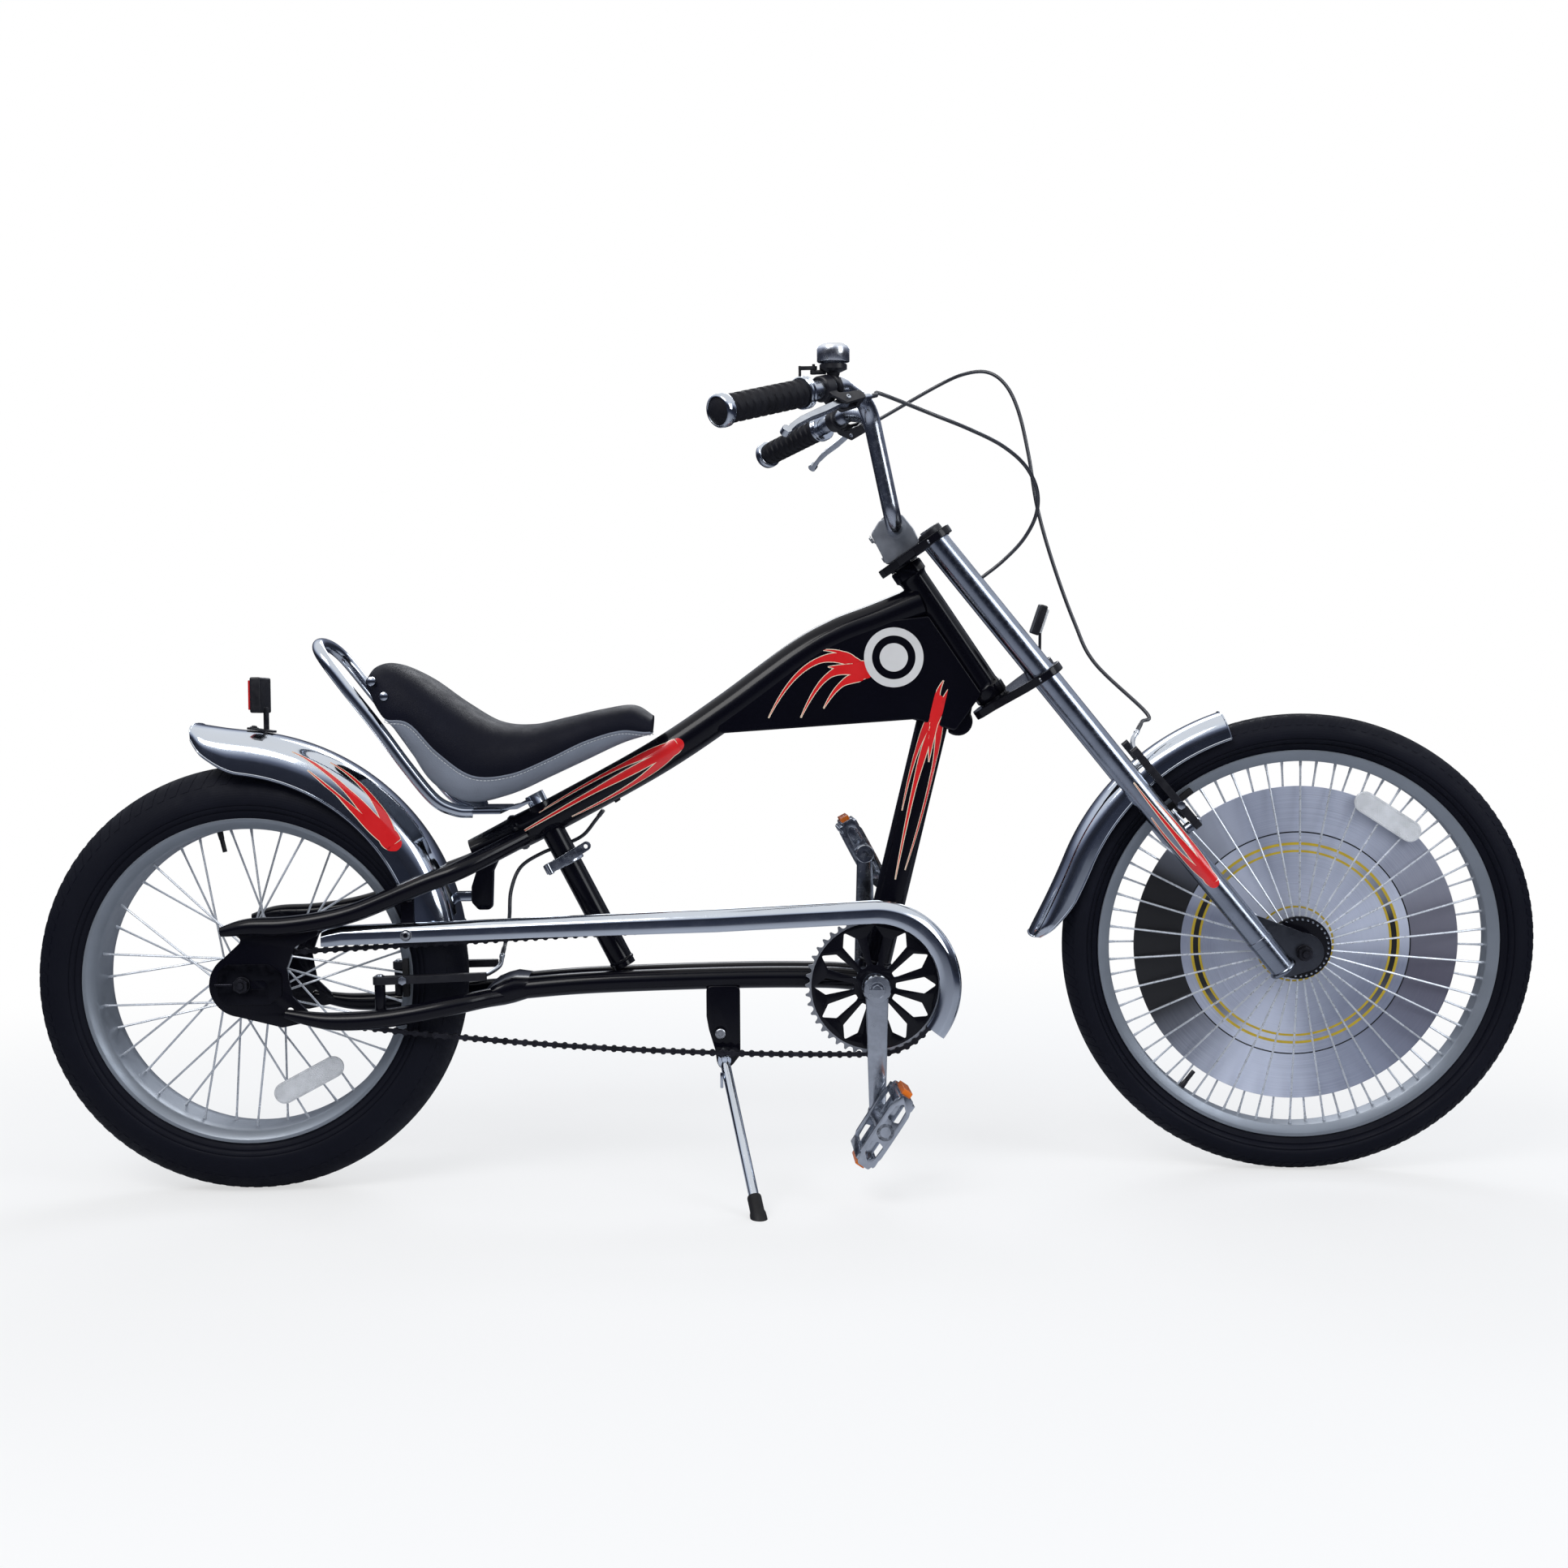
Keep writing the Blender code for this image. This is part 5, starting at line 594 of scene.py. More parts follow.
# Roughness, metal, depth and scale of the tone, least and most roughness with the scale and detail
# of their wear, scale and detail of the grain with its strength and height, and other sockets
KINDS = {
    "gloss": (0.22, 0, 0.1, 9, 0.13, 0.24, 14, 5, 420, 2, 0.05, 0.00015,
        {"Coat_Weight": 0.14, "Coat_Roughness": 0.07, "Specular_IOR_Level": 0.16}),
    "steel": (0.28, 0.55, 0.12, 60, 0.22, 0.38, 200, 3, 900, 2, 0.05, 0.0001, {}),
    "satin": (0.32, 1, 0.1, 30, 0.25, 0.41, 160, 4, 900, 3, 0.1, 0.0002, {}),
    "polish": (0.19, 1, 0.1, 30, 0.12, 0.28, 160, 4, 900, 3, 0.1, 0.0002, {}),
    "fork": (0.19, 1, 0.1, 30, 0.12, 0.28, 160, 4, 900, 3, 0.015, 0.0002, {}),
    "bar": (0.22, 1, 0.1, 30, 0.15, 0.31, 160, 4, 900, 3, 0.012, 0.0002, {}),
    "cast": (0.42, 0.85, 0.12, 40, 0.36, 0.5, 90, 4, 1400, 4, 0.25, 0.0003, {}),
    "rim": (0.42, 0.55, 0.06, 12, 0.34, 0.46, 60, 4, 1800, 2, 0.12, 0.0001,
        {"Coat_Weight": 0.15, "Coat_Roughness": 0.3}),
    "rubber": (0.56, 0, 0.25, 25, 0.5, 0.7, 60, 4, 1200, 4, 0.25, 0.0003,
        {"Specular_IOR_Level": 0.28}),
    "plastic": (0.42, 0, 0.15, 30, 0.34, 0.52, 120, 4, 1500, 3, 0.2, 0.0002,
        {"Specular_IOR_Level": 0.45}),
    "oiled": (0.36, 0.85, 0.35, 60, 0.24, 0.5, 220, 5, 1100, 3, 0.15, 0.0002, {}),
    "ink": (0.2, 0, 0.05, 20, 0.16, 0.26, 40, 4, 500, 2, 0.04, 0.0001,
        {"Coat_Weight": 0.6, "Coat_Roughness": 0.05})}


def even_look(name, colour, kind):
    """A finish of one of the kinds in the table."""
    roughness, metal, depth, tone, low, high, wear, detail, grain, fine, strength, rise, sockets = kind
    look = Look(name, colour, roughness, metal, **sockets)
    look.weather(colour, depth, tone)
    look.wear(low, high, wear, detail)
    return look.bump(look.noise(grain, fine), strength, rise)


def bright_chrome(name, colour):
    look = Look(name, colour, 0.08, 1.0)
    look.weather(colour, 0.06, 5.0)
    look.rough(look.within(look.noise(22.0, 6.0, rough=0.7), 0.35, 0.75, 0.05, 0.16))
    return look.bump(look.noise(35.0, 1.0), 0.06, 0.0006)


def tyre_rubber(name, colour):
    """Moulded rubber: fine rings on the sidewall, a dull tread and a little dust."""
    look = Look(name, colour, 0.58, Specular_IOR_Level=0.13)
    dust = look.within(look.noise(7.0, 6.0, rough=0.65), 0.5, 0.8, 0.0, 0.45)
    look.paint(look.mix(dust, colour, [value * 1.8 + 0.003 for value in colour]))
    look.wear(0.5, 0.72, 30.0, 5.0)
    rings = look.math("MULTIPLY", look.rings(0.0032), 0.35)
    grain = look.math("MULTIPLY", look.noise(700.0, 3.0), 0.6)
    return look.bump(look.math("ADD", rings, grain), 0.22, 0.0004)


def grained_vinyl(name, colour):
    """Vinyl with a pebbled grain, a soft sheen and slight creases."""
    roughness = 0.5 if name == "black_vinyl" else 0.44
    look = Look(name, colour, roughness, Specular_IOR_Level=0.1)
    look.weather(colour, 0.12, 10.0)
    look.wear(roughness - 0.08, roughness + 0.1, 45.0, 5.0)
    drift = look.node("TexNoise", look.place, Scale=90.0).outputs["Color"]
    small = look.out("VectorMath", drift, operation="SCALE", Scale=0.0022)
    source = look.out("VectorMath", look.place, small, operation="ADD")
    pebbles = look.within(look.cells(520.0, source, "DISTANCE_TO_EDGE"), 0.0, 0.28)
    creases = look.math("MULTIPLY", look.noise(38.0, 3.0), 0.5)
    return look.bump(look.math("ADD", look.math("MULTIPLY", pebbles, 0.75), creases), 0.38, 0.00045)


def prism_lens(name, colour):
    """A moulded lens backed by a grid of small prisms."""
    measures = {"lens_clear": (0.12, 0.35), "lens_orange": (0.16, 0.25), "lens_red": (0.14, 0.25)}
    roughness, clear = measures[name]
    look = Look(name, colour, roughness, Transmission_Weight=clear, IOR=1.49, Specular_IOR_Level=0.6)
    look.weather(colour, 0.1, 60.0)
    grid = look.cells(420.0, look.place, "F1", 0.0)
    return look.bump(look.within(grid, 0.0, 0.6, 1.0, 0.0), 0.5, 0.0006)


def cable_sheath(name, colour):
    look = Look(name, colour, 0.3, Coat_Weight=0.4, Coat_Roughness=0.15, Specular_IOR_Level=0.6)
    look.weather(colour, 0.2, 18.0)
    look.wear(0.24, 0.38, 90.0)
    return look.bump(look.rings(0.002), 0.12, 0.0002)


def sewing_thread(name, colour):
    look = Look(name, colour, 0.62, Sheen_Weight=0.2)
    look.weather(colour, 0.2, 200.0)
    look.wear(0.52, 0.72, 400.0, 3.0)
    twist = look.node("TexWave", look.place, Scale=900.0, Distortion=0.0, Detail=0.0,
        bands_direction="DIAGONAL")
    return look.bump(twist.outputs["Fac"], 0.4, 0.0002)


def disc_print(name, colour):
    """Brushed metal with printed plain rings and dark sectors before and behind the hub, a lighter tone
    towards the hub, and a painted conical highlight and shade that turn with the angle about the axle.
    """
    look = Look(name, colour, 0.36, 0.35, Coat_Weight=0.15, Coat_Roughness=0.2)
    radius, angle = look.polar(FRONT_AXLE, "front_wheel")
    streak = look.out("CombineXYZ", look.math("MULTIPLY", radius, 1400.0), angle, 0.0)
    grain = look.node("TexNoise", streak, Scale=1.0, Detail=3.0).outputs["Fac"]
    tone = look.mix(look.within(grain, 0.3, 0.7), (0.36, 0.39, 0.5), (0.52, 0.56, 0.68))
    turn = look.math("ABSOLUTE", angle)
    # Painted shade: the metal darkens in two opposite sectors by the angle about the axle, as brushed metal
    # looks under light.
    swing = look.math("COSINE", look.math("MULTIPLY_ADD", angle, 2.0, -1.1))
    # Painted highlight: bright bands by the angle about the axle, where brushed metal catches the light.
    glint = look.math("COSINE", look.math("MULTIPLY_ADD", angle, 3.0, 0.8))
    behind = look.within(turn, pi - 1.15, pi - 0.45)
    ahead = look.within(turn, 1.0, 0.25)
    outer = look.math("COMPARE", radius, 0.183, 0.033)
    band = look.math("COMPARE", radius, 0.1295, 0.0066)
    dark = look.math("MULTIPLY", behind, outer)
    dim = look.math("MULTIPLY", look.math("MULTIPLY", ahead, outer), 0.8)
    both = look.math("MULTIPLY", look.math("MAXIMUM", behind, ahead), band)
    # The first two layers are painted shade and a painted highlight; the sectors and rings are print.
    layers = [(look.within(swing, -1.0, 1.0, 0.0, 0.7), (0.13, 0.15, 0.23)),
        (look.within(glint, 0.2, 1.0, 0.0, 0.6), (0.72, 0.77, 0.92)),
        (look.within(radius, 0.11, 0.045, 0.0, 0.55), (0.66, 0.7, 0.84)),
        (dark, (0.012, 0.012, 0.014)), (dim, (0.07, 0.06, 0.085)), (both, (0.014, 0.014, 0.016))]
    yellow = (0.58, 0.41, 0.03)
    for reach, half, ink in ((0.15, 0.0009, (0.012, 0.012, 0.014)), (0.1345, 0.0018, yellow),
            (0.1245, 0.0015, yellow), (0.05, 0.0013, yellow)):
        layers.append((look.math("COMPARE", radius, reach, half), ink))
    for share, ink in layers:
        tone = look.mix(share, tone, ink)
    look.paint(tone)
    look.rough(look.within(grain, 0.3, 0.7, 0.28, 0.42))
    return look.bump(grain, 0.08, 0.0001)


# Each finish: how it is made, the slot that it usually takes, and its colour
PALETTE = {
    "frame_paint": ("gloss", "black_paint", (0.0024, 0.0024, 0.005)),
    "part_paint": ("gloss", "black_paint", (0.0035, 0.0035, 0.006)),
    "chrome": (bright_chrome, "chrome", (0.6, 0.64, 0.7)),
    "fork_chrome": ("fork", "chrome", (0.3, 0.33, 0.39)),
    "bar_chrome": ("bar", "chrome", (0.46, 0.49, 0.55)),
    "bell_steel": ("bar", "chrome", (0.8, 0.82, 0.86)),
    "alloy": ("polish", "silver", (0.52, 0.55, 0.6)),
    "spoke_steel": ("steel", "silver", (0.56, 0.59, 0.64)),
    "dropout_grey": ("satin", "silver", (0.02, 0.02, 0.026)),
    "foot_steel": ("satin", "dark_steel", (0.085, 0.09, 0.105)),
    "cast_alloy": ("cast", "silver", (0.36, 0.38, 0.42)),
    "rim_grey": ("rim", "rim_grey", (0.215, 0.24, 0.28)),
    "tyre_rubber": (tyre_rubber, "tyre_rubber", (0.003, 0.0036, 0.0085)),
    "grip_rubber": ("rubber", "grip_rubber", (0.004, 0.0042, 0.008)),
    "pad_rubber": ("rubber", "grip_rubber", (0.008, 0.008, 0.0095)),
    "black_plastic": ("plastic", "black_plastic", (0.006, 0.006, 0.01)),
    "chain_steel": ("oiled", "dark_steel", (0.03, 0.03, 0.038)),
    "bolt_steel": ("satin", "silver", (0.42, 0.43, 0.45)),
    "cable_black": (cable_sheath, "black_plastic", (0.02, 0.022, 0.03)),
    "flame_red": ("ink", "black_paint", (0.56, 0.01, 0.012)),
    "flame_edge": ("ink", "black_paint", (0.72, 0.62, 0.48)),
    "badge_grey": ("ink", "black_paint", (0.55, 0.55, 0.56)),
    "black_vinyl": (grained_vinyl, "black_vinyl", (0.0036, 0.0042, 0.01)),
    "grey_vinyl": (grained_vinyl, "grey_vinyl", (0.17, 0.19, 0.235)),
    "thread_grey": (sewing_thread, "grey_vinyl", (0.42, 0.44, 0.47)),
    # The front disc's finish holds its print and a painted conical highlight and shade.
    "disc_print": (disc_print, "silver", (0.42, 0.43, 0.46)),
    "lens_clear": (prism_lens, "clear_lens", (0.72, 0.74, 0.78)),
    "lens_orange": (prism_lens, "clear_lens", (0.85, 0.2, 0.015)),
    "lens_red": (prism_lens, "clear_lens", (0.62, 0.01, 0.012))}
FINISHES = {}


def finish_of(name):
    """The material of a finish, made when it is first asked for."""
    if name not in FINISHES:
        kind, _, colour = PALETTE[name]
        chosen = tuple(getattr(bpy.context.scene.chopper_colours, name, colour))
        FINISHES[name] = kind(name, chosen) if callable(kind) else even_look(name, chosen, KINDS[kind])
    return FINISHES[name]


# Studio

FOCAL_PIXELS = 2026.86
PHOTO_PIXELS = 1932
SENSOR_WIDTH = 36
CAMERA_PLACE = Vector((0.6903, -2.1487, 0.5663))
CAMERA_YAW = 0.04329
CAMERA_PITCH = 0.02006
CAMERA_ROLL = -0.00729
PHOTO_LEAN = 0.02154
# Heights in the sky from straight down to straight up, with the colours that bright metal mirrors
SKY = ((0.0, (0.1, 0.11, 0.14)), (0.49, (0.02, 0.022, 0.032)), (0.57, (0.03, 0.034, 0.05)),
    (0.64, (0.16, 0.18, 0.25)), (0.72, (0.62, 0.67, 0.78)), (0.84, (0.95, 0.97, 1.0)), (1.0, (1.0, 1.0, 1.0)))


def make_camera():
    """The photograph's viewpoint, which was found on the upright bicycle's own measures."""
    turn = Matrix.Rotation(CAMERA_YAW, 3, "Z") @ Matrix.Rotation(PHOTO_LEAN, 3, "X")
    view = Matrix.Rotation(CAMERA_ROLL, 3, "Y") @ Matrix.Rotation(CAMERA_PITCH, 3, "X")
    glass = bpy.data.cameras.new("camera")
    glass.sensor_width = SENSOR_WIDTH
    glass.lens = SENSOR_WIDTH * FOCAL_PIXELS / PHOTO_PIXELS
    glass.clip_start, glass.clip_end = 0.05, 100
    camera = linked("camera", glass)
    right, ahead, up = view @ turn
    columns = Matrix((right, up, -ahead)).transposed().to_4x4()
    columns.translation = turn.inverted() @ CAMERA_PLACE
    camera.matrix_world = BIKE @ columns
    bpy.context.scene.camera = camera


def make_world():
    """White behind the bicycle, even daylight on it, and a darker horizon in its bright metal."""
    world = bpy.data.worlds.new("studio")
    world.use_nodes = True
    bpy.context.scene.world = world
    nodes = Nodes(world.node_tree)
    white = nodes.tree.nodes["Background"]
    nodes.give(white.inputs["Color"], (1, 1, 1, 1))
    way = nodes.node("TexCoord").outputs["Generated"]
    height = nodes.out("MapRange", nodes.node("SeparateXYZ", way).outputs[2], From_Min=-1)
    mirrored = nodes.out("Background", nodes.ramp(height, SKY))
    daylight = nodes.out("Background", (0.93, 0.96, 1.0, 1), 0.62)
    rays = nodes.node("LightPath").outputs
    first = nodes.out("MixShader", rays["Is Glossy Ray"], daylight, mirrored)
    seen = nodes.math("MAXIMUM", rays["Is Camera Ray"], rays["Is Transmission Ray"])
    last = nodes.out("MixShader", seen, first, white.outputs[0])
    nodes.give(nodes.tree.nodes["World Output"].inputs["Surface"], last)


def make_floor(settings):
    """A pale floor that stays white to the camera and keeps the bicycle's soft shadow."""
    mesh = bpy.data.meshes.new("floor")
    half = settings.floor_half
    corners = [(-half, -half, 0), (half, -half, 0), (half, half, 0), (-half, half, 0)]
    mesh.from_pydata(corners, [], [(0, 1, 2, 3)])
    floor = linked("floor", mesh)
    material = bpy.data.materials.new("pale_floor")
    material.use_nodes = True
    nodes = Nodes(material.node_tree)
    nodes.tree.nodes.remove(nodes.tree.nodes["Principled BSDF"])
    place = nodes.node("TexCoord").outputs["Object"]
    reach = nodes.node("VectorMath", place, operation="LENGTH").outputs["Value"]
    rays = nodes.node("LightPath").outputs
    fade = nodes.out("MapRange", reach, interpolation_type="SMOOTHSTEP", From_Min=0.9, From_Max=2.6,
        To_Min=0.6, To_Max=1.0)
    share = nodes.math("MULTIPLY", rays["Is Camera Ray"], fade)
    matte = nodes.out("BsdfDiffuse", (*settings.floor_colour, 1))
    blend = nodes.out("MixShader", share, matte, nodes.out("Emission"))
    near = nodes.out("MapRange", reach, From_Min=0.5, From_Max=2.2)
    dim = nodes.out("BsdfDiffuse", nodes.ramp(near, ((0.0, (0.5, 0.52, 0.58)), (1.0, (0.035, 0.04, 0.06)))))
    last = nodes.out("MixShader", rays["Is Glossy Ray"], blend, dim)
    nodes.give(nodes.tree.nodes["Material Output"].inputs["Surface"], last)
    mesh.materials.append(material)
    floor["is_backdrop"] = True


def make_lamp(name, spot, target, size, power, colour):
    lamp = bpy.data.lights.new(name, "AREA")
    lamp.shape = "RECTANGLE"
    lamp.size, lamp.size_y = size
    lamp.energy = power
    lamp.color = colour
    thing = linked(name, lamp)
    thing.location = spot
    thing.rotation_euler = (Vector(spot) - Vector(target)).to_track_quat("Z", "Y").to_euler()


def make_stage(settings):
    bpy.context.scene.view_settings.view_transform = "Standard"
    make_camera()
    make_world()
    make_floor(settings)
    make_lamp("key", (-1.6, -2.6, 3.0), (0, 0, 0.5), (2.2, 1.4), settings.key_power, (1.0, 0.99, 0.97))
    make_lamp("fill", (2.4, -2.2, 1.7), (0.1, 0, 0.5), (1.4, 1.8), settings.fill_power, (0.94, 0.97, 1.0))
    make_lamp("back", (0.4, 2.8, 2.6), (0, 0, 0.5), (2.6, 1.2), settings.back_power, (0.95, 0.97, 1.0))


# Repeats

def tree_of(name, inputs):
    """A Geometry Nodes tree with named inputs: its nodes, and the outputs of what it is given."""
    tree = bpy.data.node_groups.new(name, "GeometryNodeTree")
    tree.interface.new_socket(name="Geometry", in_out="INPUT", socket_type="NodeSocketGeometry")
    for title, kind, default in inputs:
        socket = tree.interface.new_socket(name=title, in_out="INPUT", socket_type="NodeSocket" + kind)
        if default is not None:
            socket.default_value = default
    tree.interface.new_socket(name="Geometry", in_out="OUTPUT", socket_type="NodeSocketGeometry")
    nodes = Nodes(tree)
    return nodes, nodes.node("NodeGroupInput").outputs


def grown(nodes, given, source, values, **inputs):
    """Ends a tree with its copies made real and given a finish. The object that it grows on is used up."""
    place = nodes.out("GeometryNodeInstanceOnPoints", **inputs)
    real = nodes.out("GeometryNodeRealizeInstances", place)
    nodes.node("NodeGroupOutput", nodes.out("GeometryNodeSetMaterial", real, Material=given["Finish"]))
    step = source.modifiers.new("Repeat", "NODES")
    step.node_group = nodes.tree
    for item in nodes.tree.interface.items_tree:
        if item.in_out == "INPUT" and item.name in values:
            step[item.identifier] = values[item.name]
    mesh = evaluated(source)
    bpy.data.node_groups.remove(nodes.tree)
    return mesh


def around(unit, count, finish, start=0.0, sweep=2 * pi):
    """Copies of a unit turned about the local Z at even steps, as one mesh."""
    nodes, given = tree_of("around_an_axle", (("Count", "Int", 12), ("Start", "Float", 0.0),
        ("Sweep", "Float", 2 * pi), ("Finish", "Material", None)))
    share = nodes.math("DIVIDE", nodes.out("GeometryNodeInputIndex"), given["Count"])
    turn = nodes.math("MULTIPLY_ADD", share, given["Sweep"], given["Start"])
    values = {"Count": count, "Start": start, "Sweep": sweep, "Finish": finish_of(finish)}
    return grown(nodes, given, unit, values, Points=nodes.out("GeometryNodePoints", given["Count"]),
        Instance=given["Geometry"], Rotation=nodes.out("CombineXYZ", Z=turn))


def along_points(units, points, axes, beside, finish):
    """One unit at each point, the units in turn, with local X along the axis and Y to the side."""
    nodes, given = tree_of("along_points", (("Finish", "Material", None),))
    ways = [nodes.out("GeometryNodeInputNamedAttribute", word, data_type="FLOAT_VECTOR") for word in
        ("axis", "side")]
    turn = nodes.out("FunctionNodeAxesToRotation", primary_axis="X", secondary_axis="Y",
        Primary_Axis=ways[0], Secondary_Axis=ways[1])
    gather = nodes.node("GeometryNodeGeometryToInstance")
    for unit in reversed(units):
        item = nodes.node("GeometryNodeObjectInfo", Object=unit)
        nodes.give(gather.inputs[0], item.outputs["Geometry"])
    odd = nodes.math("MODULO", nodes.out("GeometryNodeInputIndex"), len(units))
    mesh = bpy.data.meshes.new("points")
    mesh.from_pydata([tuple(point) for point in points], [], [])
    for name, ways in (("axis", axes), ("side", beside)):
        layer = mesh.attributes.new(name, "FLOAT_VECTOR", "POINT")
        for spot, way in zip(layer.data, ways):
            spot.vector = way
    made = grown(nodes, given, linked("points", mesh), {"Finish": finish_of(finish)},
        Points=given["Geometry"], Instance=gather.outputs[0], Pick_Instance=True, Instance_Index=odd,
        Rotation=turn)
    for unit in units:
        bpy.data.objects.remove(unit, do_unlink=True)
    return made


def placed(mesh, matrix, name, body, finish, *nodes, sharp=35, slot=None):
    """A piece from a mesh made about its own origin, put in its place on the bicycle."""
    mesh.transform(place_of(body) @ matrix)
    mesh.name = name
    mesh.shade_smooth()
    mesh.set_sharp_from_angle(angle=radians(sharp))
    return dress(linked(name, mesh), body, finish, *nodes, slot=slot)


# Frame

def seat_line(distance):
    foot = Vector((0.4815, 0, 0.2795))
    head = Vector((0.4055, 0, 0.428))
    return foot + (head - foot).normalized() * distance


def backbone_line(per_span=14):
    ahead = HEAD - STEER_FORWARD * 0.01 + STEER_UP * 0.054
    points = [ahead, (0.812, 0, 0.737), (0.762, 0, 0.718), (0.712, 0, 0.69), (0.616, 0, 0.62),
        (0.527, 0, 0.561), (0.418, 0, 0.501), (0.345, 0, 0.464), (0.283, 0, 0.437)]
    return smooth(points, per_span)


def backbone_radius(x):
    """The main tube tapers over its last run, towards the wheel."""
    return 0.0225 if x > 0.345 else 0.017 + 0.0055 * max(0.0, (x - 0.283) / 0.062)


def make_backbone():
    path = backbone_line()
    shape = Shape()
    shape.sweep(path, 1.0, 40, [backbone_radius(point.x) for point in path])
    shape.slab([softened([(0.604, 0.59), (0.604, 0.612), (0.658, 0.65), (0.709, 0.686), (0.762, 0.716),
        (0.809, 0.734), (0.88, 0.742), (0.95, 0.64), (0.915, 0.592), (0.862, 0.607)], 0.006)], 2 * TANK_HALF,
        side_frame(0), 0.0035, 4)
    cup = HEAD_TUBE_HALF
    bore = 0.0131
    profile = [(bore, -cup - 0.012), (0.0205, -cup - 0.012), (0.022, -cup - 0.01), (0.022, -cup + 0.003),
        (0.0205, -cup + 0.004), (0.0192, -cup + 0.006), (0.0185, -cup + 0.01)]
    profile += mirrored(profile[1:]) + [(bore, cup + 0.012)]
    shape.revolve(profile, along_frame(HEAD, STEER_UP), 64, ring=True)
    lobe = arc((0.921, 0.604), 0.019, -130, 30, 20) + [(0.944, 0.645), (0.905, 0.655)]
    shape.slab([lobe], 0.014, side_frame(0), 0.0025, 3)
    tab = [(0.281, 0.392), (0.281, 0.372), (0.29, 0.362), (0.307, 0.362), (0.309, 0.412), (0.322, 0.44),
        (0.296, 0.44)]
    shape.slab([softened(tab, 0.006)], 0.02, side_frame(0), 0.002, 3)
    for step in (0.0, 0.075, 0.15):
        guide = along_frame((0.47 + step, 0.0, 0.5305 + step * 0.62 - 0.0245), (0.85, 0, 0.53))
        shape.revolve(ring_profile(0.003, 0.0048, -0.004, 0.004), guide, 20, True)
    weld = [(0.0235, -0.004), (0.0249, 0.0), (0.0235, 0.004), (0.0205, 0.004), (0.0205, -0.004)]
    shape.revolve(weld, along_frame((0.342, 0, 0.4625), (0.9, 0, 0.45)), 40, True)
    shape.dress("main_tube", "frame", "frame_paint", "backbone", sharp=40)


def weld_bead(shape, centre, along, radius, thickness=0.0022):
    """The rounded bead of weld round a tube's end."""
    ring = circle((0, 0), 1.0, 10)
    profile = [(radius + x * thickness, y * thickness * 1.3) for x, y in ring]
    shape.revolve(profile, along_frame(centre, along), 40, ring=True)


def make_down_tube():
    shape = Shape()
    way = (SLANT_TOP - BRACKET).normalized()
    foot = BRACKET + way * 0.01
    shape.sweep([foot, foot.lerp(SLANT_TOP, 0.5), SLANT_TOP], SLANT_RADIUS, 40)
    shell = ring_profile(0.0095, 0.023, -0.046, 0.046, 0.0015)
    shape.revolve(shell, axle_frame(BRACKET), 48, ring=True)
    cup = [(0.0096, 0.0), (0.0205, 0.0), (0.0205, 0.0022), (0.0195, 0.003), (0.0096, 0.003)]
    for side in SIDES:
        shape.revolve(cup, along_frame(BRACKET + Y * side * 0.046, Y * side, X), 48, ring=True)
    weld_bead(shape, BRACKET + way * 0.0245, way, 0.0205, 0.0018)
    reach = 0.0635 - 0.0016 - GAP
    strap = frame_of(Vector((0.832, -reach / 2, BRACKET.z + 0.111 - 0.0085)), X, Y)
    shape.box((0.018, reach, 0.003), strap, 0.0008)
    shape.dress("slanting_tube", "frame", "frame_paint", "down_tube", sharp=40)


def make_seat_tube():
    shape = Shape()
    low, high = seat_line(0.006), seat_line(0.248)
    shape.sweep([low, low.lerp(high, 0.5), high], SEAT_TUBE_RADIUS, 36)
    way = (high - low).normalized()
    collar = ring_profile(0.013, 0.0195, -0.01, 0.01, 0.001)
    shape.revolve(collar, along_frame(seat_line(0.238), way), 40, ring=True)
    neck = [(0.0175, 0.0), (0.0182, -0.0048), (0.0205, -0.0112), (0.024, -0.016), (0.012, -0.016)]
    neck += [(0.012, 0.0)]
    shape.revolve(neck, along_frame(seat_line(0.228), way), 40, ring=True)
    weld_bead(shape, seat_line(0.0145), way, 0.015, 0.0018)
    shape.dress("seat_mast", "frame", "frame_paint", "seat_tube", sharp=40)


def yoke(shape):
    """The flattened piece that joins the lower tubes behind the seat tube."""
    rings = []
    stations = ((0.302, 0.046, 0.238, 0.262), (0.307, 0.0475, 0.2375, 0.266), (0.312, 0.048, 0.238, 0.27),
        (0.325, 0.0455, 0.2395, 0.2755), (0.338, 0.042, 0.242, 0.279), (0.356, 0.034, 0.247, 0.277))
    for x, half, low, high in stations:
        middle = (low + high) / 2
        tall = (high - low) / 2
        angles = [2 * pi * i / 32 for i in range(32)]
        rings.append([(x, half * swell(cos(a), 0.45), middle + tall * swell(sin(a), 0.55)) for a in angles])
    shape.skin(rings)


def stand_axis():
    return Vector((0, cos(radians(20)), -sin(radians(20))))


STAND_PIVOT = Vector((0.609, -0.0465, 0.167))


def make_lower_tubes():
    shape = Shape()
    for side in SIDES:
        y = side * 0.022
        path = [(0.335, y, 0.26), (0.44, y, 0.267), (0.618, y, 0.271), (0.735, y, 0.27),
            (0.7835, y, 0.2665)]
        shape.sweep(smooth(path, 12), 0.0142, 32)
        weld_bead(shape, Vector((0.7845, y, 0.2662)), X, 0.0138, 0.0016)
    yoke(shape)
    hanger = [(0.586, 0.262), (0.586, 0.222), (0.589, 0.205), (0.597, 0.178), (0.6, 0.156),
        (0.618, 0.156), (0.63, 0.171), (0.63, 0.262)]
    shape.slab([softened(hanger, 0.008)], 0.008, side_frame(-0.03), 0.0015, 3)
    shape.bolt((0.604, -0.034, 0.201), (0, -1, 0), 0.0062, 0.006, 0.0085)
    start = STAND_PIVOT + stand_axis() * (0.0065 + GAP)
    shape.rod(start, start + stand_axis() * 0.01, 0.009, 32, bevel=0.0008)
    for x in (0.47, 0.7):
        shape.box((0.012, 0.02, 0.005), frame_of((x, 0, 0.2695), X, Y), 0.0012)
    shape.dress("base_tubes", "frame", "frame_paint", "lower_tubes", sharp=40)


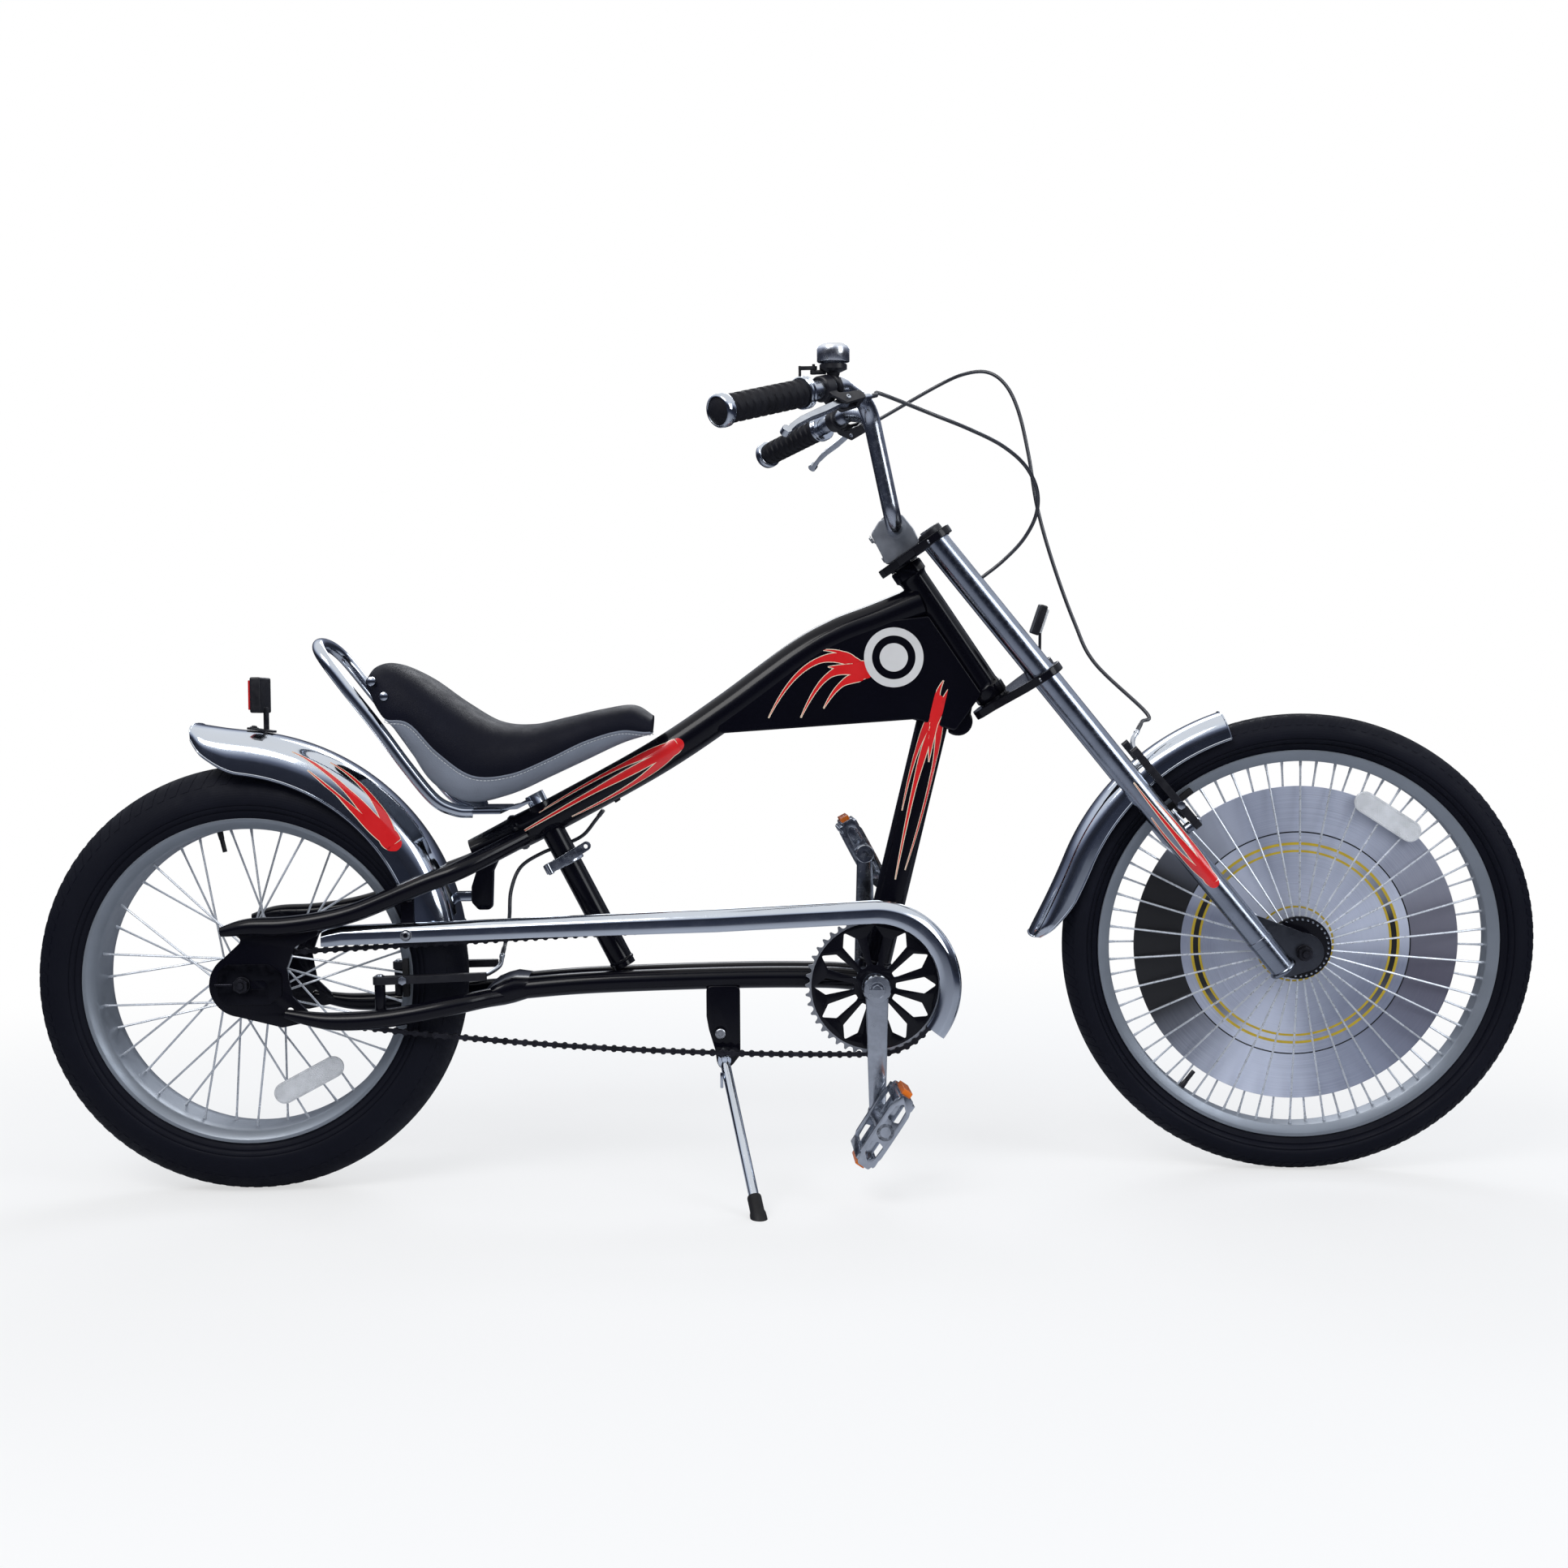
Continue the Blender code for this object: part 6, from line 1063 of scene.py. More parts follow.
def upper_stay_path(side):
    points = ((0.352, 0.022, 0.458), (0.31, 0.05, 0.437), (0.27, 0.07, 0.418), (0.225, 0.073, 0.401),
        (0.184, 0.073, 0.384), (0.143, 0.073, 0.368), (0.102, 0.073, 0.358), (0.055, 0.073, 0.352),
        (0.01, 0.073, 0.351), (-0.024, 0.073, 0.345))
    return [(x, side * y, z) for x, y, z in points]


def lower_stay_path(side):
    points = ((0.33, 0.03, 0.254), (0.3, 0.044, 0.251), (0.266, 0.06, 0.246), (0.225, 0.068, 0.239),
        (0.184, 0.071, 0.233), (0.143, 0.073, 0.23), (0.102, 0.073, 0.231), (0.055, 0.073, 0.24))
    return [(x, side * y, z) for x, y, z in points]


def shares_along(count, start, end):
    """Tube sizes that flatten towards one end, given over the last part of a path."""
    sizes = []
    for i in range(count):
        t = max(0.0, (i / (count - 1) - start) / (1 - start))
        sizes.append(1.0 - (1.0 - end) * t * t)
    return sizes


def brake_point(brake, along, side, across=0.0):
    centre, heading = brake["axle"], radians(brake["heading"])
    out = Vector((cos(heading), 0, sin(heading)))
    beside = Vector((-sin(heading), 0, cos(heading)))
    return centre + out * along + Y * side + beside * across


REAR_BRAKE = {"axle": REAR_AXLE, "heading": 1, "pivot": 0.172, "pad": 0.202, "tip": 0.302,
    "rim_half": 0.041, "spread": 0.066, "tip_spread": 0.058, "clear": -0.04,
    "noodle": ((-0.004, 0.058, 0.0), (0.006, 0.04, 0.002), (0.016, 0.02, 0.008), (0.018, 0.006, 0.02))}
FRONT_BRAKE = {"axle": FRONT_AXLE, "heading": 130, "pivot": 0.221, "pad": 0.2515, "tip": 0.342,
    "rim_half": 0.016, "spread": 0.05, "tip_spread": 0.045, "clear": 0.03,
    "noodle": ((-0.004, 0.045, 0.0), (0.004, 0.036, -0.002), (0.01, 0.026, -0.008), (0.014, 0.018, -0.02))}


def brake_stud(shape, brake, side):
    root = brake_point(brake, brake["pivot"], side * brake["spread"], brake["clear"])
    sign = -1 if brake["clear"] > 0 else 1
    end = brake_point(brake, brake["pivot"], side * brake["spread"], sign * 0.0068)
    shape.rod(root, end, 0.004, 20)
    way = (end - root).normalized()
    shape.rod(root, root + way * ((end - root).length - 0.0125), 0.0068, 24, bevel=0.0006)


def make_stay(side):
    shape = Shape()
    for points, start in ((upper_stay_path(side), 0.8), (lower_stay_path(side), 0.72)):
        path = smooth(points, 8)
        shape.sweep(path, 0.012, 28, shares_along(len(path), start, 0.5))
    outline = [(-0.024, 0.35), (0.002, 0.334), *arc((0.0, REAR_RADIUS), 0.041, 122, 262, 40),
        (0.05, 0.222), (0.088, 0.23), (0.08, 0.244), (0.062, 0.262), (0.056, 0.296), (0.066, 0.324),
        (0.096, 0.339), (0.096, 0.352)]
    hole = circle((0.06, 0.243), 0.0045, 24)
    shape.slab([softened(outline, 0.006), hole], 0.005, side_frame(side * 0.0665), 0.001, 3)
    brake_stud(shape, REAR_BRAKE, side)
    if side == RIGHT:
        place = Vector((0.207, -0.0635 + 0.0027, 0.0))
        shape.box((0.016, 0.003, 0.05), frame_of(place + Z * 0.359, X, Y), 0.0008)
        shape.box((0.014, 0.012, 0.012), frame_of(place + Vector((0, -0.003, 0.386)), X, Y), 0.002, 3)
        shape.rod(place + Z * 0.338, (0.207, -0.0755, 0.338), 0.003, 16)
    name = SIDES[side]
    shape.dress("wheel_stay_" + name, "frame", "frame_paint",
        "stay_" + name, sharp=40)


def make_dropout_covers():
    """The bare grey facings round the axle slots, with the chain adjusters."""
    shape = Shape()
    for side in SIDES:
        outline = softened([(-0.03, 0.293), (-0.02, 0.303), (0.034, 0.303), (0.05, 0.291),
            (0.05, 0.264), (0.034, 0.252), (-0.02, 0.252), (-0.03, 0.262)], 0.007)
        slot = capsule((-0.004, 0.277), 0.0056, (0.026, 0.277), 0.0056, 10)
        shape.slab([outline, slot], 0.0012, side_frame(side * 0.0697), 0.0003, 2)
        shape.rod((-0.034, side * 0.069, 0.277), (-0.012, side * 0.069, 0.277), 0.0022, 16)
    shape.dress("axle_plates", "frame", "dropout_grey")


def make_guard_bolt():
    shape = Shape()
    seat = Vector((0.207, -0.0726, 0.338))
    shape.bolt(seat, (0, -1, 0), 0.0056, 0.0035, 0.0075)
    shape.bolt(Vector((0.604, -0.04, 0.201)), (0, -1, 0), 0.007, 0.0045)
    shape.dress("guard_bolt", "frame", "bolt_steel")


# Painted flames

INK_DEPTH = 0.0003


def offset_outline(outline, amount):
    """A closed outline moved outwards by an amount."""
    count = len(outline)
    points = [Vector(point) for point in outline]
    area = sum(a.x * b.y - b.x * a.y for a, b in zip(points, points[1:] + points[:1]))
    sign = 1 if area > 0 else -1
    result = []
    for i in range(count):
        way = points[(i + 1) % count] - points[i - 1]
        if way.length < 1e-9:
            result.append(tuple(points[i]))
            continue
        normal = Vector((way.y, -way.x)).normalized() * sign
        result.append(tuple(points[i] + normal * amount))
    return result


def decal(name, outlines, onto, grid, body, slot, finish, lift):
    """A thin painted shape laid over a surface by a rule from flat places to the surface."""
    part = filled(outlines)
    for axis, normal in enumerate((X, Y)):
        low = min(v.co[axis] for v in part.verts)
        high = max(v.co[axis] for v in part.verts)
        cuts = max(1, ceil((high - low) / grid[axis]))
        for i in range(1, cuts):
            spot = normal * (low + (high - low) * i / cuts)
            everything = part.verts[:] + part.edges[:] + part.faces[:]
            bmesh.ops.bisect_plane(part, geom=everything, plane_co=spot, plane_no=normal, dist=1e-7)
    bmesh.ops.triangulate(part, faces=part.faces)
    for face in part.faces:
        face.normal_update()
        if face.normal.z < 0:
            face.normal_flip()
    made = bmesh.new()
    upper = {vert: made.verts.new(onto(vert.co.x, vert.co.y, lift)) for vert in part.verts}
    lower = {vert: made.verts.new(onto(vert.co.x, vert.co.y, lift - INK_DEPTH)) for vert in part.verts}
    for face in part.faces:
        made.faces.new([upper[v] for v in face.verts])
        made.faces.new([lower[v] for v in reversed(face.verts)])
    for edge in part.edges:
        if len(edge.link_faces) == 1:
            a, b = edge.verts
            made.faces.new((upper[a], lower[a], lower[b], upper[b]))
    shape = Shape().add(made, Matrix.Identity(4))
    part.free()
    shape.dress(name, body, finish, sharp=50, slot=slot)


def lick(line, width, steps=26):
    """One tongue of flame: a stroke with a round head that thins to a point along a bent line."""
    a, b, c, d = [Vector(point) for point in line]
    centres = []
    for i in range(steps + 1):
        t = i / steps
        u = 1 - t
        centres.append(a * u**3 + b * 3 * u * u * t + c * 3 * u * t * t + d * t**3)
    first, second = [], []
    for i, spot in enumerate(centres):
        way = centres[min(i + 1, steps)] - centres[max(i - 1, 0)]
        across = Vector((-way.y, way.x)).normalized()
        t = i / steps
        half = width * (1 - t) ** 0.85 * (1 + 0.35 * sin(pi * min(1.0, t * 2.2)) * (t < 0.4545))
        first.append(spot + across * max(half, 0.00004))
        second.append(spot - across * max(half, 0.00004))
    way = centres[0] - centres[1]
    heading = degrees(atan2(way.y, way.x))
    head = arc(centres[0], width, heading - 90, heading + 90, 16)[1:-1]
    return [tuple(p) for p in reversed(second)] + head + [tuple(p) for p in first]


def painted(name, licks, foot, turn, onto, grid=(0.006, 0.003), body="frame", slot="black_paint"):
    """Tongues of flame laid over a surface one upon another, each with its pale edge."""
    for i, (line, width) in enumerate(licks):
        outline = [(foot[0] + turn[0] * x, foot[1] + turn[1] * y) for x, y in lick(line, width)]
        word = name + "_" + str(i + 1)
        level = 0.00014 + 0.00004 * i
        decal(word + "_edge", [offset_outline(outline, 0.0009)], onto, grid, body, slot, "flame_edge", level)
        decal(word, [outline], onto, grid, body, slot, "flame_red", level + 0.00016)


def on_path(path, radius_of, side):
    """A rule that lays flat places on a tube: X back along its path and Y up round it."""
    lengths = [0.0]
    for a, b in zip(path, path[1:]):
        lengths.append(lengths[-1] + (b - a).length)

    def onto(u, v, lift):
        reach = max(0.0, min(lengths[-1] - 1e-6, u))
        i = max(j for j in range(len(path) - 1) if lengths[j] <= reach)
        share = (reach - lengths[i]) / (lengths[i + 1] - lengths[i])
        centre = path[i].lerp(path[i + 1], share)
        way = (path[i + 1] - path[i]).normalized()
        up = Vector((0, side, 0)).cross(way) * side
        if up.z < 0 or (abs(up.z) < 0.2 and up.x < 0):
            up = -up
        radius = radius_of(centre.x)
        angle = v / radius
        return centre + (Y * side * cos(angle) + up * sin(angle)) * (radius + lift)

    return onto


TUBE_LICKS = ((((-0.004, -0.003), (-0.05, -0.016), (-0.1, -0.018), (-0.165, -0.014)), 0.0046),
    (((-0.004, 0.003), (-0.05, 0.016), (-0.11, 0.02), (-0.2, 0.012)), 0.0046),
    (((-0.03, 0.0), (-0.09, 0.003), (-0.17, 0.004), (-0.25, -0.003)), 0.0042),
    (((0.0, 0.0), (-0.018, 0.0), (-0.04, 0.0), (-0.07, -0.002)), 0.0088))
SLANT_LICKS = ((((-0.008, -0.002), (-0.05, -0.016), (-0.11, -0.019), (-0.225, -0.008)), 0.0044),
    (((-0.008, 0.002), (-0.05, 0.015), (-0.09, 0.018), (-0.15, 0.015)), 0.0042),
    (((-0.04, 0.002), (-0.09, 0.008), (-0.15, 0.006), (-0.24, 0.002)), 0.0036),
    (((-0.004, 0.003), (0.008, 0.006), (0.018, 0.004), (0.028, 0.001)), 0.004),
    (((-0.004, -0.004), (0.004, -0.006), (0.01, -0.006), (0.018, -0.008)), 0.0038),
    (((0.0, 0.001), (-0.016, 0.001), (-0.045, 0.0), (-0.08, -0.005)), 0.0082))
LEG_LICKS = ((((-0.004, -0.002), (-0.04, -0.012), (-0.08, -0.014), (-0.115, -0.01)), 0.0036),
    (((-0.003, 0.002), (-0.045, 0.012), (-0.08, 0.014), (-0.13, 0.008)), 0.0038),
    (((-0.02, 0.0), (-0.06, 0.001), (-0.11, -0.001), (-0.165, 0.001)), 0.0036),
    (((0.0, 0.0), (-0.015, 0.0), (-0.03, 0.0), (-0.05, 0.001)), 0.0074))
FENDER_LICKS = ((((-0.006, -0.003), (-0.045, -0.016), (-0.09, -0.028), (-0.14, -0.03)), 0.0052),
    (((-0.004, 0.003), (-0.05, 0.012), (-0.1, 0.008), (-0.16, -0.006)), 0.0056),
    (((-0.03, 0.0), (-0.08, -0.002), (-0.13, -0.014), (-0.19, -0.022)), 0.0052),
    (((0.0, 0.0), (-0.02, 0.0), (-0.045, -0.002), (-0.08, -0.008)), 0.0108))
TANK_LICKS = ((((-0.045, -0.01), (-0.08, 0.012), (-0.125, 0.002), (-0.164, -0.078)), 0.0058),
    (((-0.046, -0.018), (-0.078, -0.008), (-0.098, -0.026), (-0.122, -0.078)), 0.0056),
    (((-0.044, -0.026), (-0.064, -0.026), (-0.078, -0.04), (-0.092, -0.066)), 0.005),
    (((-0.05, -0.006), (-0.062, 0.006), (-0.076, 0.01), (-0.094, 0.01)), 0.0038),
    (((-0.0365, -0.017), (-0.048, -0.016), (-0.06, -0.012), (-0.086, -0.012)), 0.0105))
RING_PLACE = (0.834, 0.688)


def on_tank(side):
    """A rule that lays flat places on the flat panel behind the head tube."""
    return lambda u, v, lift: Vector((u, side * (TANK_HALF + lift), v))


def make_flames():
    backbone = backbone_line(8)
    above = SLANT_TOP + (SLANT_TOP - BRACKET).normalized() * 0.04
    down = [above.lerp(BRACKET, i / 14) for i in range(15)]
    top, bottom = leg_line(RIGHT)
    foot = (bottom - top).length - 0.151
    for side, word in SIDES.items():
        main = on_path(backbone, backbone_radius, side)
        painted("tube_flame_" + word, TUBE_LICKS, (0.372, 0), (-1, 1), main)
        painted("tank_flame_" + word, TANK_LICKS, RING_PLACE, (1, 1), on_tank(side), (0.02, 0.02))
        tube = on_path(down, lambda x: SLANT_RADIUS, side)
        painted("slant_flame_" + word, SLANT_LICKS, (0.04, 0), (-1, 1), tube)
        shift = Y * (side - RIGHT) * LEG_SPREAD
        line = [(top + shift).lerp(bottom + shift, i / 12) for i in range(13)]
        leg = on_path(line, lambda x: LEG_RADIUS, side)
        painted("leg_flame_" + word, LEG_LICKS, (foot, 0), (1, 1), leg, body="steering", slot="chrome")
        fender = fender_rule(REAR_FENDER_CENTRE, REAR_FENDER, side)
        painted("fender_flame_" + word, FENDER_LICKS, (0.138, 0.023), (-1, -1), fender, (0.006, 0.0025),
            slot="chrome")
        for name, radii, steps in (("tank_ring_", (0.039, 0.0285), 72), ("tank_inner_disc_", (0.0185,), 56)):
            outlines = [circle(RING_PLACE, radius, steps) for radius in radii]
            decal(name + word, outlines, on_tank(side), (0.1, 0.1), "frame", "black_paint", "badge_grey",
                0.0007)


def steer_point(up, forward=0.0, side=0.0):
    return HEAD + STEER_UP * up + STEER_FORWARD * forward + Y * side


def leg_line(side):
    top = steer_point(CROWN_UP + 0.012, LEG_TOP_OFFSET, side * LEG_SPREAD)
    return top, FRONT_AXLE + Vector((-0.0265, 0, -0.0218)) + Y * side * LEG_SPREAD


# Wheels

def tyre_profile(radius, half, rim_radius, rim_half, grooves):
    """The tyre's section: beads inside the rim, ribbed walls and a grooved crown."""
    middle = radius - half * 0.98
    bead = rim_half - 0.003 - GAP
    seat = rim_radius - 0.007 + GAP
    lip = rim_radius + 0.0015
    outer = [(seat, bead), (lip - 0.0008, bead)]
    for i in range(6):
        t = (i + 1) / 6
        bulge = sin(t * pi / 2)
        outer.append((lip + (middle - lip) * t, bead + (half - bead) * bulge))
        if i in (1, 3):
            x, y = outer[-1]
            rib = ((0.0006, -0.0001), (0.0009, -0.0007), (0.0016, -0.0007), (0.002, 0.0002))
            outer += [(x + a, y + b) for a, b in rib]
    steps = 20
    for i in range(1, steps + 1):
        angle = radians(90 - 90 * i / steps)
        reach = middle + (radius - middle) * cos(angle)
        y = half * sin(angle)
        for spot, depth in grooves:
            if abs(y - spot) < 0.0016:
                reach -= depth
        outer.append((reach, y))
    return outer + mirrored(outer[:-1])


def make_tyre(word, centre, radius, half, rim, lugs, lug_size, level):
    """A tyre with its tread; level is the share of its length kept, as the CAD tyre has flats."""
    name = word + "_tyre_moulded"
    skin_radius, skin_half = radius - 0.0008, half - 0.0002
    profile = tyre_profile(skin_radius, skin_half, rim["radius"], rim["half"], ((half * 0.2, 0.0012),))
    carcass = Shape().revolve(profile, Matrix.Identity(4), 160, ring=True).object("carcass", 60)
    middle = radius - half * 0.98
    rings = []
    for row in range(5):
        share = row / 4
        angle = radians(16 + 44 * share)
        turn = lug_size * (0.9 * share**1.6)
        wide = lug_size * (0.88 - 0.1 * share)
        ring = []
        for way, lift in ((-1, -0.001), (-1, 0.0004), (1, 0.0004), (1, -0.001)):
            reach = middle + (skin_radius - middle) * cos(angle) + lift * cos(angle)
            side = skin_half * sin(angle) + lift * sin(angle)
            spin = (turn + way * wide / 2) / radius
            ring.append(Vector((reach * cos(spin), reach * sin(spin), side)))
        rings.append(ring)
    block = Shape().skin(rings).skin([[Vector((p.x, -p.y, -p.z)) for p in ring] for ring in rings])
    whole = bmesh.new()
    whole.from_mesh(carcass.data)
    whole.from_mesh(around(block.object("lug", 30), lugs, "tyre_rubber"))
    bmesh.ops.scale(whole, vec=(level, 1.0, 1.0), verts=whole.verts)
    bpy.data.objects.remove(carcass, do_unlink=True)
    placed(baked(whole, name), axle_frame(centre), name, word + "_wheel", "tyre_rubber", word + "_tyre",
        sharp=45)


def make_rim(word, centre, rim, valve_angle):
    """A rim with its well for the tyre, and the valve with its cap."""
    radius, half, depth = rim["radius"], rim["half"], rim["depth"]
    well = radius - 0.007
    inner = radius - depth
    outside = [(radius - 0.0006, half), (radius, half - 0.0006), (radius, half - 0.0024),
        (radius - 0.0006, half - 0.003), (well, half - 0.003)]
    inside = [(inner - 0.0004, half * 0.4), (inner, half * 0.72), (inner + 0.0012, half * 0.8),
        (radius - depth * 0.34, half - 0.0005), (radius - depth * 0.28, half)]
    profile = outside + mirrored(outside) + mirrored(inside) + [(inner, 0.0)] + inside
    shape = Shape().revolve(profile, axle_frame(centre), 160, ring=True)
    shape.dress(word + "_rim_dressed", word + "_wheel", "rim_grey", word + "_rim", sharp=30)
    heading = ray(valve_angle)
    root = centre + heading * (inner + 0.001)
    valve = Shape()
    valve.rod(root, root - heading * 0.012, 0.004, 20, 0.0033, 0.0006)
    valve.rod(root - heading * 0.011, root - heading * 0.0285, 0.003, 20, 0.0029, 0.0005)
    valve.dress(word + "_rim_dressed_valve", word + "_wheel", "black_plastic", slot="rim_grey")


def spoke_unit(head_at, reach, side_at, side_to, turn):
    """One spoke with its bent head and nipple, from its hole in the flange to the rim."""
    shape = Shape()
    inner = Vector((head_at * cos(turn), head_at * sin(turn), side_at))
    outer = Vector((reach, 0, side_to))
    way = (outer - inner).normalized()
    shape.sweep([inner, inner.lerp(outer, 0.5), outer], 0.0014, 8)
    nipple = [outer - way * 0.011, outer - way * 0.003, outer + way * 0.0008]
    shape.sweep(nipple, 0.0019, 8, [0.72, 1.0, 1.0])
    return shape


def make_rear_spokes(count):
    inner = REAR_RIM["radius"] - REAR_RIM["depth"]
    parts = bmesh.new()
    for first, side in ((0, RIGHT), (1, LEFT)):
        for index, way in ((first, -1), (first + 2, 1)):
            cross = way * 0.00125
            unit = spoke_unit(0.03, inner - GAP, -side * (0.03 + cross), -side * (0.012 + cross),
                way * radians(58))
            start = 2 * pi * index / count
            parts.from_mesh(around(unit.object("spoke", 40), count // 4, "spoke_steel", start))
    placed(baked(parts, "rear_spokes"), axle_frame(REAR_AXLE), "rear_spokes", "rear_wheel", "spoke_steel",
        "rear_hub")


def hub_mesh(body_radius, flange_radius, flange_side, end):
    bore, nose, half = 0.0054, 0.0114, 0.0025
    right = [(bore, end), (nose - 0.0008, end), (nose, end - 0.0008), (nose, flange_side + half + 0.004),
        (nose + 0.004, flange_side + half), (flange_radius - 0.0008, flange_side + half),
        (flange_radius, flange_side + half - 0.0008), (flange_radius, flange_side - half + 0.0008),
        (flange_radius - 0.0008, flange_side - half), (body_radius + 0.004, flange_side - half),
        (body_radius + 0.0008, flange_side - half - 0.0035), (body_radius, flange_side - half - 0.006)]
    profile = right + [(body_radius - 0.001, 0.0)] + mirrored(right)
    return evaluated(Shape().revolve(profile, Matrix.Identity(4), 72, ring=True).object("hub"))


def make_rear_hub():
    mesh = hub_mesh(0.02, 0.034, 0.03, 0.061)
    placed(mesh, axle_frame(REAR_AXLE), "rear_hub_shell", "rear_wheel", "alloy")


def make_front_spokes(count):
    inner = FRONT_RIM["radius"] - FRONT_RIM["depth"]
    parts = bmesh.new()
    for index, side in ((0, RIGHT), (1, LEFT)):
        unit = spoke_unit(0.038, inner - GAP, -side * 0.024, -side * 0.0035, 0.0)
        parts.from_mesh(around(unit.object("spoke", 40), count // 2, "spoke_steel", 2 * pi * index / count))
    placed(baked(parts, "front_spokes"), axle_frame(FRONT_AXLE), "front_spokes", "front_wheel", "spoke_steel",
        "front_hub")


def make_front_hub():
    place = axle_frame(FRONT_AXLE)
    placed(hub_mesh(0.016, 0.042, 0.024, 0.03), place, "front_hub_shell", "front_wheel", "part_paint",
        slot="silver")
    heads = Shape()
    for side in SIDES:
        face = -side * (0.024 + 0.0025)
        start = Vector((0.038, 0, face - 0.0004 * -side))
        heads.rod(start, start + Vector((0, 0, -side * 0.0016)), 0.002, 12, 0.0014, 0.0003)
    mesh = around(heads.object("head", 40), 34, "chrome")
    placed(mesh, place, "spoke_heads", "front_wheel", "chrome", slot="silver")


def make_disc():
    half = 0.0008
    bore = 0.0163
    shape = Shape()
    profile = [(bore, half), (0.06, half), (0.148, half), (0.2106, half), (0.211, half - GAP)]
    profile += mirrored(profile)
    shape.revolve(profile, axle_frame(FRONT_AXLE), 160, ring=True)
    shape.dress("wheel_disc", "front_wheel", "disc_print", "front_disc", sharp=30)


def make_axle(word, centre, body, inner, outer):
    """An axle with a spacer, a washer and a nut on each side."""
    shape = Shape().rod(centre - Y * (outer + 0.011), centre + Y * (outer + 0.011), 0.0046, 24)
    washer = outer + 0.0019
    for side in SIDES:
        way = Y * side
        for radius, low, high in ((0.009, inner[0] + GAP, inner[1] - GAP), (0.0105, outer + GAP, washer)):
            shape.revolve(ring_profile(0.0049, radius, low, high), along_frame(centre, way, X), 32, True)
        shape.nut(centre + way * washer, way, 0.0172, 0.0075, 0.0047)
    shape.dress(word + "_axle_nuts", body, "chain_steel", word + "_axle")


def make_wheel_reflector(word, centre, angle, radius, side):
    """A clear reflector between the spokes, with a raised rim."""
    heading = ray(angle)
    place = frame_of(centre + heading * radius + Y * side, (-heading.z, 0, heading.x), heading)
    sizes = (0.014, 0.0125, 0.0112)
    outer, inner, hollow = [capsule((-0.035, 0), size, (0.035, 0), size, 16) for size in sizes]
    shape = Shape().slab([outer], 0.004, place, 0.001, 3).slab([inner, hollow], 0.0046, place, 0.0003, 1)
    shape.dress(word + "_spoke_reflector", word + "_wheel", "lens_clear", word + "_wheel_reflector")


def make_rear_wheel(count):
    make_tyre("rear", REAR_AXLE, REAR_RADIUS, REAR_TYRE_HALF, REAR_RIM, 96, 0.0125, 0.9948)
    make_rim("rear", REAR_AXLE, REAR_RIM, 103)
    make_rear_spokes(count)
    make_rear_hub()
    make_wheel_reflector("rear", REAR_AXLE, -62, 0.15, -0.0221)
    make_axle("rear", REAR_AXLE, "frame", (0.061, 0.064), 0.069)


def make_front_wheel(count):
    make_tyre("front", FRONT_AXLE, FRONT_RADIUS, FRONT_TYRE_HALF, FRONT_RIM, 132, 0.0095, 0.9995)
    make_rim("front", FRONT_AXLE, FRONT_RIM, -126)
    make_front_spokes(count)
    make_front_hub()
    make_disc()
    make_wheel_reflector("front", FRONT_AXLE, 57, 0.205, -0.0116)
    make_axle("front", FRONT_AXLE, "steering", (0.03, 0.05), 0.056)


# Drive

def pitch_radius(teeth):
    return PITCH / (2 * sin(pi / teeth))


def chain_pins():
    """The chain's pins round both wheels, with the angle of one pin on each wheel."""
    def on_circle(centre, radius, angle):
        return centre + Vector((cos(angle), sin(angle))) * radius

    ring = Vector((BRACKET.x, BRACKET.z))
    cog = Vector((REAR_AXLE.x, REAR_AXLE.z))
    ring_radius, cog_radius = pitch_radius(RING_TEETH), pitch_radius(COG_TEETH)
    span = ring - cog
    opening = asin((ring_radius - cog_radius) / span.length)
    top = atan2(span.y, span.x) + opening + pi / 2
    start = on_circle(ring, ring_radius, top)
    end = on_circle(cog, cog_radius, top)
    back = (end - start).normalized()
    count = int((end - start).length / PITCH)
    pins = [start + back * PITCH * i for i in range(count + 1)]
    cog_step = 2 * pi / COG_TEETH
    first = top + (1 - (end - pins[-1]).length / PITCH) * cog_step
    wrapped = int((pi - 2 * opening) / cog_step) + 1
    pins += [on_circle(cog, cog_radius, first + cog_step * i) for i in range(wrapped)]
    ring_step = 2 * pi / RING_TEETH
    seated = int((pi + 2 * opening) / ring_step)
    ring_angles = [top - ring_step * i for i in range(seated, 0, -1)]
    low_start = pins[-1]
    low_end = on_circle(ring, ring_radius, ring_angles[0])
    reach = (low_end - low_start).length
    hanging = reach * (1 + 8 / 3 * (CHAIN_SAG / reach) ** 2) / PITCH
    others = len(pins) - 1 + len(ring_angles)
    links = 2 * round((hanging + others) / 2) - others
    for i in range(1, links):
        t = i / links
        pins.append(low_start.lerp(low_end, t) - Vector((0, 4 * CHAIN_SAG * t * (1 - t))))
    pins += [on_circle(ring, ring_radius, angle) for angle in ring_angles]
    return pins, first, ring_angles[0]


PINS, COG_PHASE, RING_PHASE = chain_pins()


def link_unit(sides, thickness, reach):
    """One chain link: two waisted plates and the rollers or rivets of its first pin."""
    shape = Shape()
    half = PITCH / 2
    plate = arc((-half, 0), 0.0042, 34, 326, 12) + arc((half, 0), 0.0042, -146, 146, 12)
    for side in (-1, 1):
        shape.slab([plate], thickness, frame_of((0, side * sides, 0), X, Z), 0.0002, 1)
    for end in (-half, half):
        shape.rod((end, -reach, 0), (end, reach, 0), 0.0018 if reach > 0.003 else 0.0037, 12, bevel=0.0002)
    return shape.object("link", 40)


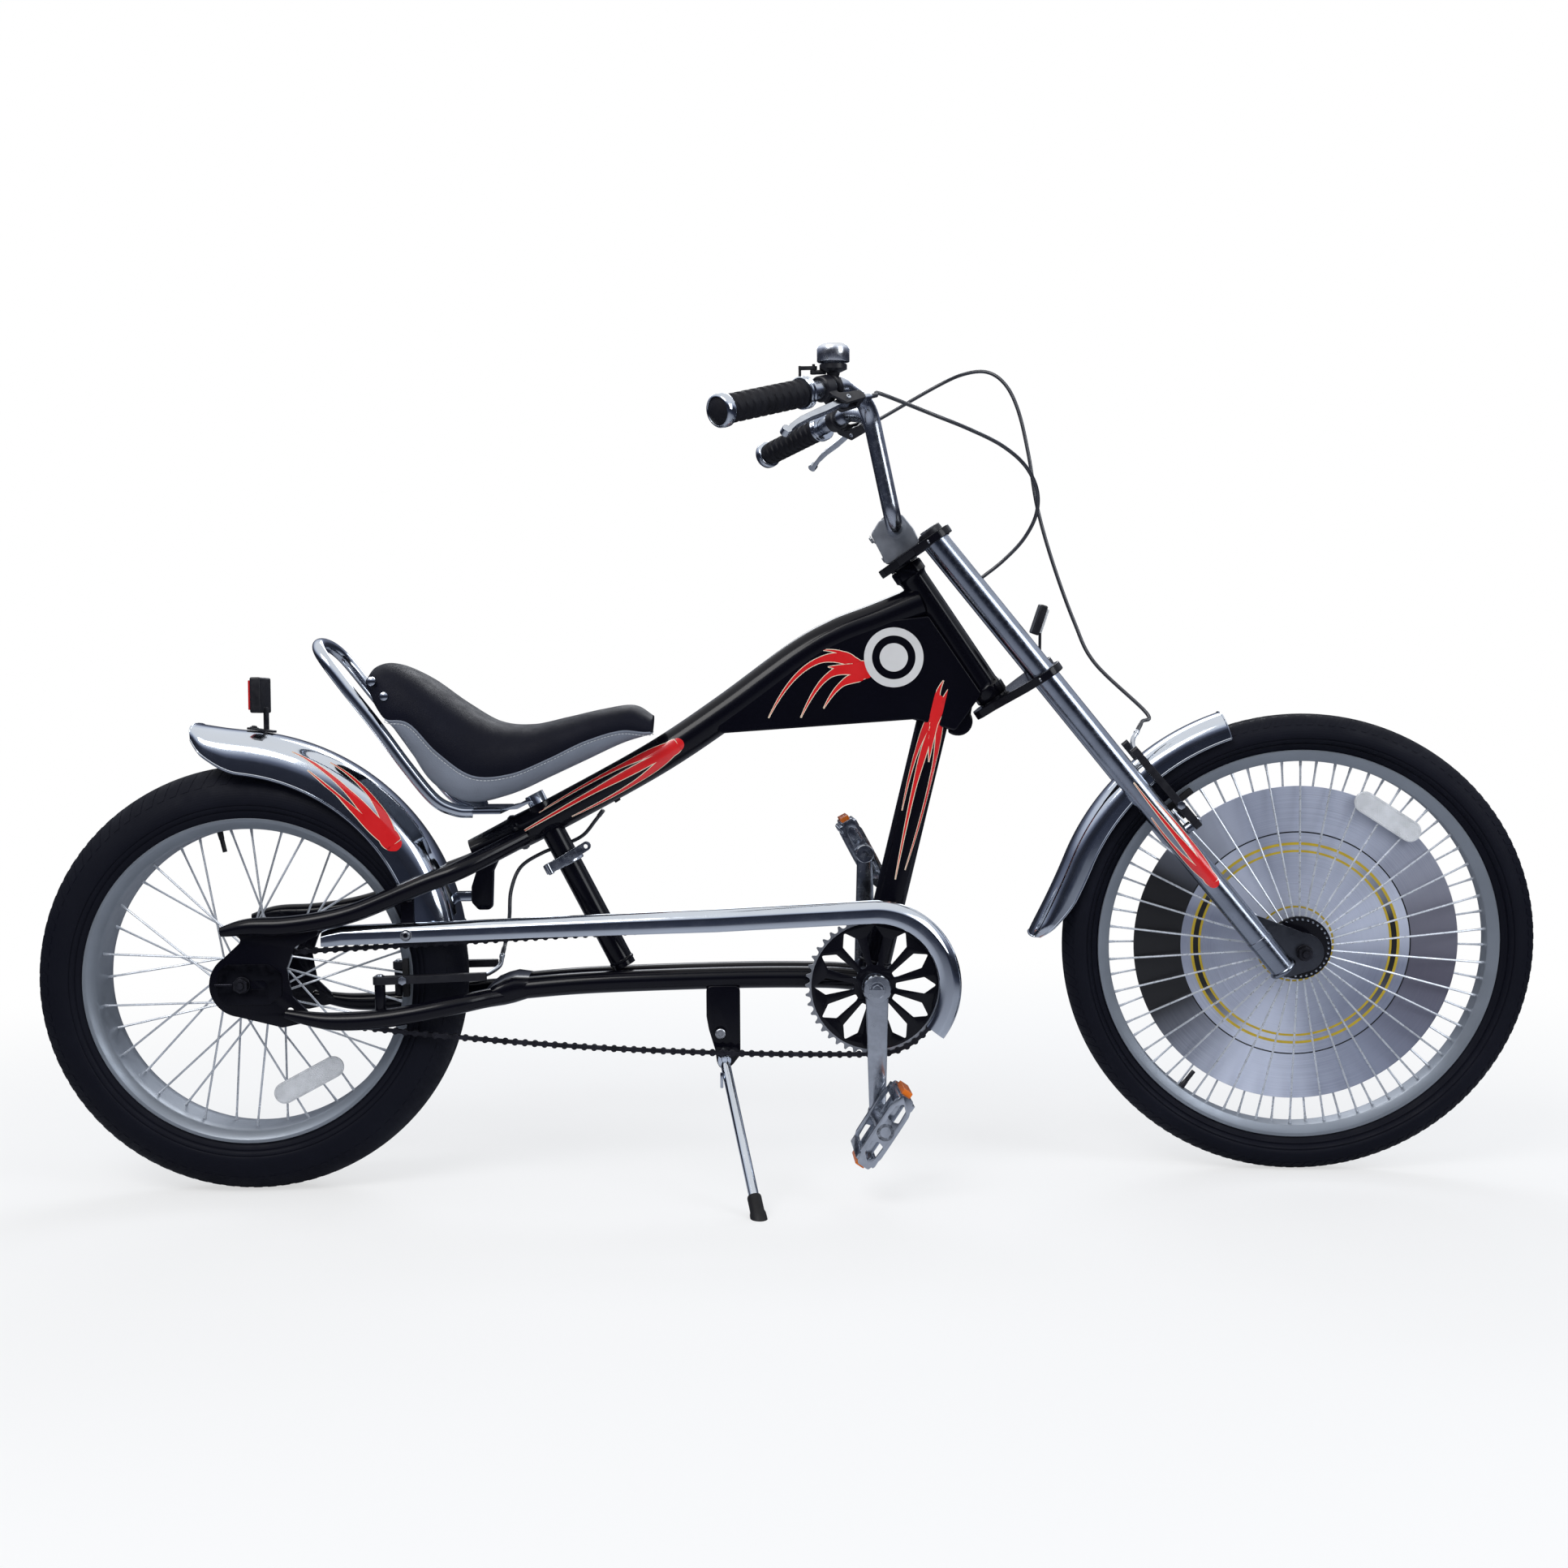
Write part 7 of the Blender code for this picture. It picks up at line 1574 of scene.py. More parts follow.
def make_chain():
    count = len(PINS)
    points, axes, beside = [], [], []
    for i in range(count):
        here, there = PINS[i], PINS[(i + 1) % count]
        middle = (here + there) / 2
        way = (there - here).normalized()
        points.append((middle.x, CHAIN_PLANE, middle.y))
        axes.append((way.x, 0, way.y))
        beside.append((0, 1, 0))
    inner = link_unit(0.002, 0.0008, 0.0016)
    outer = link_unit(0.003, 0.0008, 0.0037)
    mesh = along_points([inner, outer], points, axes, beside, "chain_steel")
    placed(mesh, Matrix.Identity(4), "roller_chain", "frame", "chain_steel", "chain")


TOOTH_TIP = 0.0016
TOOTH_ROOT = 0.0042


def toothed(teeth, phase):
    """A toothed outline whose round hollows hold the chain's rollers."""
    radius = pitch_radius(teeth)
    step = 2 * pi / teeth
    steps = []
    for t in (-0.24, -0.14, 0.0, 0.14, 0.24):
        bowl = sqrt(max(0.0, 1 - (t / 0.3) ** 2))
        steps.append((t, radius - 0.0012 - (TOOTH_ROOT - 0.0012) * bowl))
    steps += [(t, radius + TOOTH_TIP) for t in (0.42, 0.58)]
    spots = [(phase + step * i + step * t, reach) for i in range(teeth) for t, reach in steps]
    return [(reach * cos(angle), reach * sin(angle)) for angle, reach in spots]


def petal(angle):
    sides = ((0.027, -0.0036), (0.064, -0.0108), (0.08, 0.0), (0.064, 0.0108), (0.027, 0.0036))
    points = [(r * cos(angle) - w * sin(angle), r * sin(angle) + w * cos(angle)) for r, w in sides]
    return softened(points, 0.0022, 4)


def make_chainring():
    frame_here = frame_of(Vector((BRACKET.x, CHAIN_PLANE, BRACKET.z)), X, Z)
    windows = [petal(pi / 2 + 2 * pi * i / 12) for i in range(12)]
    shape = Shape()
    disc = circle((0, 0), pitch_radius(RING_TEETH) - 0.0065, 144)
    bore = circle((0, 0), 0.0171, 48)
    shape.slab([disc, bore, *windows], 0.0026, frame_here, 0.0005, 2)
    shape.dress("chainring_web", "crankset", "part_paint", "chainring", sharp=30)
    teeth = Shape()
    inside = circle((0, 0), pitch_radius(RING_TEETH) - 0.0068, 144)
    teeth.slab([toothed(RING_TEETH, RING_PHASE), inside], 0.0022, frame_here, 0.0003, 1)
    teeth.dress("chainring_teeth", "crankset", "bolt_steel", sharp=30)


def make_freewheel():
    frame_here = frame_of(Vector((0, CHAIN_PLANE, REAR_RADIUS)), X, Z)
    shape = Shape()
    bore = circle((0, 0), 0.0118, 40)
    shape.slab([toothed(COG_TEETH, COG_PHASE), bore], 0.0022, frame_here, 0.0003, 1)
    shape.revolve(ring_profile(0.0118, 0.025, -0.0045, 0.0045, 0.0007), frame_here, 60, ring=True)
    shape.dress("freewheel_cog", "freewheel", "chain_steel", "freewheel", sharp=30)


def make_crank(side):
    shape = Shape()
    reach = side * CRANK_LENGTH
    name = SIDES[side]
    way = Y * side
    middle = 0.082
    rings = []
    count = 25
    for i in range(count):
        t = i / (count - 1)
        z = reach * t
        half_x = 0.015 - 0.0045 * t
        half_y = 0.006 - 0.0006 * sin(pi * t)
        ring = []
        for k in range(24):
            a = 2 * pi * k / 24
            across = X * half_x * swell(cos(a), 0.55)
            ring.append(BRACKET + across + way * (middle + half_y * swell(sin(a), 0.55)) + Z * z)
        rings.append(ring)
    shape.skin(rings)
    boss = [(0.0082, 0.05), (0.0155, 0.05), (0.0165, 0.051), (0.0165, 0.07), (0.018, 0.0765),
        (0.018, 0.086), (0.0168, 0.0878), (0.0105, 0.088), (0.0098, 0.086), (0.0098, 0.085),
        (0.0082, 0.085)]
    shape.revolve(boss, along_frame(BRACKET, way, X), 56, ring=True)
    if side == RIGHT:
        shape.nut(BRACKET + way * 0.079, way, 0.015, 0.008, 0.005)
        star = []
        for i in range(24):
            far = 0.046 if i % 2 else 0.022
            angle = pi / 2 + pi * i / 12
            star.append((far * cos(angle), far * sin(angle)))
        plate = frame_of(BRACKET + Y * (CHAIN_PLANE + 0.0029), X, Z)
        shape.slab([softened(star, 0.0015), circle((0, 0), 0.016, 40)], 0.003, plate, 0.0006, 2)
    else:
        shape.rod(BRACKET + Y * -0.0835, BRACKET + Y * 0.08, 0.008, 32)
        shape.nut(BRACKET + way * 0.079, way, 0.015, 0.008)
    end = BRACKET + Z * reach
    eye = ring_profile(0.005, 0.0125, 0.0755, 0.0882, 0.001)
    shape.revolve(eye, along_frame(end, way, X), 40, ring=True)
    shape.rod(end + way * 0.079, end + way * 0.17, 0.006, 24)
    shape.nut(end + way * 0.0884, way, 0.015, 0.0034, 0.005)
    shape.dress("crank_arm_" + name, "crankset", "alloy", "crank_" + name, sharp=38)


def make_pedal(side):
    """A cage of two end plates and four toothed bars round a barrel, with a lens at either edge."""
    name = SIDES[side]
    tilt = radians(56) if side == RIGHT else radians(-62)
    centre = BRACKET + Z * side * CRANK_LENGTH + Y * side * (0.076 + 0.012 + 0.006 + 0.043)
    ahead = Vector((cos(tilt), 0, sin(tilt)))
    above = Vector((-sin(tilt), 0, cos(tilt)))
    half, thick = 0.05, 0.014
    shape = Shape()
    edge = ((-1, -0.55), (-0.62, -0.98), (-0.2, -1), (0.2, -1), (0.62, -0.98), (1, -0.55))
    outline = [(half * x, thick * y) for x, y in edge] + [(-half * x, -thick * y) for x, y in edge]
    window = ((0.017, -0.0085), (0.034, -0.0075), (0.041, 0), (0.034, 0.0075), (0.017, 0.0085), (0.0145, 0))
    holes = [softened([(way * x, y) for x, y in window], 0.0025) for way in (-1, 1)]
    cap = [(0.0, 0.0038), (0.0085, 0.0034), (0.01, 0.0022), (0.01, -0.003), (0.0, -0.003)]
    for end in (-1, 1):
        place = frame_of(centre + Y * end * 0.0405, ahead, above)
        shape.slab([softened(outline, 0.003), *holes], 0.005, place, 0.0008, 2)
        if end == side:
            shape.revolve(cap, along_frame(centre + Y * end * 0.0392, Y * end, X), 40)
    barrel = [(0.0066, -0.043), (0.0108, -0.043), (0.0115, -0.036), (0.0098, -0.01)]
    barrel += mirrored(barrel)
    shape.revolve(barrel, along_frame(centre, Y, X), 40, ring=True)
    for way in (-1, 1):
        for level in (-1, 1):
            place = frame_of(centre + ahead * way * (half - 0.009) + above * level * 0.01, ahead, Y)
            shape.box((0.01, 0.08, 0.0055), place, 0.0008)
            for i in range(9):
                tooth = place @ Matrix.Translation((0.0, -0.034 + 0.0085 * i, -0.002))
                shape.box((0.0085, 0.003, 0.0052), tooth, 0.0007, 1)
        for spot in (-0.0215, 0.0215):
            place = frame_of(centre + ahead * way * 0.0265 + Y * spot, ahead, Y)
            shape.box((0.036, 0.0042, 0.012), place, 0.001)
        holder = frame_of(centre + ahead * way * (half - 0.004), ahead, Y)
        shape.box((0.006, 0.056, 0.0165), holder, 0.001)
    shape.dress("pedal_cage_" + name, "pedal_" + name, "alloy", "pedal_" + name, sharp=38)
    lamps = Shape()
    for way in (-1, 1):
        place = frame_of(centre + ahead * way * (half + 0.002), ahead, Y)
        lamps.box((0.0065, 0.05, 0.0125), place, 0.0012, 3)
    lamps.dress("pedal_lens_" + name, "pedal_" + name, "lens_orange")


def guard_stations():
    """The guard's outer edge, its way inward and its share of full depth."""
    straight = ((0.1, 0.3425, 0.62), (0.108, 0.3462, 0.76), (0.125, 0.35, 0.84), (0.24, 0.353, 0.84),
        (0.36, 0.357, 0.86), (0.48, 0.3612, 0.93), (0.6, 0.3655, 1.0), (0.7, 0.3698, 1.0))
    stations = [(Vector((x, z)), Vector((0, -1)), share) for x, z, share in straight]
    for i in range(53):
        angle = radians(92 - i * (92 + 38) / 52)
        way = Vector((cos(angle), sin(angle)))
        stations.append((Vector((BRACKET.x, BRACKET.z)) + way * 0.111, -way, 1.0))
    return stations


def solid_sheet(rows, thickness, name):
    """Thin metal laid evenly over a grid of points, both ways from its middle."""
    sheet = bmesh.new()
    grid = [[sheet.verts.new(point) for point in row] for row in rows]
    for here, there in zip(grid, grid[1:]):
        for i in range(len(here) - 1):
            sheet.faces.new((here[i], here[i + 1], there[i + 1], there[i])).smooth = True
    source = linked(name, baked(sheet, name))
    wall = source.modifiers.new("Wall", "SOLIDIFY")
    wall.thickness = thickness
    wall.offset = 0
    wall.use_even_offset = True
    return evaluated(source)


def make_guard():
    rows = []
    for edge, inward, share in guard_stations():
        row = []
        section = ((0.0, 0.0615), (0.0002, 0.064), (0.002, 0.0664), (0.006, 0.0692),
            (0.009, 0.0708), (0.0105, 0.0714), (0.012, 0.0715), (0.02, 0.0715), (0.0262, 0.0714),
            (0.0276, 0.0706), (0.028, 0.069))
        for depth, side in section:
            spot = edge + inward * depth * share
            row.append((spot.x, -side, spot.y))
        rows.append(row)
    mesh = solid_sheet(rows, 0.0014, "guard")
    placed(mesh, Matrix.Identity(4), "chromed_guard", "frame", "chrome",
        "chain_guard", sharp=40)


# Fenders

REAR_FENDER_CENTRE = REAR_AXLE + Vector((-0.03, 0, 0.019))
REAR_FENDER = {"start": 9.4, "end": 97, "radius": 0.303, "half": 0.056, "lift": 0.01, "flare": 0.86}
FRONT_FENDER = {"start": 109, "end": 178, "radius": 0.325, "half": 0.034, "lift": 0.025, "flare": 0.72}


def fender_drop(share):
    """How far the crown has fallen at a share of the half width."""
    knots = ((0.0, 0.0), (0.3, 0.0009), (0.52, 0.003), (0.72, 0.008), (0.88, 0.016), (0.96, 0.0255))
    knots += ((0.985, 0.038), (1.0, 0.056))
    for (a, low), (b, high) in zip(knots, knots[1:]):
        if share <= b:
            return low + (high - low) * (share - a) / (b - a)
    return knots[-1][1]


def fender_point(centre, sizes, share, across, lift=0.0):
    """A point of a fender, from its share along and its place across from -1 to 1."""
    angle = radians(sizes["start"] + (sizes["end"] - sizes["start"]) * share)
    flare = sizes["lift"] * max(0.0, (share - sizes["flare"]) / (1 - sizes["flare"])) ** 2
    narrow = 1.0 - 0.25 * max(0.0, (share - 0.96) / 0.04) ** 2
    size = sizes["half"]
    short = 1.0 - 0.5 * max(0.0, (share - 0.84) / 0.16) ** 2
    reach = sizes["radius"] + flare - fender_drop(abs(across)) * (size / 0.056) * narrow * short
    spot = centre + Vector((cos(angle), 0, sin(angle))) * (reach + lift)
    return spot + Y * across * size * narrow


def fender_rule(centre, sizes, side):
    """Lays flat places on a fender's flank: X back from its front end, Y up from its hem."""
    steps = [1.0 - 0.01 * i for i in range(80)]
    heights = [0.0]
    for a, b in zip(steps, steps[1:]):
        heights.append(heights[-1] + hypot((a - b) * sizes["half"], fender_drop(a) - fender_drop(b)))

    def onto(u, v, lift):
        share = u / (sizes["radius"] * radians(sizes["end"] - sizes["start"]))
        i = max(j for j in range(len(steps) - 1) if heights[j] <= max(v, 0.0))
        part = min(1.0, max(0.0, v - heights[i]) / (heights[i + 1] - heights[i]))
        across = steps[i] + (steps[i + 1] - steps[i]) * part
        spot = fender_point(centre, sizes, share, side * across)
        near = fender_point(centre, sizes, share, side * (across - 0.02))
        along = fender_point(centre, sizes, share + 0.01, side * across) - spot
        normal = along.cross(near - spot).normalized()
        if normal.y * side < 0:
            normal = -normal
        return spot + normal * (lift + 0.0008)

    return onto


def make_fender(name, node, body, centre, sizes, steps):
    across = [-1.0, -0.985, -0.96, -0.92, -0.88, -0.8, -0.72, -0.62, -0.52, -0.41, -0.3, -0.15]
    across = across + [0.0] + [-a for a in reversed(across)]
    rows = []
    for i in range(steps + 1):
        share = i / steps
        rows.append([tuple(fender_point(centre, sizes, share, a)) for a in across])
    mesh = solid_sheet(rows, SHEET_METAL, name)
    piece = placed(mesh, Matrix.Identity(4), name, body, "chrome", node, sharp=40)
    edges = Shape()
    for side in (-1, 1):
        points = [fender_point(centre, sizes, i / steps, side * 0.998) for i in range(steps + 1)]
        edges.sweep(points, 0.0016, 10)
    for share in (0.0, 1.0):
        points = [fender_point(centre, sizes, share, -1 + 2 * i / 40, 0.0009) for i in range(41)]
        edges.sweep(points, 0.0011, 10)
    edges.dress(name + "_hem", body, "chrome")
    return piece


def make_fenders():
    make_fender("rear_fender_sheet", "rear_fender", "frame", REAR_FENDER_CENTRE, REAR_FENDER, 96)
    make_fender("front_fender_sheet", "front_fender", "steering", FRONT_AXLE, FRONT_FENDER, 80)
    shape = Shape()
    way = ray(16)
    foot = REAR_FENDER_CENTRE + way * 0.3025
    seat = 0.2807
    rib = frame_of(((seat + foot.x) / 2, 0, foot.z), X, Y)
    shape.box((seat - foot.x + GAP, 0.018, 0.012), rib, 0.001)
    shape.dress("fender_rib", "frame", "chrome")
    strap = Shape()
    top, bottom = leg_line(RIGHT)
    spot = top.lerp(bottom, 0.545)
    spot.y = 0
    way = (spot - FRONT_AXLE).normalized()
    reach = 2 * (LEG_SPREAD - LEG_RADIUS - GAP)
    strap.box((0.006, reach, 0.016), frame_of(FRONT_AXLE + way * 0.328, way, Y), 0.0012)
    for side in SIDES:
        strap.bolt(FRONT_AXLE + way * 0.331 + Y * side * 0.03, way, 0.004, 0.003, 0.0062)
    strap.dress("fender_strap", "steering", "chrome")


def make_reflectors():
    shape = Shape()
    way = ray(82)
    along = Vector((way.z, 0, -way.x))
    foot = REAR_FENDER_CENTRE + way * (REAR_FENDER["radius"] + 0.0008 + GAP + 0.0015)
    shape.box((0.034, 0.018, 0.003), frame_of(foot, along, Y), 0.0008)
    shape.bolt(foot + way * 0.0015 - along * 0.01, way, 0.0036, 0.0028, 0.0055)
    shape.box((0.004, 0.014, 0.03), frame_of(foot + Vector((0.006, 0, 0.014)), X, Y), 0.0008)
    shape.box((0.014, 0.052, 0.046), frame_of(foot + Vector((-0.001, 0, 0.045)), X, Y), 0.003, 4)
    shape.dress("rear_lamp_holder", "frame", "black_plastic", "rear_reflector")
    glass = Shape().box((0.004, 0.044, 0.038), frame_of(foot + Vector((-0.009, 0, 0.045)), X, Y), 0.0012, 3)
    glass.dress("rear_lamp_lens", "frame", "lens_red")
    front = Shape()
    seat = steer_point(CROWN_THICKNESS / 2 - CROWN_UP + GAP, leg_reach(-CROWN_UP) + 0.004)
    front.box((0.01, 0.016, 0.003), frame_of(seat + STEER_UP * 0.0015, STEER_FORWARD, Y), 0.0007)
    front.box((0.003, 0.012, 0.052), frame_of(seat + Vector((-0.002, 0, 0.026)), X, Y), 0.0007)
    tilt = ray(-18)
    middle = seat + Vector((-0.004, 0, 0.062))
    front.box((0.01, 0.046, 0.04), frame_of(middle, tilt, Y), 0.0028, 4)
    front.dress("front_lamp_holder", "steering", "black_plastic", "front_reflector")
    glass = Shape().box((0.004, 0.038, 0.032), frame_of(middle + tilt * 0.006, tilt, Y), 0.0012, 3)
    glass.dress("front_lamp_lens", "steering", "lens_clear")


# Seat

SEAT_STATIONS = (((0.154, 0.664), (0.166, 0.64), 0.058, 0.0), ((0.168, 0.68), (0.174, 0.628), 0.076,
    0.0), ((0.192, 0.683), (0.188, 0.609), 0.088, 0.03), ((0.231, 0.665), (0.21, 0.577), 0.095, 0.33),
    ((0.276, 0.633), (0.24, 0.53), 0.1, 0.38), ((0.32, 0.608), (0.284, 0.505), 0.101, 0.34),
    ((0.365, 0.604), (0.334, 0.513), 0.098, 0.31), ((0.41, 0.613), (0.38, 0.533), 0.09, 0.33),
    ((0.455, 0.623), (0.43, 0.556), 0.08, 0.4), ((0.495, 0.628), (0.478, 0.578), 0.068, 0.33),
    ((0.52, 0.614), (0.517, 0.59), 0.054, 0.1))


def seat_stations(per_span=8):
    flat = [Vector((c[0], c[1], u[0])) for c, u, _, _ in SEAT_STATIONS]
    rest = [Vector((u[1], w, b)) for _, u, w, b in SEAT_STATIONS]
    return [(Vector((a.x, 0, a.y)), Vector((a.z, 0, b.x)), b.y, max(0.0, b.z)) for a,
        b in zip(smooth(flat, per_span), smooth(rest, per_span))]


def arch_point(share):
    """The cushion's cross-section from one seam over the crown to the other."""
    angle = pi * share
    return swell(cos(angle), 0.62), abs(sin(angle)) ** 0.8


def make_saddle():
    rings = []
    bands = []
    seams = []
    stations = seat_stations()
    for crown, under, half, share in stations:
        rise = crown - under
        seam = under + rise * share
        lift = rise.normalized() * 0.0003
        top = crown - seam
        ring = []
        steps = 40
        for i in range(steps + 1):
            across, height = arch_point(i / steps)
            tuck = 1.0 - 0.014 * max(0.0, 1 - height / 0.07)
            ring.append(seam + lift + top * height + Y * half * across * tuck)
        rings.append(ring)
        seams.append((seam, half))
        if share > 0.02:
            tray = []
            for i in range(33):
                angle = pi * i / 32
                across = swell(cos(angle), 0.42)
                tray.append(seam - (seam - under) * (abs(sin(angle)) ** 0.9) + Y * half * 0.985 * across)
            bands.append(tray)
    cushion = Shape()
    cushion.skin(rings)
    pad = cushion.dress("saddle_pad", "seat", "black_vinyl", "saddle_cushion", sharp=60)
    band = Shape()
    band.skin(bands)
    band.dress("saddle_tray", "seat", "grey_vinyl", "saddle_base", sharp=60)
    piping = Shape()
    for side in SIDES:
        edges = [edge for edge, row in zip(seams, stations) if row[3] > 0.02]
        piping.sweep([seam + Y * side * half * 0.992 for seam, half in edges], 0.0011, 8)
    piping.dress("saddle_piping", "seat", "grey_vinyl")
    unit = Shape()
    unit.box((0.0032, 0.0007, 0.0009), Matrix.Identity(4), 0.0002, 1)
    stitch = unit.object("stitch")
    points, axes, beside = [], [], []
    for side in SIDES:
        line = []
        for crown, under, half, share in stations:
            if share > 0.02:
                seam = under + (crown - under) * share
                down = (under - crown).normalized()
                line.append(seam + down * 0.0035 + Y * side * (half * 0.985 + 0.0002))
        walked, target = 0.0, 0.0
        for a, b in zip(line, line[1:]):
            run = (b - a).length
            while target <= walked + run:
                points.append(tuple(a.lerp(b, (target - walked) / run)))
                axes.append(tuple((b - a).normalized()))
                beside.append((0, side, 0))
                target += 0.0046
            walked += run
    mesh = along_points([stitch], points, axes, beside, "thread_grey")
    placed(mesh, Matrix.Identity(4), "saddle_stitches", "seat", "thread_grey")
    return pad


def make_seat_metal():
    shape = Shape()
    low, high = seat_line(0.071), seat_line(0.262)
    shape.rod(low, high, POST_RADIUS, 40, bevel=0.0008)
    top = 0.4965
    shape.box((0.056, 0.14, 0.006), frame_of((0.3, 0, top - 0.003), X, Y), 0.0012)
    neck = [(0.318, top - 0.001), (0.318, top - 0.005), (0.342, top - 0.003), (0.366, top + 0.009),
        (0.366, top + 0.016), (0.345, top + 0.0045)]
    shape.slab([neck], 0.022, side_frame(0), 0.0006)
    shape.dress("seat_post_chromed", "seat", "chrome", "seat_post")
    half = [(0.292, 0.062, 0.4935), (0.272, 0.066, 0.4955), (0.246, 0.07, 0.509), (0.212, 0.072, 0.551),
        (0.175, 0.074, 0.603), (0.138, 0.074, 0.651), (0.11, 0.068, 0.688), (0.098, 0.045, 0.704),
        (0.094, 0.0, 0.709)]
    near = [(x, -y, z) for x, y, z in half]
    hoop = Shape()
    hoop.sweep(smooth(near + list(reversed(half[:-1])), 14), 0.008, 28)
    hoop.dress("backrest_hoop", "seat", "chrome", "seat_hoop")
    buttons = Shape()
    dome = [(0.0, 0.003), (0.003, 0.0027), (0.0052, 0.0017), (0.006, 0.0), (0.006, -0.003)]
    dome += [(0.0, -0.003)]
    for side in SIDES:
        for x, y, z in ((0.187, 0.0862, 0.64), (0.17, 0.0772, 0.659)):
            buttons.revolve(dome, along_frame((x, side * y, z), Y * side, X), 28)
    buttons.dress("saddle_buttons", "seat", "chrome")


def make_seat_clamp():
    shape = Shape()
    low = seat_line(0.159)
    up = (seat_line(0.2) - seat_line(0.1)).normalized()
    back = Y.cross(up) if Y.cross(up).x < 0 else up.cross(Y)
    centre = seat_line(0.166) + back * (SEAT_TUBE_RADIUS + 0.009)
    profile = [(0.0159, 0.0), (0.0192, 0.0), (0.02, 0.001), (0.02, 0.013), (0.0192, 0.014)]
    shape.revolve(profile + [(0.0159, 0.014)], along_frame(low, up), 48, ring=True)
    for side in (-1, 1):
        shape.box((0.016, 0.009, 0.013), frame_of(centre + Y * side * 0.0065, back, Y), 0.0016, 3)
    shape.rod(centre + Y * 0.018, centre + Y * (-0.0255 + 0.0045), 0.003, 20)
    shape.nut(centre + Y * 0.0115, Y, 0.009, 0.0065)
    shape.dress("seat_collar", "frame", "alloy", "seat_clamp")
    lever = Shape()
    ahead = (-back + Z * 0.05).normalized()
    place = frame_of(centre + Y * -0.0255, ahead, up)
    outline = [(0.0, -0.0066), *arc((0.056, 0.002), 0.006, -85, 85, 20), (0.0, 0.0066)]
    hole = circle((0.0555, 0.002), 0.0028, 20)
    lever.slab([outline, hole], 0.0064, place, 0.0016, 4)
    pivot = centre + Y * -0.0255
    lever.revolve(ring_profile(0.0, 0.0039, -0.0075, 0.0075, 0.0006), along_frame(pivot, up), 32)
    lever.dress("quick_lever", "clamp_lever", "alloy", "clamp_lever")


def make_stand():
    shape = Shape()
    axis = stand_axis()
    shape.revolve(ring_profile(0.0, 0.009, -0.0065, 0.0065, 0.0008), along_frame(STAND_PIVOT, axis), 36)
    ground = 0.2 * tan(STAND_LEAN)
    foot = Vector((0.648, -0.2, ground))
    way = (foot - STAND_PIVOT).normalized()
    knee = STAND_PIVOT + way * 0.02
    shape.sweep([STAND_PIVOT, knee, foot - way * 0.024], 0.0065, 28)
    shape.bolt(STAND_PIVOT - axis * 0.006, -axis, 0.0045, 0.004, 0.0065)
    hook = frame_of(STAND_PIVOT + way * 0.03 + Vector((-0.009, 0, 0)), X, Y)
    shape.box((0.004, 0.004, 0.02), hook, 0.001)
    shape.dress("stand_leg", "kickstand", "chrome", "kickstand", slot="silver")
    shoe = Shape()
    place = along_frame(foot - way * 0.03, way)
    profile = [(0.0062, 0.0), (0.0082, 0.0), (0.0088, 0.002), (0.0088, 0.02), (0.01, 0.024)]
    profile += [(0.0104, 0.034), (0.01, 0.04), (0.0, 0.04)]
    shoe.revolve(profile, place, 36)
    everything = shoe.mesh.verts[:] + shoe.mesh.edges[:] + shoe.mesh.faces[:]
    normal = (0, -sin(STAND_LEAN), -cos(STAND_LEAN))
    made = bmesh.ops.bisect_plane(shoe.mesh, geom=everything, plane_co=foot, plane_no=normal,
        clear_outer=True, dist=1e-7)
    edges = [item for item in made["geom_cut"] if isinstance(item, bmesh.types.BMEdge)]
    bmesh.ops.edgenet_fill(shoe.mesh, edges=edges)
    shoe.dress("stand_shoe", "kickstand", "pad_rubber", slot="silver")


def leg_reach(up):
    top, bottom = leg_line(RIGHT)
    top, bottom = top - HEAD, bottom - HEAD
    share = (top.dot(STEER_UP) - up) / (top.dot(STEER_UP) - bottom.dot(STEER_UP))
    return top.dot(STEER_FORWARD) + (bottom.dot(STEER_FORWARD) - top.dot(STEER_FORWARD)) * share


# Steering

BAR_CENTRE = steer_point(BAR_UP, BAR_FORWARD)


def bar_corners(side):
    steps = ((0, 0, 0), (0, 0.06, 0), (-0.033, 0.068, 0.152), (-0.064, 0.167, 0.165),
        (-0.196, 0.324, 0.12))
    return [BAR_CENTRE + Vector((x, side * y, z)) for x, y, z in steps]


def grip_frame(side):
    """Local Z out along the grip from its inner end, local Y the way that the lever is pulled."""
    corners = bar_corners(side)
    out = (corners[4] - corners[3]).normalized()
    start = corners[4] - out * (GRIP_LENGTH + GRIP_CAP_LENGTH)
    ahead = Vector((out.y * side, -out.x * side, 0)).normalized()
    down = -Z - out * (-Z).dot(out)
    pull = ahead * sin(LEVER_DROOP) + down.normalized() * cos(LEVER_DROOP)
    return frame_of(start, pull.cross(out), pull)


def on_grip(side, along, pull=0.0, across=0.0):
    return grip_frame(side) @ Vector((across, pull, along))


def lever_plane(side, across=0.0):
    """Local X out along the grip and local Y the way of the pull."""
    out = grip_frame(side).col[2].to_3d()
    pull = grip_frame(side).col[1].to_3d()
    return frame_of(on_grip(side, 0, 0, across), out, pull)


def make_handlebar():
    shape = Shape()
    right, left = bar_corners(RIGHT), bar_corners(LEFT)
    out_right = (right[4] - right[3]).normalized()
    out_left = (left[4] - left[3]).normalized()
    points = [right[4] - out_right * 0.004, right[3], right[2], right[1]]
    points += [left[1], left[2], left[3], left[4] - out_left * 0.004]
    shape.sweep(rounded(points, (0.035, 0.035, 0.03, 0.03, 0.035, 0.035), 14), BAR_RADIUS, 32)
    shape.dress("chromed_bar", "steering", "bar_chrome", "handlebar")


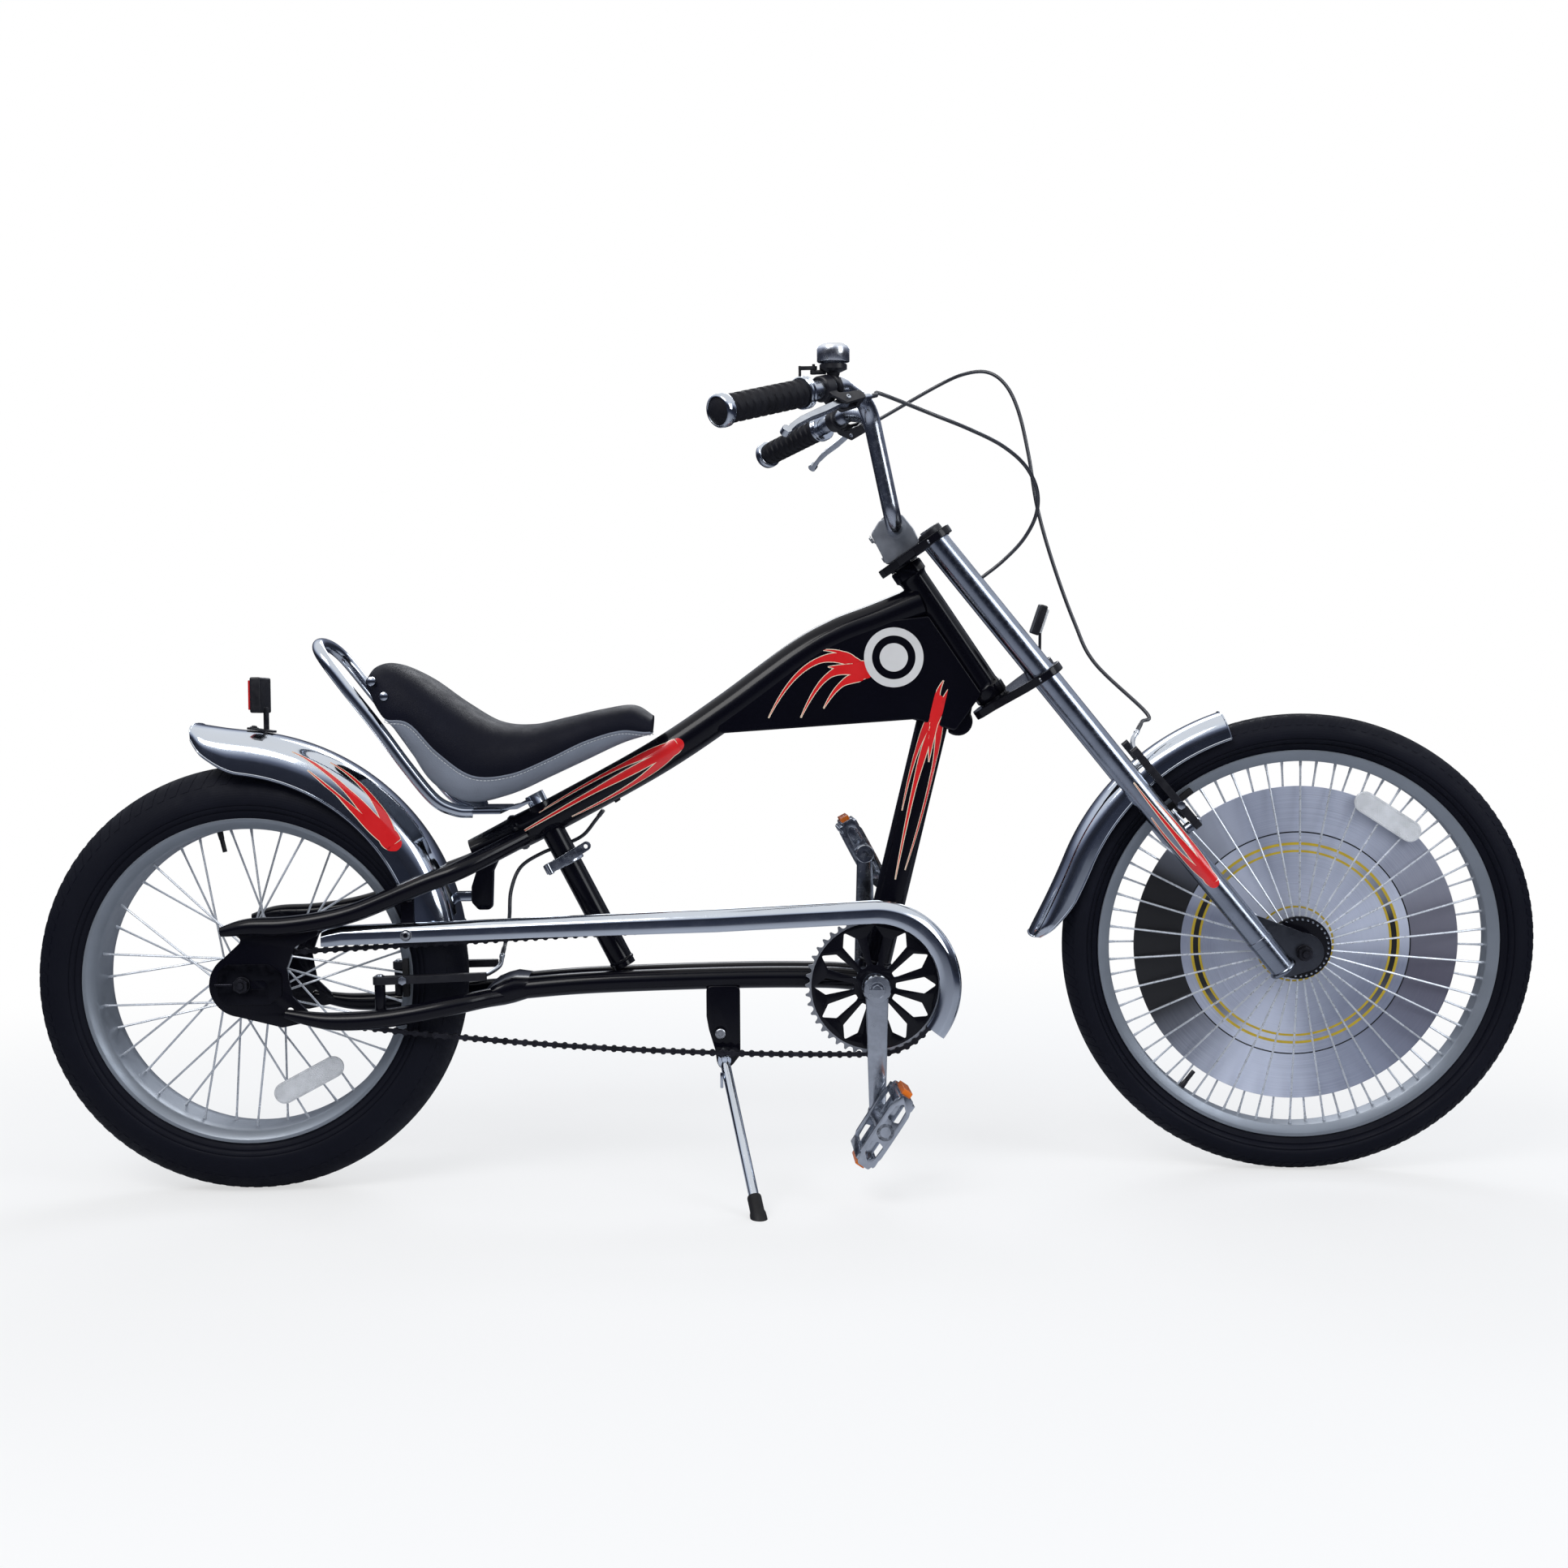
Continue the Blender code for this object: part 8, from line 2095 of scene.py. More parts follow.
def crown_outline(reach):
    half = [(-0.033, 0.012), (-0.026, 0.022), (-0.006, 0.031), (reach - 0.03, 0.072)]
    half += arc((reach, 0.06), 0.024, 110, -20, 22) + [(reach + 0.012, 0.03)]
    return softened(half + [(x, -y) for x, y in reversed(half)], 0.006)


def make_crowns():
    for up, name in ((-CROWN_UP, "lower_crown"), (CROWN_UP, "upper_crown")):
        shape = Shape()
        reach = leg_reach(up)
        place = frame_of(steer_point(up), STEER_FORWARD, Y)
        shape.slab([crown_outline(reach)], CROWN_THICKNESS, place, 0.0014, 4)
        for side in SIDES:
            ear = steer_point(up, reach, side * (LEG_SPREAD + 0.0225))
            shape.box((0.016, 0.008, CROWN_THICKNESS * 0.92), frame_of(ear, STEER_FORWARD, Y), 0.0014, 3)
        if up < 0:
            shape.rod(steer_point(up), steer_point(-HEAD_TUBE_HALF - 0.0123), 0.02, 44, bevel=0.001)
        else:
            shape.rod(steer_point(HEAD_TUBE_HALF + 0.0123), steer_point(up), 0.02, 44, bevel=0.001)
            shape.rod(steer_point(up), steer_point(up + 0.0055), 0.0127, 32)
        shape.dress(name + "_plate", "steering", "part_paint", name)
    bolts = Shape()
    for up in (-CROWN_UP, CROWN_UP):
        for side in SIDES:
            ear = steer_point(up, leg_reach(up) - 0.0082, side * (LEG_SPREAD + 0.0222))
            bolts.bolt(ear, -STEER_FORWARD, 0.003, 0.0022)
    for side in SIDES:
        top = steer_point(CROWN_UP + 0.0118, LEG_TOP_OFFSET, side * LEG_SPREAD)
        bolts.nut(top - STEER_UP * 0.0004, STEER_UP, 0.019, 0.003, 0.004)
    bolts.dress("crown_bolts", "steering", "bolt_steel")


def make_stem():
    shape = Shape()
    base = CROWN_UP + CROWN_THICKNESS / 2 + GAP
    outline = [(-0.02, base), (0.033, base), (0.036, base + 0.02), (0.034, BAR_UP + 0.008),
        (0.024, BAR_UP + 0.017), (0.004, BAR_UP + 0.018), (-0.014, BAR_UP + 0.01), (-0.017, base + 0.016)]
    whole = frame_of(HEAD, STEER_FORWARD, STEER_UP)
    outline = softened(outline, 0.007, 6)
    for side in (-0.01575, 0.0, 0.01575):
        place = Matrix.Translation(Y * side) @ whole
        wide = 0.0145 if side else 0.0157
        shape.slab([outline], wide, place, 0.0016, 4)
    for spot in (0.0, 0.001):
        low = steer_point(base + 0.008 + spot, -0.015)
        shape.box((0.01, 0.02, 0.006), frame_of(low, STEER_FORWARD, Y), 0.0012, 3)
    shape.rod(steer_point(BAR_UP, BAR_FORWARD, -0.0232), steer_point(BAR_UP, BAR_FORWARD, 0.0232), 0.015, 40)
    shape.dress("cast_stem", "steering", "cast_alloy", "stem", sharp=40)
    bolts = Shape()
    for side in (-0.0145, 0.0145):
        bolts.bolt(steer_point(BAR_UP + 0.004, -0.0152, side), -STEER_FORWARD, 0.0042, 0.004, 0.006)
    bolts.bolt(steer_point(BAR_UP + 0.0168, 0.013, 0.0), STEER_UP, 0.0048, 0.003, 0.007)
    bolts.dress("stem_bolts", "steering", "bolt_steel")


def make_fork_legs():
    for side, name in SIDES.items():
        shape = Shape()
        top, bottom = leg_line(side)
        way = (bottom - top).normalized()
        shape.sweep([top, top + way * 0.0008, top.lerp(bottom, 0.5), bottom], LEG_RADIUS, 48, [0.95, 1, 1, 1])
        collar = top.lerp(bottom, 0.925)
        shape.revolve(ring_profile(0.0155, 0.0166, 0, 0.01, 0.0006), along_frame(collar, way), 48, ring=True)
        spot = FRONT_AXLE
        plate = [(spot.x - 0.08, spot.z + 0.036), (spot.x - 0.066, spot.z + 0.05),
            (spot.x - 0.002, spot.z + 0.026), *arc((spot.x, spot.z), 0.025, 70, -70, 20),
            (spot.x - 0.024, spot.z - 0.034), (spot.x - 0.036, spot.z - 0.02)]
        bore = circle((spot.x, spot.z), 0.0052, 24)
        foot = Shape()
        foot.slab([softened(plate, 0.006), bore], 0.006, side_frame(side * 0.053), 0.001, 3)
        foot.dress("fork_foot_" + name, "steering", "foot_steel", sharp=40)
        cap = Shape()
        lip = LEG_RADIUS + 0.0006
        profile = [(0.0, -0.0006), (LEG_RADIUS * 0.95, -0.0006), (lip, 0.0006), (lip, 0.013)]
        cap.revolve(profile + [(LEG_RADIUS, 0.0135), (0.0, 0.0135)], along_frame(top, way), 48)
        cap.dress("leg_cap_" + name, "steering", "black_plastic")
        weld_bead(shape, bottom - way * 0.0015, way, LEG_RADIUS + 0.0004)
        brake_stud(shape, FRONT_BRAKE, side)
        leg = "fork_leg_" + name
        shape.dress("chromed_leg_" + name, "steering", "fork_chrome", leg, sharp=40)


def wave_grip(side, sizes):
    """A soft grip with raised waves running round it."""
    place = grip_frame(side)
    rings = []
    steps, turns = 150, 72
    for j in range(steps + 1):
        along = 0.0105 + (GRIP_LENGTH - 0.0105) * j / steps
        ring = []
        edge = min(1.0, (along - 0.0105) / 0.004, (GRIP_LENGTH - along) / 0.004)
        for k in range(turns):
            angle = 2 * pi * k / turns
            phase = along / sizes.grip_wave * 2 * pi + 1.35 * sin(4 * angle) * 0.62
            crest = max(0.0, min(1.0, sin(phase) * 2.6 + 0.55))
            crest = crest * crest * (3 - 2 * crest)
            radius = 0.0148 + 0.0017 * crest * edge
            ring.append(place @ Vector((radius * cos(angle), radius * sin(angle), along)))
        rings.append(ring)
    shape = Shape()
    shape.skin(rings)
    return shape


def make_grips(sizes):
    for side, name in SIDES.items():
        shape = wave_grip(side, sizes)
        shape.dress("wave_grip_" + name, "steering", "grip_rubber", "grip_" + name, sharp=60)
        place = grip_frame(side)
        collars = Shape()
        for radius, low, high, soft in ((0.0193, 0.0004, 0.0044, 0.0012), (0.0176, 0.0044, 0.0062, 0.0003),
                (0.0193, 0.0062, 0.0104, 0.0012)):
            collars.revolve(ring_profile(0.0114, radius, low, high, soft), place, 56, ring=True)
        collars.dress("grip_collars_" + name, "steering", "chrome")
        low, high = GRIP_LENGTH + GAP, GRIP_LENGTH + GRIP_CAP_LENGTH
        cap = Shape()
        rim = [(0.015, low), (0.0178, low), (0.0193, low + 0.0014), (0.0195, low + 0.005),
            (0.019, high - 0.002), (0.0176, high), (0.016, high + 0.0004), (0.0148, high - 0.0012)]
        cap.revolve(rim, place, 56, ring=True)
        cap.dress("grip_end_ring_" + name, "steering", "chrome", "grip_cap_" + name, sharp=50)
        end = Shape()
        dish = [(0.0, high + 0.0022), (0.006, high + 0.0019), (0.011, high + 0.0006)]
        dish += [(0.015, high - 0.0012), (0.015, low + 0.002), (0.0, low + 0.002)]
        end.revolve(dish, place, 48)
        end.dress("grip_end_" + name, "steering", "grip_rubber", slot="black_plastic")


def make_lever_brackets():
    for side, name in SIDES.items():
        shape = Shape()
        neck = [(-0.0235, 0.0), (-0.0235, 0.018), (-0.037, 0.034), (-0.072, 0.032), (-0.075, 0.026),
            (-0.072, 0.019), (-0.05, 0.0185), (-0.0365, 0.0165), (-0.0365, 0.0)]
        outline = softened(neck, 0.003)
        for across in (-0.0067, 0.0067):
            shape.slab([outline], 0.0036, lever_plane(side, across), 0.0009, 3)
        root = [(-0.024, 0.001), (-0.024, 0.0178), (-0.036, 0.0178), (-0.036, 0.001)]
        shape.slab([root], 0.013, lever_plane(side), 0.0004)
        back = [(-0.063, 0.0314), (-0.0716, 0.0312), (-0.0744, 0.026), (-0.0716, 0.0196), (-0.063, 0.0192)]
        shape.slab([back], 0.013, lever_plane(side), 0.0004)
        ring = ring_profile(0.0112, 0.0155, -0.038, -0.022, 0.0014)
        shape.revolve(ring, grip_frame(side), 48, ring=True)
        body = "lever_bracket_" + name
        shape.dress("lever_clamp_" + name, "steering", "black_plastic", body, sharp=40)
        metal = Shape()
        place = grip_frame(side) @ Matrix.Translation((0, 0.026, 0)) @ Matrix.Rotation(pi, 4, "X")
        profile = [(0.0028, 0.073), (0.005, 0.0732), (0.005, 0.076), (0.0038, 0.0764),
            (0.0038, 0.078), (0.0052, 0.0784), (0.0052, 0.088), (0.0046, 0.089), (0.0036, 0.0918),
            (0.0028, 0.092)]
        metal.revolve(profile, place, 20, ring=True)
        for across in (-1, 1):
            spot = lever_plane(side, across * 0.0084) @ Vector((-0.045, 0.026, 0))
            way = grip_frame(side).col[0].to_3d() * across
            metal.bolt(spot, way, 0.0033, 0.0016)
        spot = on_grip(side, -0.03, -0.0152, 0.0)
        metal.bolt(spot, -grip_frame(side).col[1].to_3d(), 0.0032, 0.0022)
        metal.dress("cable_adjuster_" + name, "steering", "alloy")


def make_brake_levers():
    for side, name in SIDES.items():
        blade = arc((-0.045, 0.026), 0.0058, 270, 90, 14)
        blade += [(-0.03, 0.0305), (0.0, 0.036), (0.03, 0.0395), (0.06, 0.0455), (0.072, 0.05)]
        blade += arc((0.078, 0.0475), 0.0058, 150, -150, 20)
        blade += [(0.07, 0.0425), (0.045, 0.035), (0.01, 0.029), (-0.02, 0.0245)]
        hole = circle((-0.045, 0.026), 0.0029, 20)
        shape = Shape()
        shape.slab([blade, hole], 0.0088, lever_plane(side), 0.0022, 4)
        body = "brake_lever_" + name
        shape.dress("lever_blade_" + name, body, "alloy", body, sharp=45)


def make_bell():
    centre = on_grip(RIGHT, -0.0475)
    place = frame_of(centre, X, Y)
    shape = Shape()
    shape.revolve(ring_profile(0.0112, 0.014, -0.0035, 0.0035, 0.001),
        Matrix.Translation(centre) @ grip_frame(RIGHT).to_3x3().to_4x4(), 40, ring=True)
    base = [(0.0, 0.026), (0.0158, 0.026), (0.0165, 0.0253), (0.0165, 0.02), (0.008, 0.016), (0.007, 0.012)]
    base += [(0.0, 0.012)]
    shape.revolve(base, place, 48)
    pivot = place @ Vector((-0.0235, 0, 0.0225))
    pin = frame_of(pivot, -X, -Y)
    shape.revolve(ring_profile(0.0, 0.0042, -0.008, -0.003, 0.0005), pin, 24)
    shape.revolve(ring_profile(0.0, 0.0018, -0.006, 0.004, 0.0002), pin, 16)
    shape.box((0.014, 0.006, 0.005), frame_of(pivot + Vector((0.008, 0, -0.0055)), X, Y), 0.0008)
    shape.dress("bell_clamp", "steering", "black_plastic", "bell_base")
    dome = Shape()
    outer = [(0.0, 0.0512), (0.012, 0.0509), (0.0162, 0.0494), (0.0186, 0.0468), (0.0195, 0.043)]
    outer += [(0.0195, 0.029), (0.019, 0.0285), (0.0184, 0.029), (0.0184, 0.043), (0.0176, 0.0464)]
    outer += [(0.0154, 0.0486), (0.0118, 0.05), (0.0, 0.0504)]
    dome.revolve(outer, place, 56)
    dome.bolt(place @ Vector((0, 0, 0.0511)), Z, 0.003, 0.0014)
    dome.dress("bell_cup", "steering", "bell_steel", "bell_dome", sharp=50)
    lever = Shape()
    outline = arc((0, 0), 0.0042, 300, 60, 18)
    outline += [(0.008, 0.003), (0.018, 0.004), (0.018, -0.004), (0.008, -0.003)]
    level = pin @ Matrix.Translation((0, 0, -0.0005))
    lever.slab([outline, circle((0, 0), 0.0021, 16)], 0.004, level, 0.0006, 3)
    lever.box((0.003, 0.007, 0.02), pin @ Matrix.Translation((0.0165, 0, -0.008)), 0.001, 3)
    lever.dress("bell_thumb_lever", "bell_lever", "black_plastic", "bell_lever")


# Brakes

def noodle_point(brake, spot):
    return brake_point(brake, brake["tip"] + spot[0], RIGHT * spot[1], spot[2])


def make_brake_arm(word, brake, side):
    name = word + "_" + SIDES[side]
    heading = radians(brake["heading"])
    out = ray(brake["heading"])
    beside = Vector((-sin(heading), 0, cos(heading)))
    inward = -beside if brake["clear"] > 0 else beside
    shape = Shape()
    root = (brake["pivot"], brake["spread"])
    outline = capsule(root, 0.0085, (brake["tip"], brake["tip_spread"]), 0.0042, 16)
    shape.slab([outline, circle(root, 0.0047, 24)], 0.0098, frame_of(brake["axle"], out, Y * side), 0.0022, 4)
    spot = brake_point(brake, (brake["pivot"] + brake["pad"]) / 2, side * brake["spread"])
    shape.box((0.018, 0.0065, 0.0112), frame_of(spot, out, Y), 0.002, 3)
    shape.dress(word + "_arm_" + SIDES[side], name, "black_plastic", name, sharp=45, slot="black_paint")
    pad = Shape()
    middle = brake["rim_half"] + 0.0022 + 0.005
    seat = brake_point(brake, brake["pad"], side * middle)
    pad.box((0.0078, 0.049, 0.0096), frame_of(seat, out, beside), 0.0016, 3)
    for step in (-0.014, 0.0, 0.014):
        rib = brake_point(brake, brake["pad"], side * (middle - 0.0002), step)
        pad.box((0.0084, 0.003, 0.007), frame_of(rib, out, beside), 0.0006, 2)
    pad.dress("pad_" + name, name, "pad_rubber")
    metal = Shape()
    bolt = brake_point(brake, brake["pad"], side * (middle + 0.004))
    end = brake_point(brake, brake["pad"], side * (brake["spread"] + 0.0066))
    metal.rod(bolt, end, 0.0034, 18)
    metal.nut(end - Y * side * 0.001, Y * side, 0.01, 0.0042)
    across = -0.005 if brake["clear"] > 0 else 0.005
    seat = brake_point(brake, brake["pivot"], side * brake["spread"], across)
    metal.bolt(seat, inward, 0.0048, 0.0028, 0.0066)
    if side == RIGHT:
        path = smooth([noodle_point(brake, spot) for spot in brake["noodle"]], 10)
        metal.sweep(path, 0.003, 18)
        way = (path[-1] - path[-2]).normalized()
        metal.rod(path[-1] - way * 0.005, path[-1], 0.0036, 18)
    else:
        spot = brake_point(brake, brake["tip"] - 0.004, side * (brake["tip_spread"] + 0.004))
        metal.bolt(spot, Y * side, 0.0036, 0.0024, 0.005)
    metal.dress("brake_metal_" + name, name, "alloy")


# Cables

CABLE_RADIUS = 0.0025


def noodle_tip(brake):
    """Where a cable leaves its brake arm's bent guide tube, and the tube's way out."""
    tip = noodle_point(brake, brake["noodle"][-1])
    return tip, (tip - noodle_point(brake, brake["noodle"][-2])).normalized()


def barrel_start(side):
    """Where a cable leaves its lever with the bars at rest, and its way out."""
    start = TURNED @ on_grip(side, -0.0923, 0.026)
    out = (TURNED @ on_grip(side, -0.1923, 0.026) - start).normalized()
    return start, out


def make_cable(name, points, body, node, arm=None):
    """A cable on its body; with an arm named, it is given its finish and left in place without a body."""
    path = smooth(points, 9)
    shape = Shape().sweep(path, CABLE_RADIUS, 16)
    for here, there in ((path[0], path[1]), (path[-1], path[-2])):
        way = (there - here).normalized()
        shape.rod(here, here + way * 0.011, CABLE_RADIUS + 0.0005, 16)
    piece = shape.object(name, 40)
    piece.data.transform(BIKE)
    if not arm:
        return dress(piece, body, "cable_black", node)
    piece.data.materials.append(finish_of("cable_black"))
    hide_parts(node)
    gaps = [0.0]
    for a, b in zip(path[::-1], path[-2::-1]):
        gaps.append(gaps[-1] + (b - a).length)
    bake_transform(piece)
    return piece


def make_cables():
    start, out = barrel_start(LEFT)
    tip, way = noodle_tip(FRONT_BRAKE)
    end = TURNED @ (tip + way * 0.0006)
    away = (TURNED @ (tip + way) - TURNED @ tip).normalized()
    middle = [(0.91, 0.118, 1.066), (0.945, 0.096, 1.0784), (0.975, 0.08, 1.0775), (0.998, 0.07, 1.058),
        (1.014, 0.062, 1.02), (1.026, 0.054, 0.96), (1.036, 0.046, 0.89), (1.055, 0.036, 0.815),
        (1.082, 0.026, 0.735), (1.106, 0.01, 0.68)]
    points = [start, start + out * 0.01, start + out * 0.02, *middle]
    points += [end + away * 0.03, end + away * 0.015, end]
    make_cable("front_brake_cable", points, "steering", "front_cable", "front_brake_right")
    start, out = barrel_start(RIGHT)
    middle = [(0.87, -0.135, 0.982), (0.92, -0.11, 0.968), (0.965, -0.085, 0.952),
        (0.999, -0.062, 0.93), (1.018, -0.042, 0.902), (1.02, -0.026, 0.872), (1.006, -0.013, 0.842),
        (0.982, -0.004, 0.816), (0.957, 0.0, 0.796), (0.9375, 0.0, 0.7825)]
    points = [start, start + out * 0.01, start + out * 0.02, *middle]
    make_cable("rear_brake_cable_upper", points, "steering", "rear_cable_upper")
    tip, way = noodle_tip(REAR_BRAKE)
    end = tip + way * 0.0006
    middle = [(0.452, 0.014, 0.49), (0.441, 0.021, 0.476), (0.424, 0.0275, 0.456),
        (0.4, 0.029, 0.444), (0.37, 0.027, 0.433), (0.342, 0.019, 0.415), (0.33, 0.01, 0.385),
        (0.328, 0.004, 0.35)]
    points = [*middle, end + way * 0.022, end + way * 0.011, end]
    make_cable("rear_brake_cable_lower", points, "frame", "rear_cable_lower", "rear_brake_right")


# Settings

def colour(title, about, default):
    return FloatVectorProperty(name=title, description=about, default=default, size=3, min=0, max=1,
        subtype="COLOR")


class ChopperColours(PropertyGroup):
    """Colours of the bicycle's finishes."""

    frame_paint: colour("Frame paint", "Gloss paint of the tubes and stays", PALETTE["frame_paint"][2])
    part_paint: colour("Part paint", "Gloss paint of the crowns and chainring", PALETTE["part_paint"][2])
    chrome: colour("Chrome", "Fenders, guard, bars and hoop", PALETTE["chrome"][2])
    fork_chrome: colour("Fork chrome", "The fork's two long legs", PALETTE["fork_chrome"][2])
    alloy: colour("Alloy", "Cranks, pedals, hubs and levers", PALETTE["alloy"][2])
    cast_alloy: colour("Cast alloy", "The stem", PALETTE["cast_alloy"][2])
    rim_grey: colour("Rim paint", "Both rims", PALETTE["rim_grey"][2])
    tyre_rubber: colour("Tyre rubber", "Both tyres", PALETTE["tyre_rubber"][2])
    grip_rubber: colour("Grip rubber", "The two soft grips", PALETTE["grip_rubber"][2])
    black_plastic: colour("Plastic", "Brackets and reflector holders", PALETTE["black_plastic"][2])
    black_vinyl: colour("Saddle vinyl", "The saddle's cushion", PALETTE["black_vinyl"][2])
    grey_vinyl: colour("Saddle band vinyl", "The band round the saddle", PALETTE["grey_vinyl"][2])
    flame_red: colour("Flames", "The painted flames", PALETTE["flame_red"][2])
    flame_edge: colour("Flame edges", "The pale line round each flame", PALETTE["flame_edge"][2])


class ChopperSizes(PropertyGroup):
    """Sizes of the bicycle's repeated details."""

    rear_spokes: IntProperty(name="Rear spokes", description="Spokes in the rear wheel", default=36, min=12)
    front_spokes: IntProperty(name="Front spokes", description="Spokes in the front wheel", default=68,
        min=12)
    grip_wave: FloatProperty(name="Grip wave", description="Distance between the waves on a grip",
        default=0.0122, min=0.004, unit="LENGTH")


class ChopperStudio(PropertyGroup):
    """The plain studio round the bicycle."""

    floor_half: FloatProperty(name="Floor half width", description="Half the width of the floor",
        default=14.0, unit="LENGTH")
    floor_colour: colour("Floor", "The pale floor", (0.8, 0.81, 0.83))
    key_power: FloatProperty(name="Key light", description="Power of the light over the near side",
        default=62.0)
    fill_power: FloatProperty(name="Fill light", description="Power of the light ahead", default=34.0)
    back_power: FloatProperty(name="Back light", description="Power of the light behind", default=40.0)


# Operators

class CHOPPER_OT_frame(Operator):
    """Make the frame's tubes, stays and welds"""

    bl_idname = "chopper.frame"
    bl_label = "Frame"

    def execute(self, context):
        make_backbone()
        make_down_tube()
        make_seat_tube()
        make_lower_tubes()
        make_stay(RIGHT)
        make_stay(LEFT)
        make_dropout_covers()
        make_guard_bolt()
        return {"FINISHED"}


class CHOPPER_OT_flames(Operator):
    """Paint the flames on the tubes, the tank, the fork legs and the rear fender"""

    bl_idname = "chopper.flames"
    bl_label = "Flames"

    def execute(self, context):
        make_flames()
        return {"FINISHED"}


class CHOPPER_OT_rear_wheel(Operator):
    """Make the rear wheel with its wide tyre"""

    bl_idname = "chopper.rear_wheel"
    bl_label = "Rear Wheel"

    def execute(self, context):
        make_rear_wheel(context.scene.chopper_sizes.rear_spokes)
        return {"FINISHED"}


class CHOPPER_OT_front_wheel(Operator):
    """Make the front wheel with its printed disc"""

    bl_idname = "chopper.front_wheel"
    bl_label = "Front Wheel"

    def execute(self, context):
        make_front_wheel(context.scene.chopper_sizes.front_spokes)
        return {"FINISHED"}


class CHOPPER_OT_chain(Operator):
    """Lay the roller chain round the chainring and the freewheel"""

    bl_idname = "chopper.chain"
    bl_label = "Chain"

    def execute(self, context):
        make_chain()
        return {"FINISHED"}


class CHOPPER_OT_chainwheels(Operator):
    """Make the chainring and the freewheel"""

    bl_idname = "chopper.chainwheels"
    bl_label = "Chainring and Freewheel"

    def execute(self, context):
        make_chainring()
        make_freewheel()
        return {"FINISHED"}


class CHOPPER_OT_cranks(Operator):
    """Make the two cranks"""

    bl_idname = "chopper.cranks"
    bl_label = "Cranks"

    def execute(self, context):
        make_crank(RIGHT)
        make_crank(LEFT)
        return {"FINISHED"}


class CHOPPER_OT_pedals(Operator):
    """Make the two pedals"""

    bl_idname = "chopper.pedals"
    bl_label = "Pedals"

    def execute(self, context):
        make_pedal(RIGHT)
        make_pedal(LEFT)
        return {"FINISHED"}


class CHOPPER_OT_guard(Operator):
    """Make the chromed chain guard"""

    bl_idname = "chopper.guard"
    bl_label = "Chain Guard"

    def execute(self, context):
        make_guard()
        return {"FINISHED"}


class CHOPPER_OT_fenders(Operator):
    """Make the two chromed fenders"""

    bl_idname = "chopper.fenders"
    bl_label = "Fenders"

    def execute(self, context):
        make_fenders()
        return {"FINISHED"}


class CHOPPER_OT_reflectors(Operator):
    """Make the reflectors on the rear fender and the fork"""

    bl_idname = "chopper.reflectors"
    bl_label = "Reflectors"

    def execute(self, context):
        make_reflectors()
        return {"FINISHED"}


class CHOPPER_OT_saddle(Operator):
    """Make the saddle's cushion and band"""

    bl_idname = "chopper.saddle"
    bl_label = "Saddle"

    def execute(self, context):
        make_saddle()
        return {"FINISHED"}


class CHOPPER_OT_seat_metal(Operator):
    """Make the seat post, the hoop and the clamp"""

    bl_idname = "chopper.seat_metal"
    bl_label = "Seat Post and Hoop"

    def execute(self, context):
        make_seat_metal()
        make_seat_clamp()
        return {"FINISHED"}


class CHOPPER_OT_stand(Operator):
    """Make the kickstand"""

    bl_idname = "chopper.stand"
    bl_label = "Kickstand"

    def execute(self, context):
        make_stand()
        return {"FINISHED"}


class CHOPPER_OT_fork(Operator):
    """Make the fork's crowns and legs"""

    bl_idname = "chopper.fork"
    bl_label = "Fork"

    def execute(self, context):
        make_crowns()
        make_fork_legs()
        return {"FINISHED"}


class CHOPPER_OT_bars(Operator):
    """Make the stem, the handlebar and its grips"""

    bl_idname = "chopper.bars"
    bl_label = "Bars and Grips"

    def execute(self, context):
        make_stem()
        make_handlebar()
        make_grips(context.scene.chopper_sizes)
        return {"FINISHED"}


class CHOPPER_OT_levers(Operator):
    """Make the brake levers with their brackets"""

    bl_idname = "chopper.levers"
    bl_label = "Brake Levers"

    def execute(self, context):
        make_lever_brackets()
        make_brake_levers()
        return {"FINISHED"}


class CHOPPER_OT_bell(Operator):
    """Make the bell"""

    bl_idname = "chopper.bell"
    bl_label = "Bell"

    def execute(self, context):
        make_bell()
        return {"FINISHED"}


class CHOPPER_OT_brakes(Operator):
    """Make the four brake arms with their pads"""

    bl_idname = "chopper.brakes"
    bl_label = "Brakes"

    def execute(self, context):
        for side in SIDES:
            make_brake_arm("rear_brake", REAR_BRAKE, side)
            make_brake_arm("front_brake", FRONT_BRAKE, side)
        return {"FINISHED"}


class CHOPPER_OT_cables(Operator):
    """Lay the brake cables"""

    bl_idname = "chopper.cables"
    bl_label = "Cables"

    def execute(self, context):
        make_cables()
        return {"FINISHED"}


class CHOPPER_OT_studio(Operator):
    """Set up the floor, the lights and the camera"""

    bl_idname = "chopper.studio"
    bl_label = "Studio"

    def execute(self, context):
        make_stage(context.scene.chopper_studio)
        return {"FINISHED"}


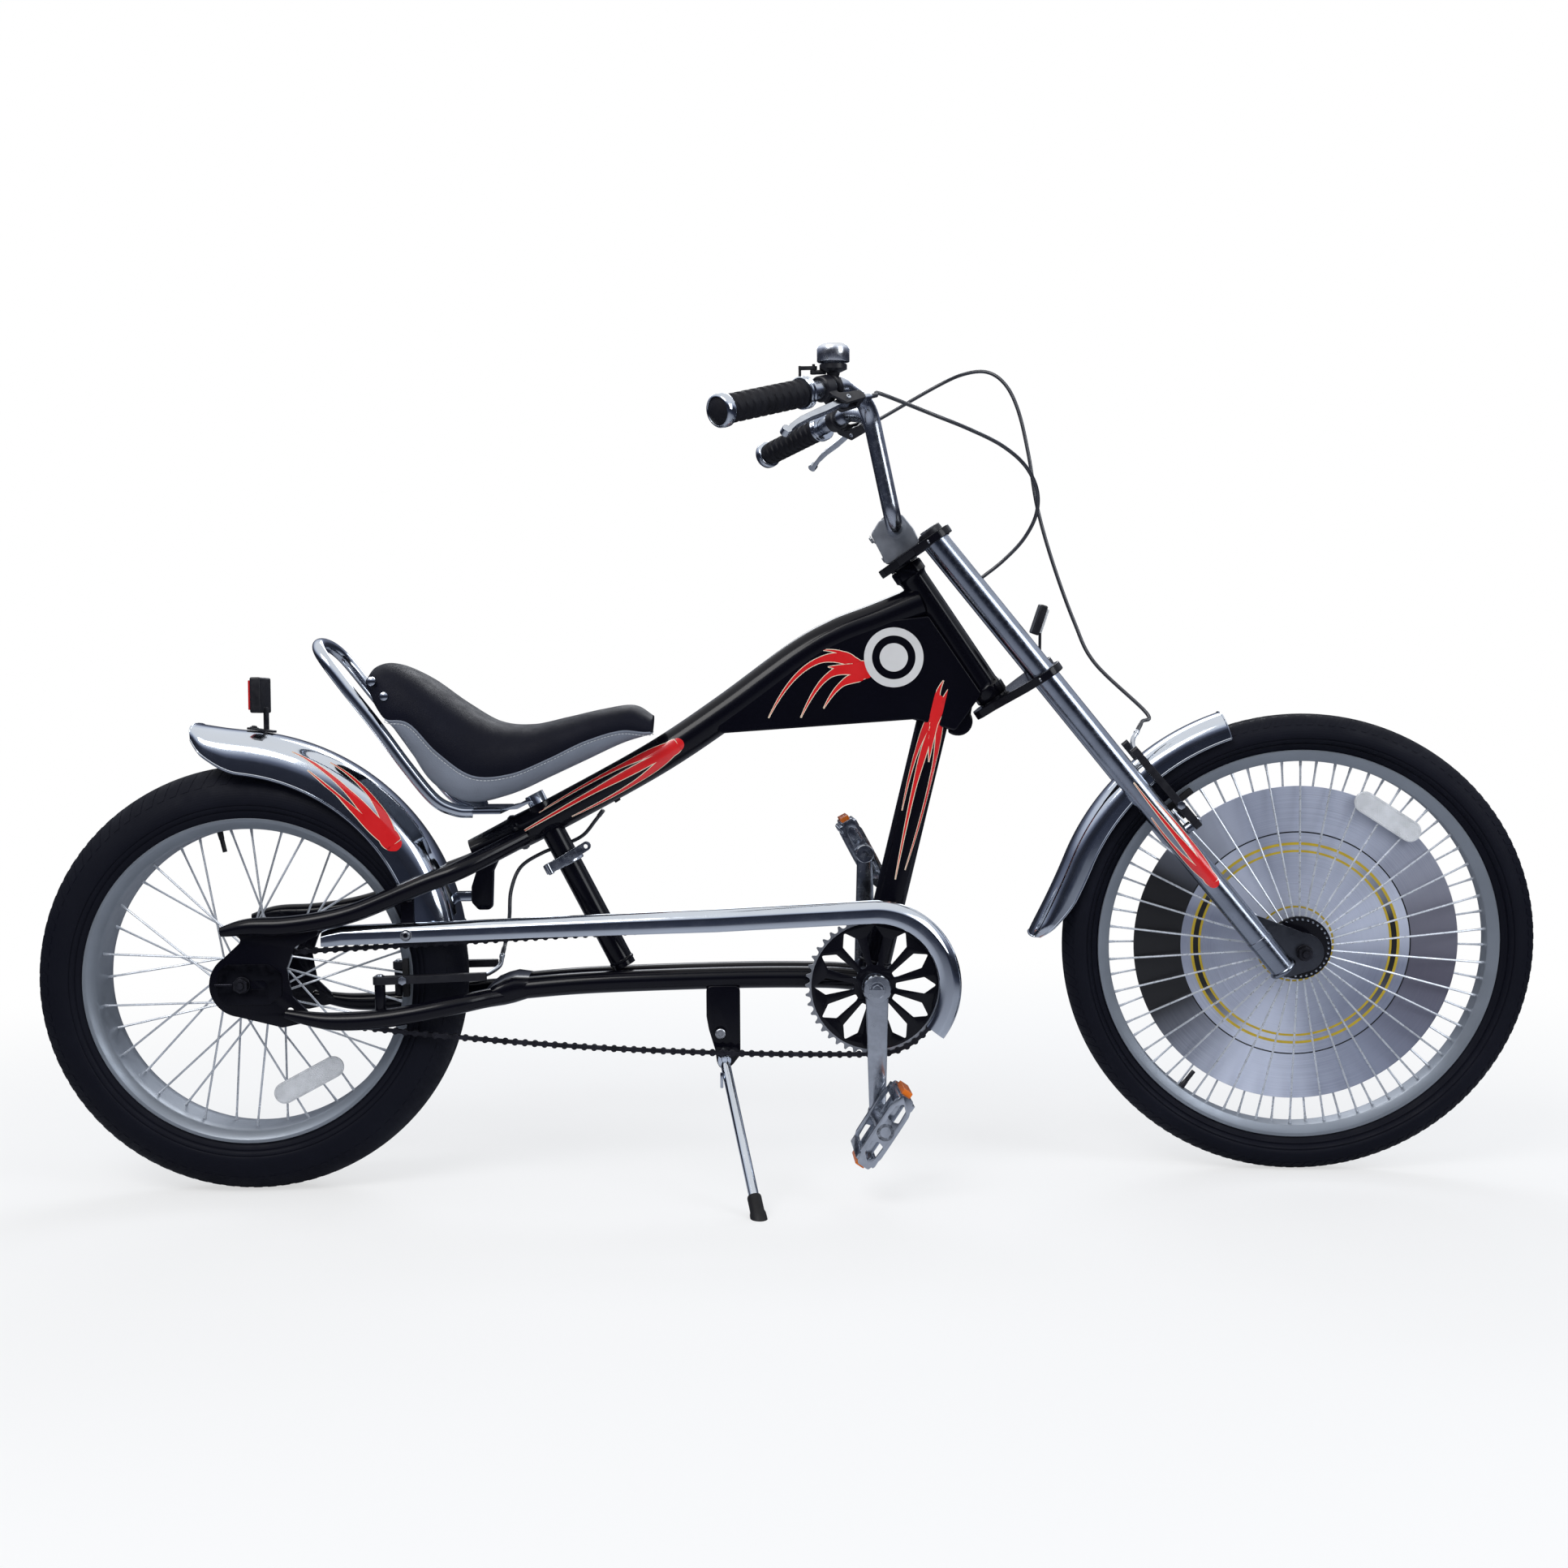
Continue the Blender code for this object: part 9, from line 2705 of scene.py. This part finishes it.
OPERATORS = (CHOPPER_OT_frame, CHOPPER_OT_flames, CHOPPER_OT_rear_wheel, CHOPPER_OT_front_wheel,
    CHOPPER_OT_chain, CHOPPER_OT_chainwheels, CHOPPER_OT_cranks, CHOPPER_OT_pedals, CHOPPER_OT_guard,
    CHOPPER_OT_fenders, CHOPPER_OT_reflectors, CHOPPER_OT_saddle, CHOPPER_OT_seat_metal, CHOPPER_OT_stand,
    CHOPPER_OT_fork, CHOPPER_OT_bars, CHOPPER_OT_levers, CHOPPER_OT_bell, CHOPPER_OT_brakes,
    CHOPPER_OT_cables, CHOPPER_OT_studio)


class CHOPPER_PT_build(Panel):
    """Everything that the bicycle is made of, in order"""

    bl_idname = "CHOPPER_PT_build"
    bl_label = "Chopper Bicycle"
    bl_space_type = "VIEW_3D"
    bl_region_type = "UI"
    bl_category = "Chopper"

    def draw(self, context):
        layout = self.layout
        scene = context.scene
        for group in (scene.chopper_colours, scene.chopper_sizes, scene.chopper_studio):
            box = layout.box()
            for name in group.__annotations__:
                box.prop(group, name)
        column = layout.column(align=True)
        for operator in OPERATORS:
            column.operator(operator.bl_idname)


CLASSES = (ChopperColours, ChopperSizes, ChopperStudio, *OPERATORS, CHOPPER_PT_build)


def register():
    for item in CLASSES:
        bpy.utils.register_class(item)
    bpy.types.Scene.chopper_colours = PointerProperty(type=ChopperColours)
    bpy.types.Scene.chopper_sizes = PointerProperty(type=ChopperSizes)
    bpy.types.Scene.chopper_studio = PointerProperty(type=ChopperStudio)


def unregister():
    del bpy.types.Scene.chopper_studio
    del bpy.types.Scene.chopper_sizes
    del bpy.types.Scene.chopper_colours
    for item in reversed(CLASSES):
        bpy.utils.unregister_class(item)


def plain(box):
    """A box as plain lists of numbers."""
    if isinstance(box, dict):
        return {key: plain(value) for key, value in box.items()}
    if isinstance(box, (list, tuple, Vector)):
        return [plain(value) for value in box]
    return float(box)


def main():
    register()
    for operator in OPERATORS:
        group, name = operator.bl_idname.split(".")
        getattr(getattr(bpy.ops, group), name)()
    {"cad": plain(CAD_BOX), "visual": plain(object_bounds())}


if __name__ == "__main__":
    main()
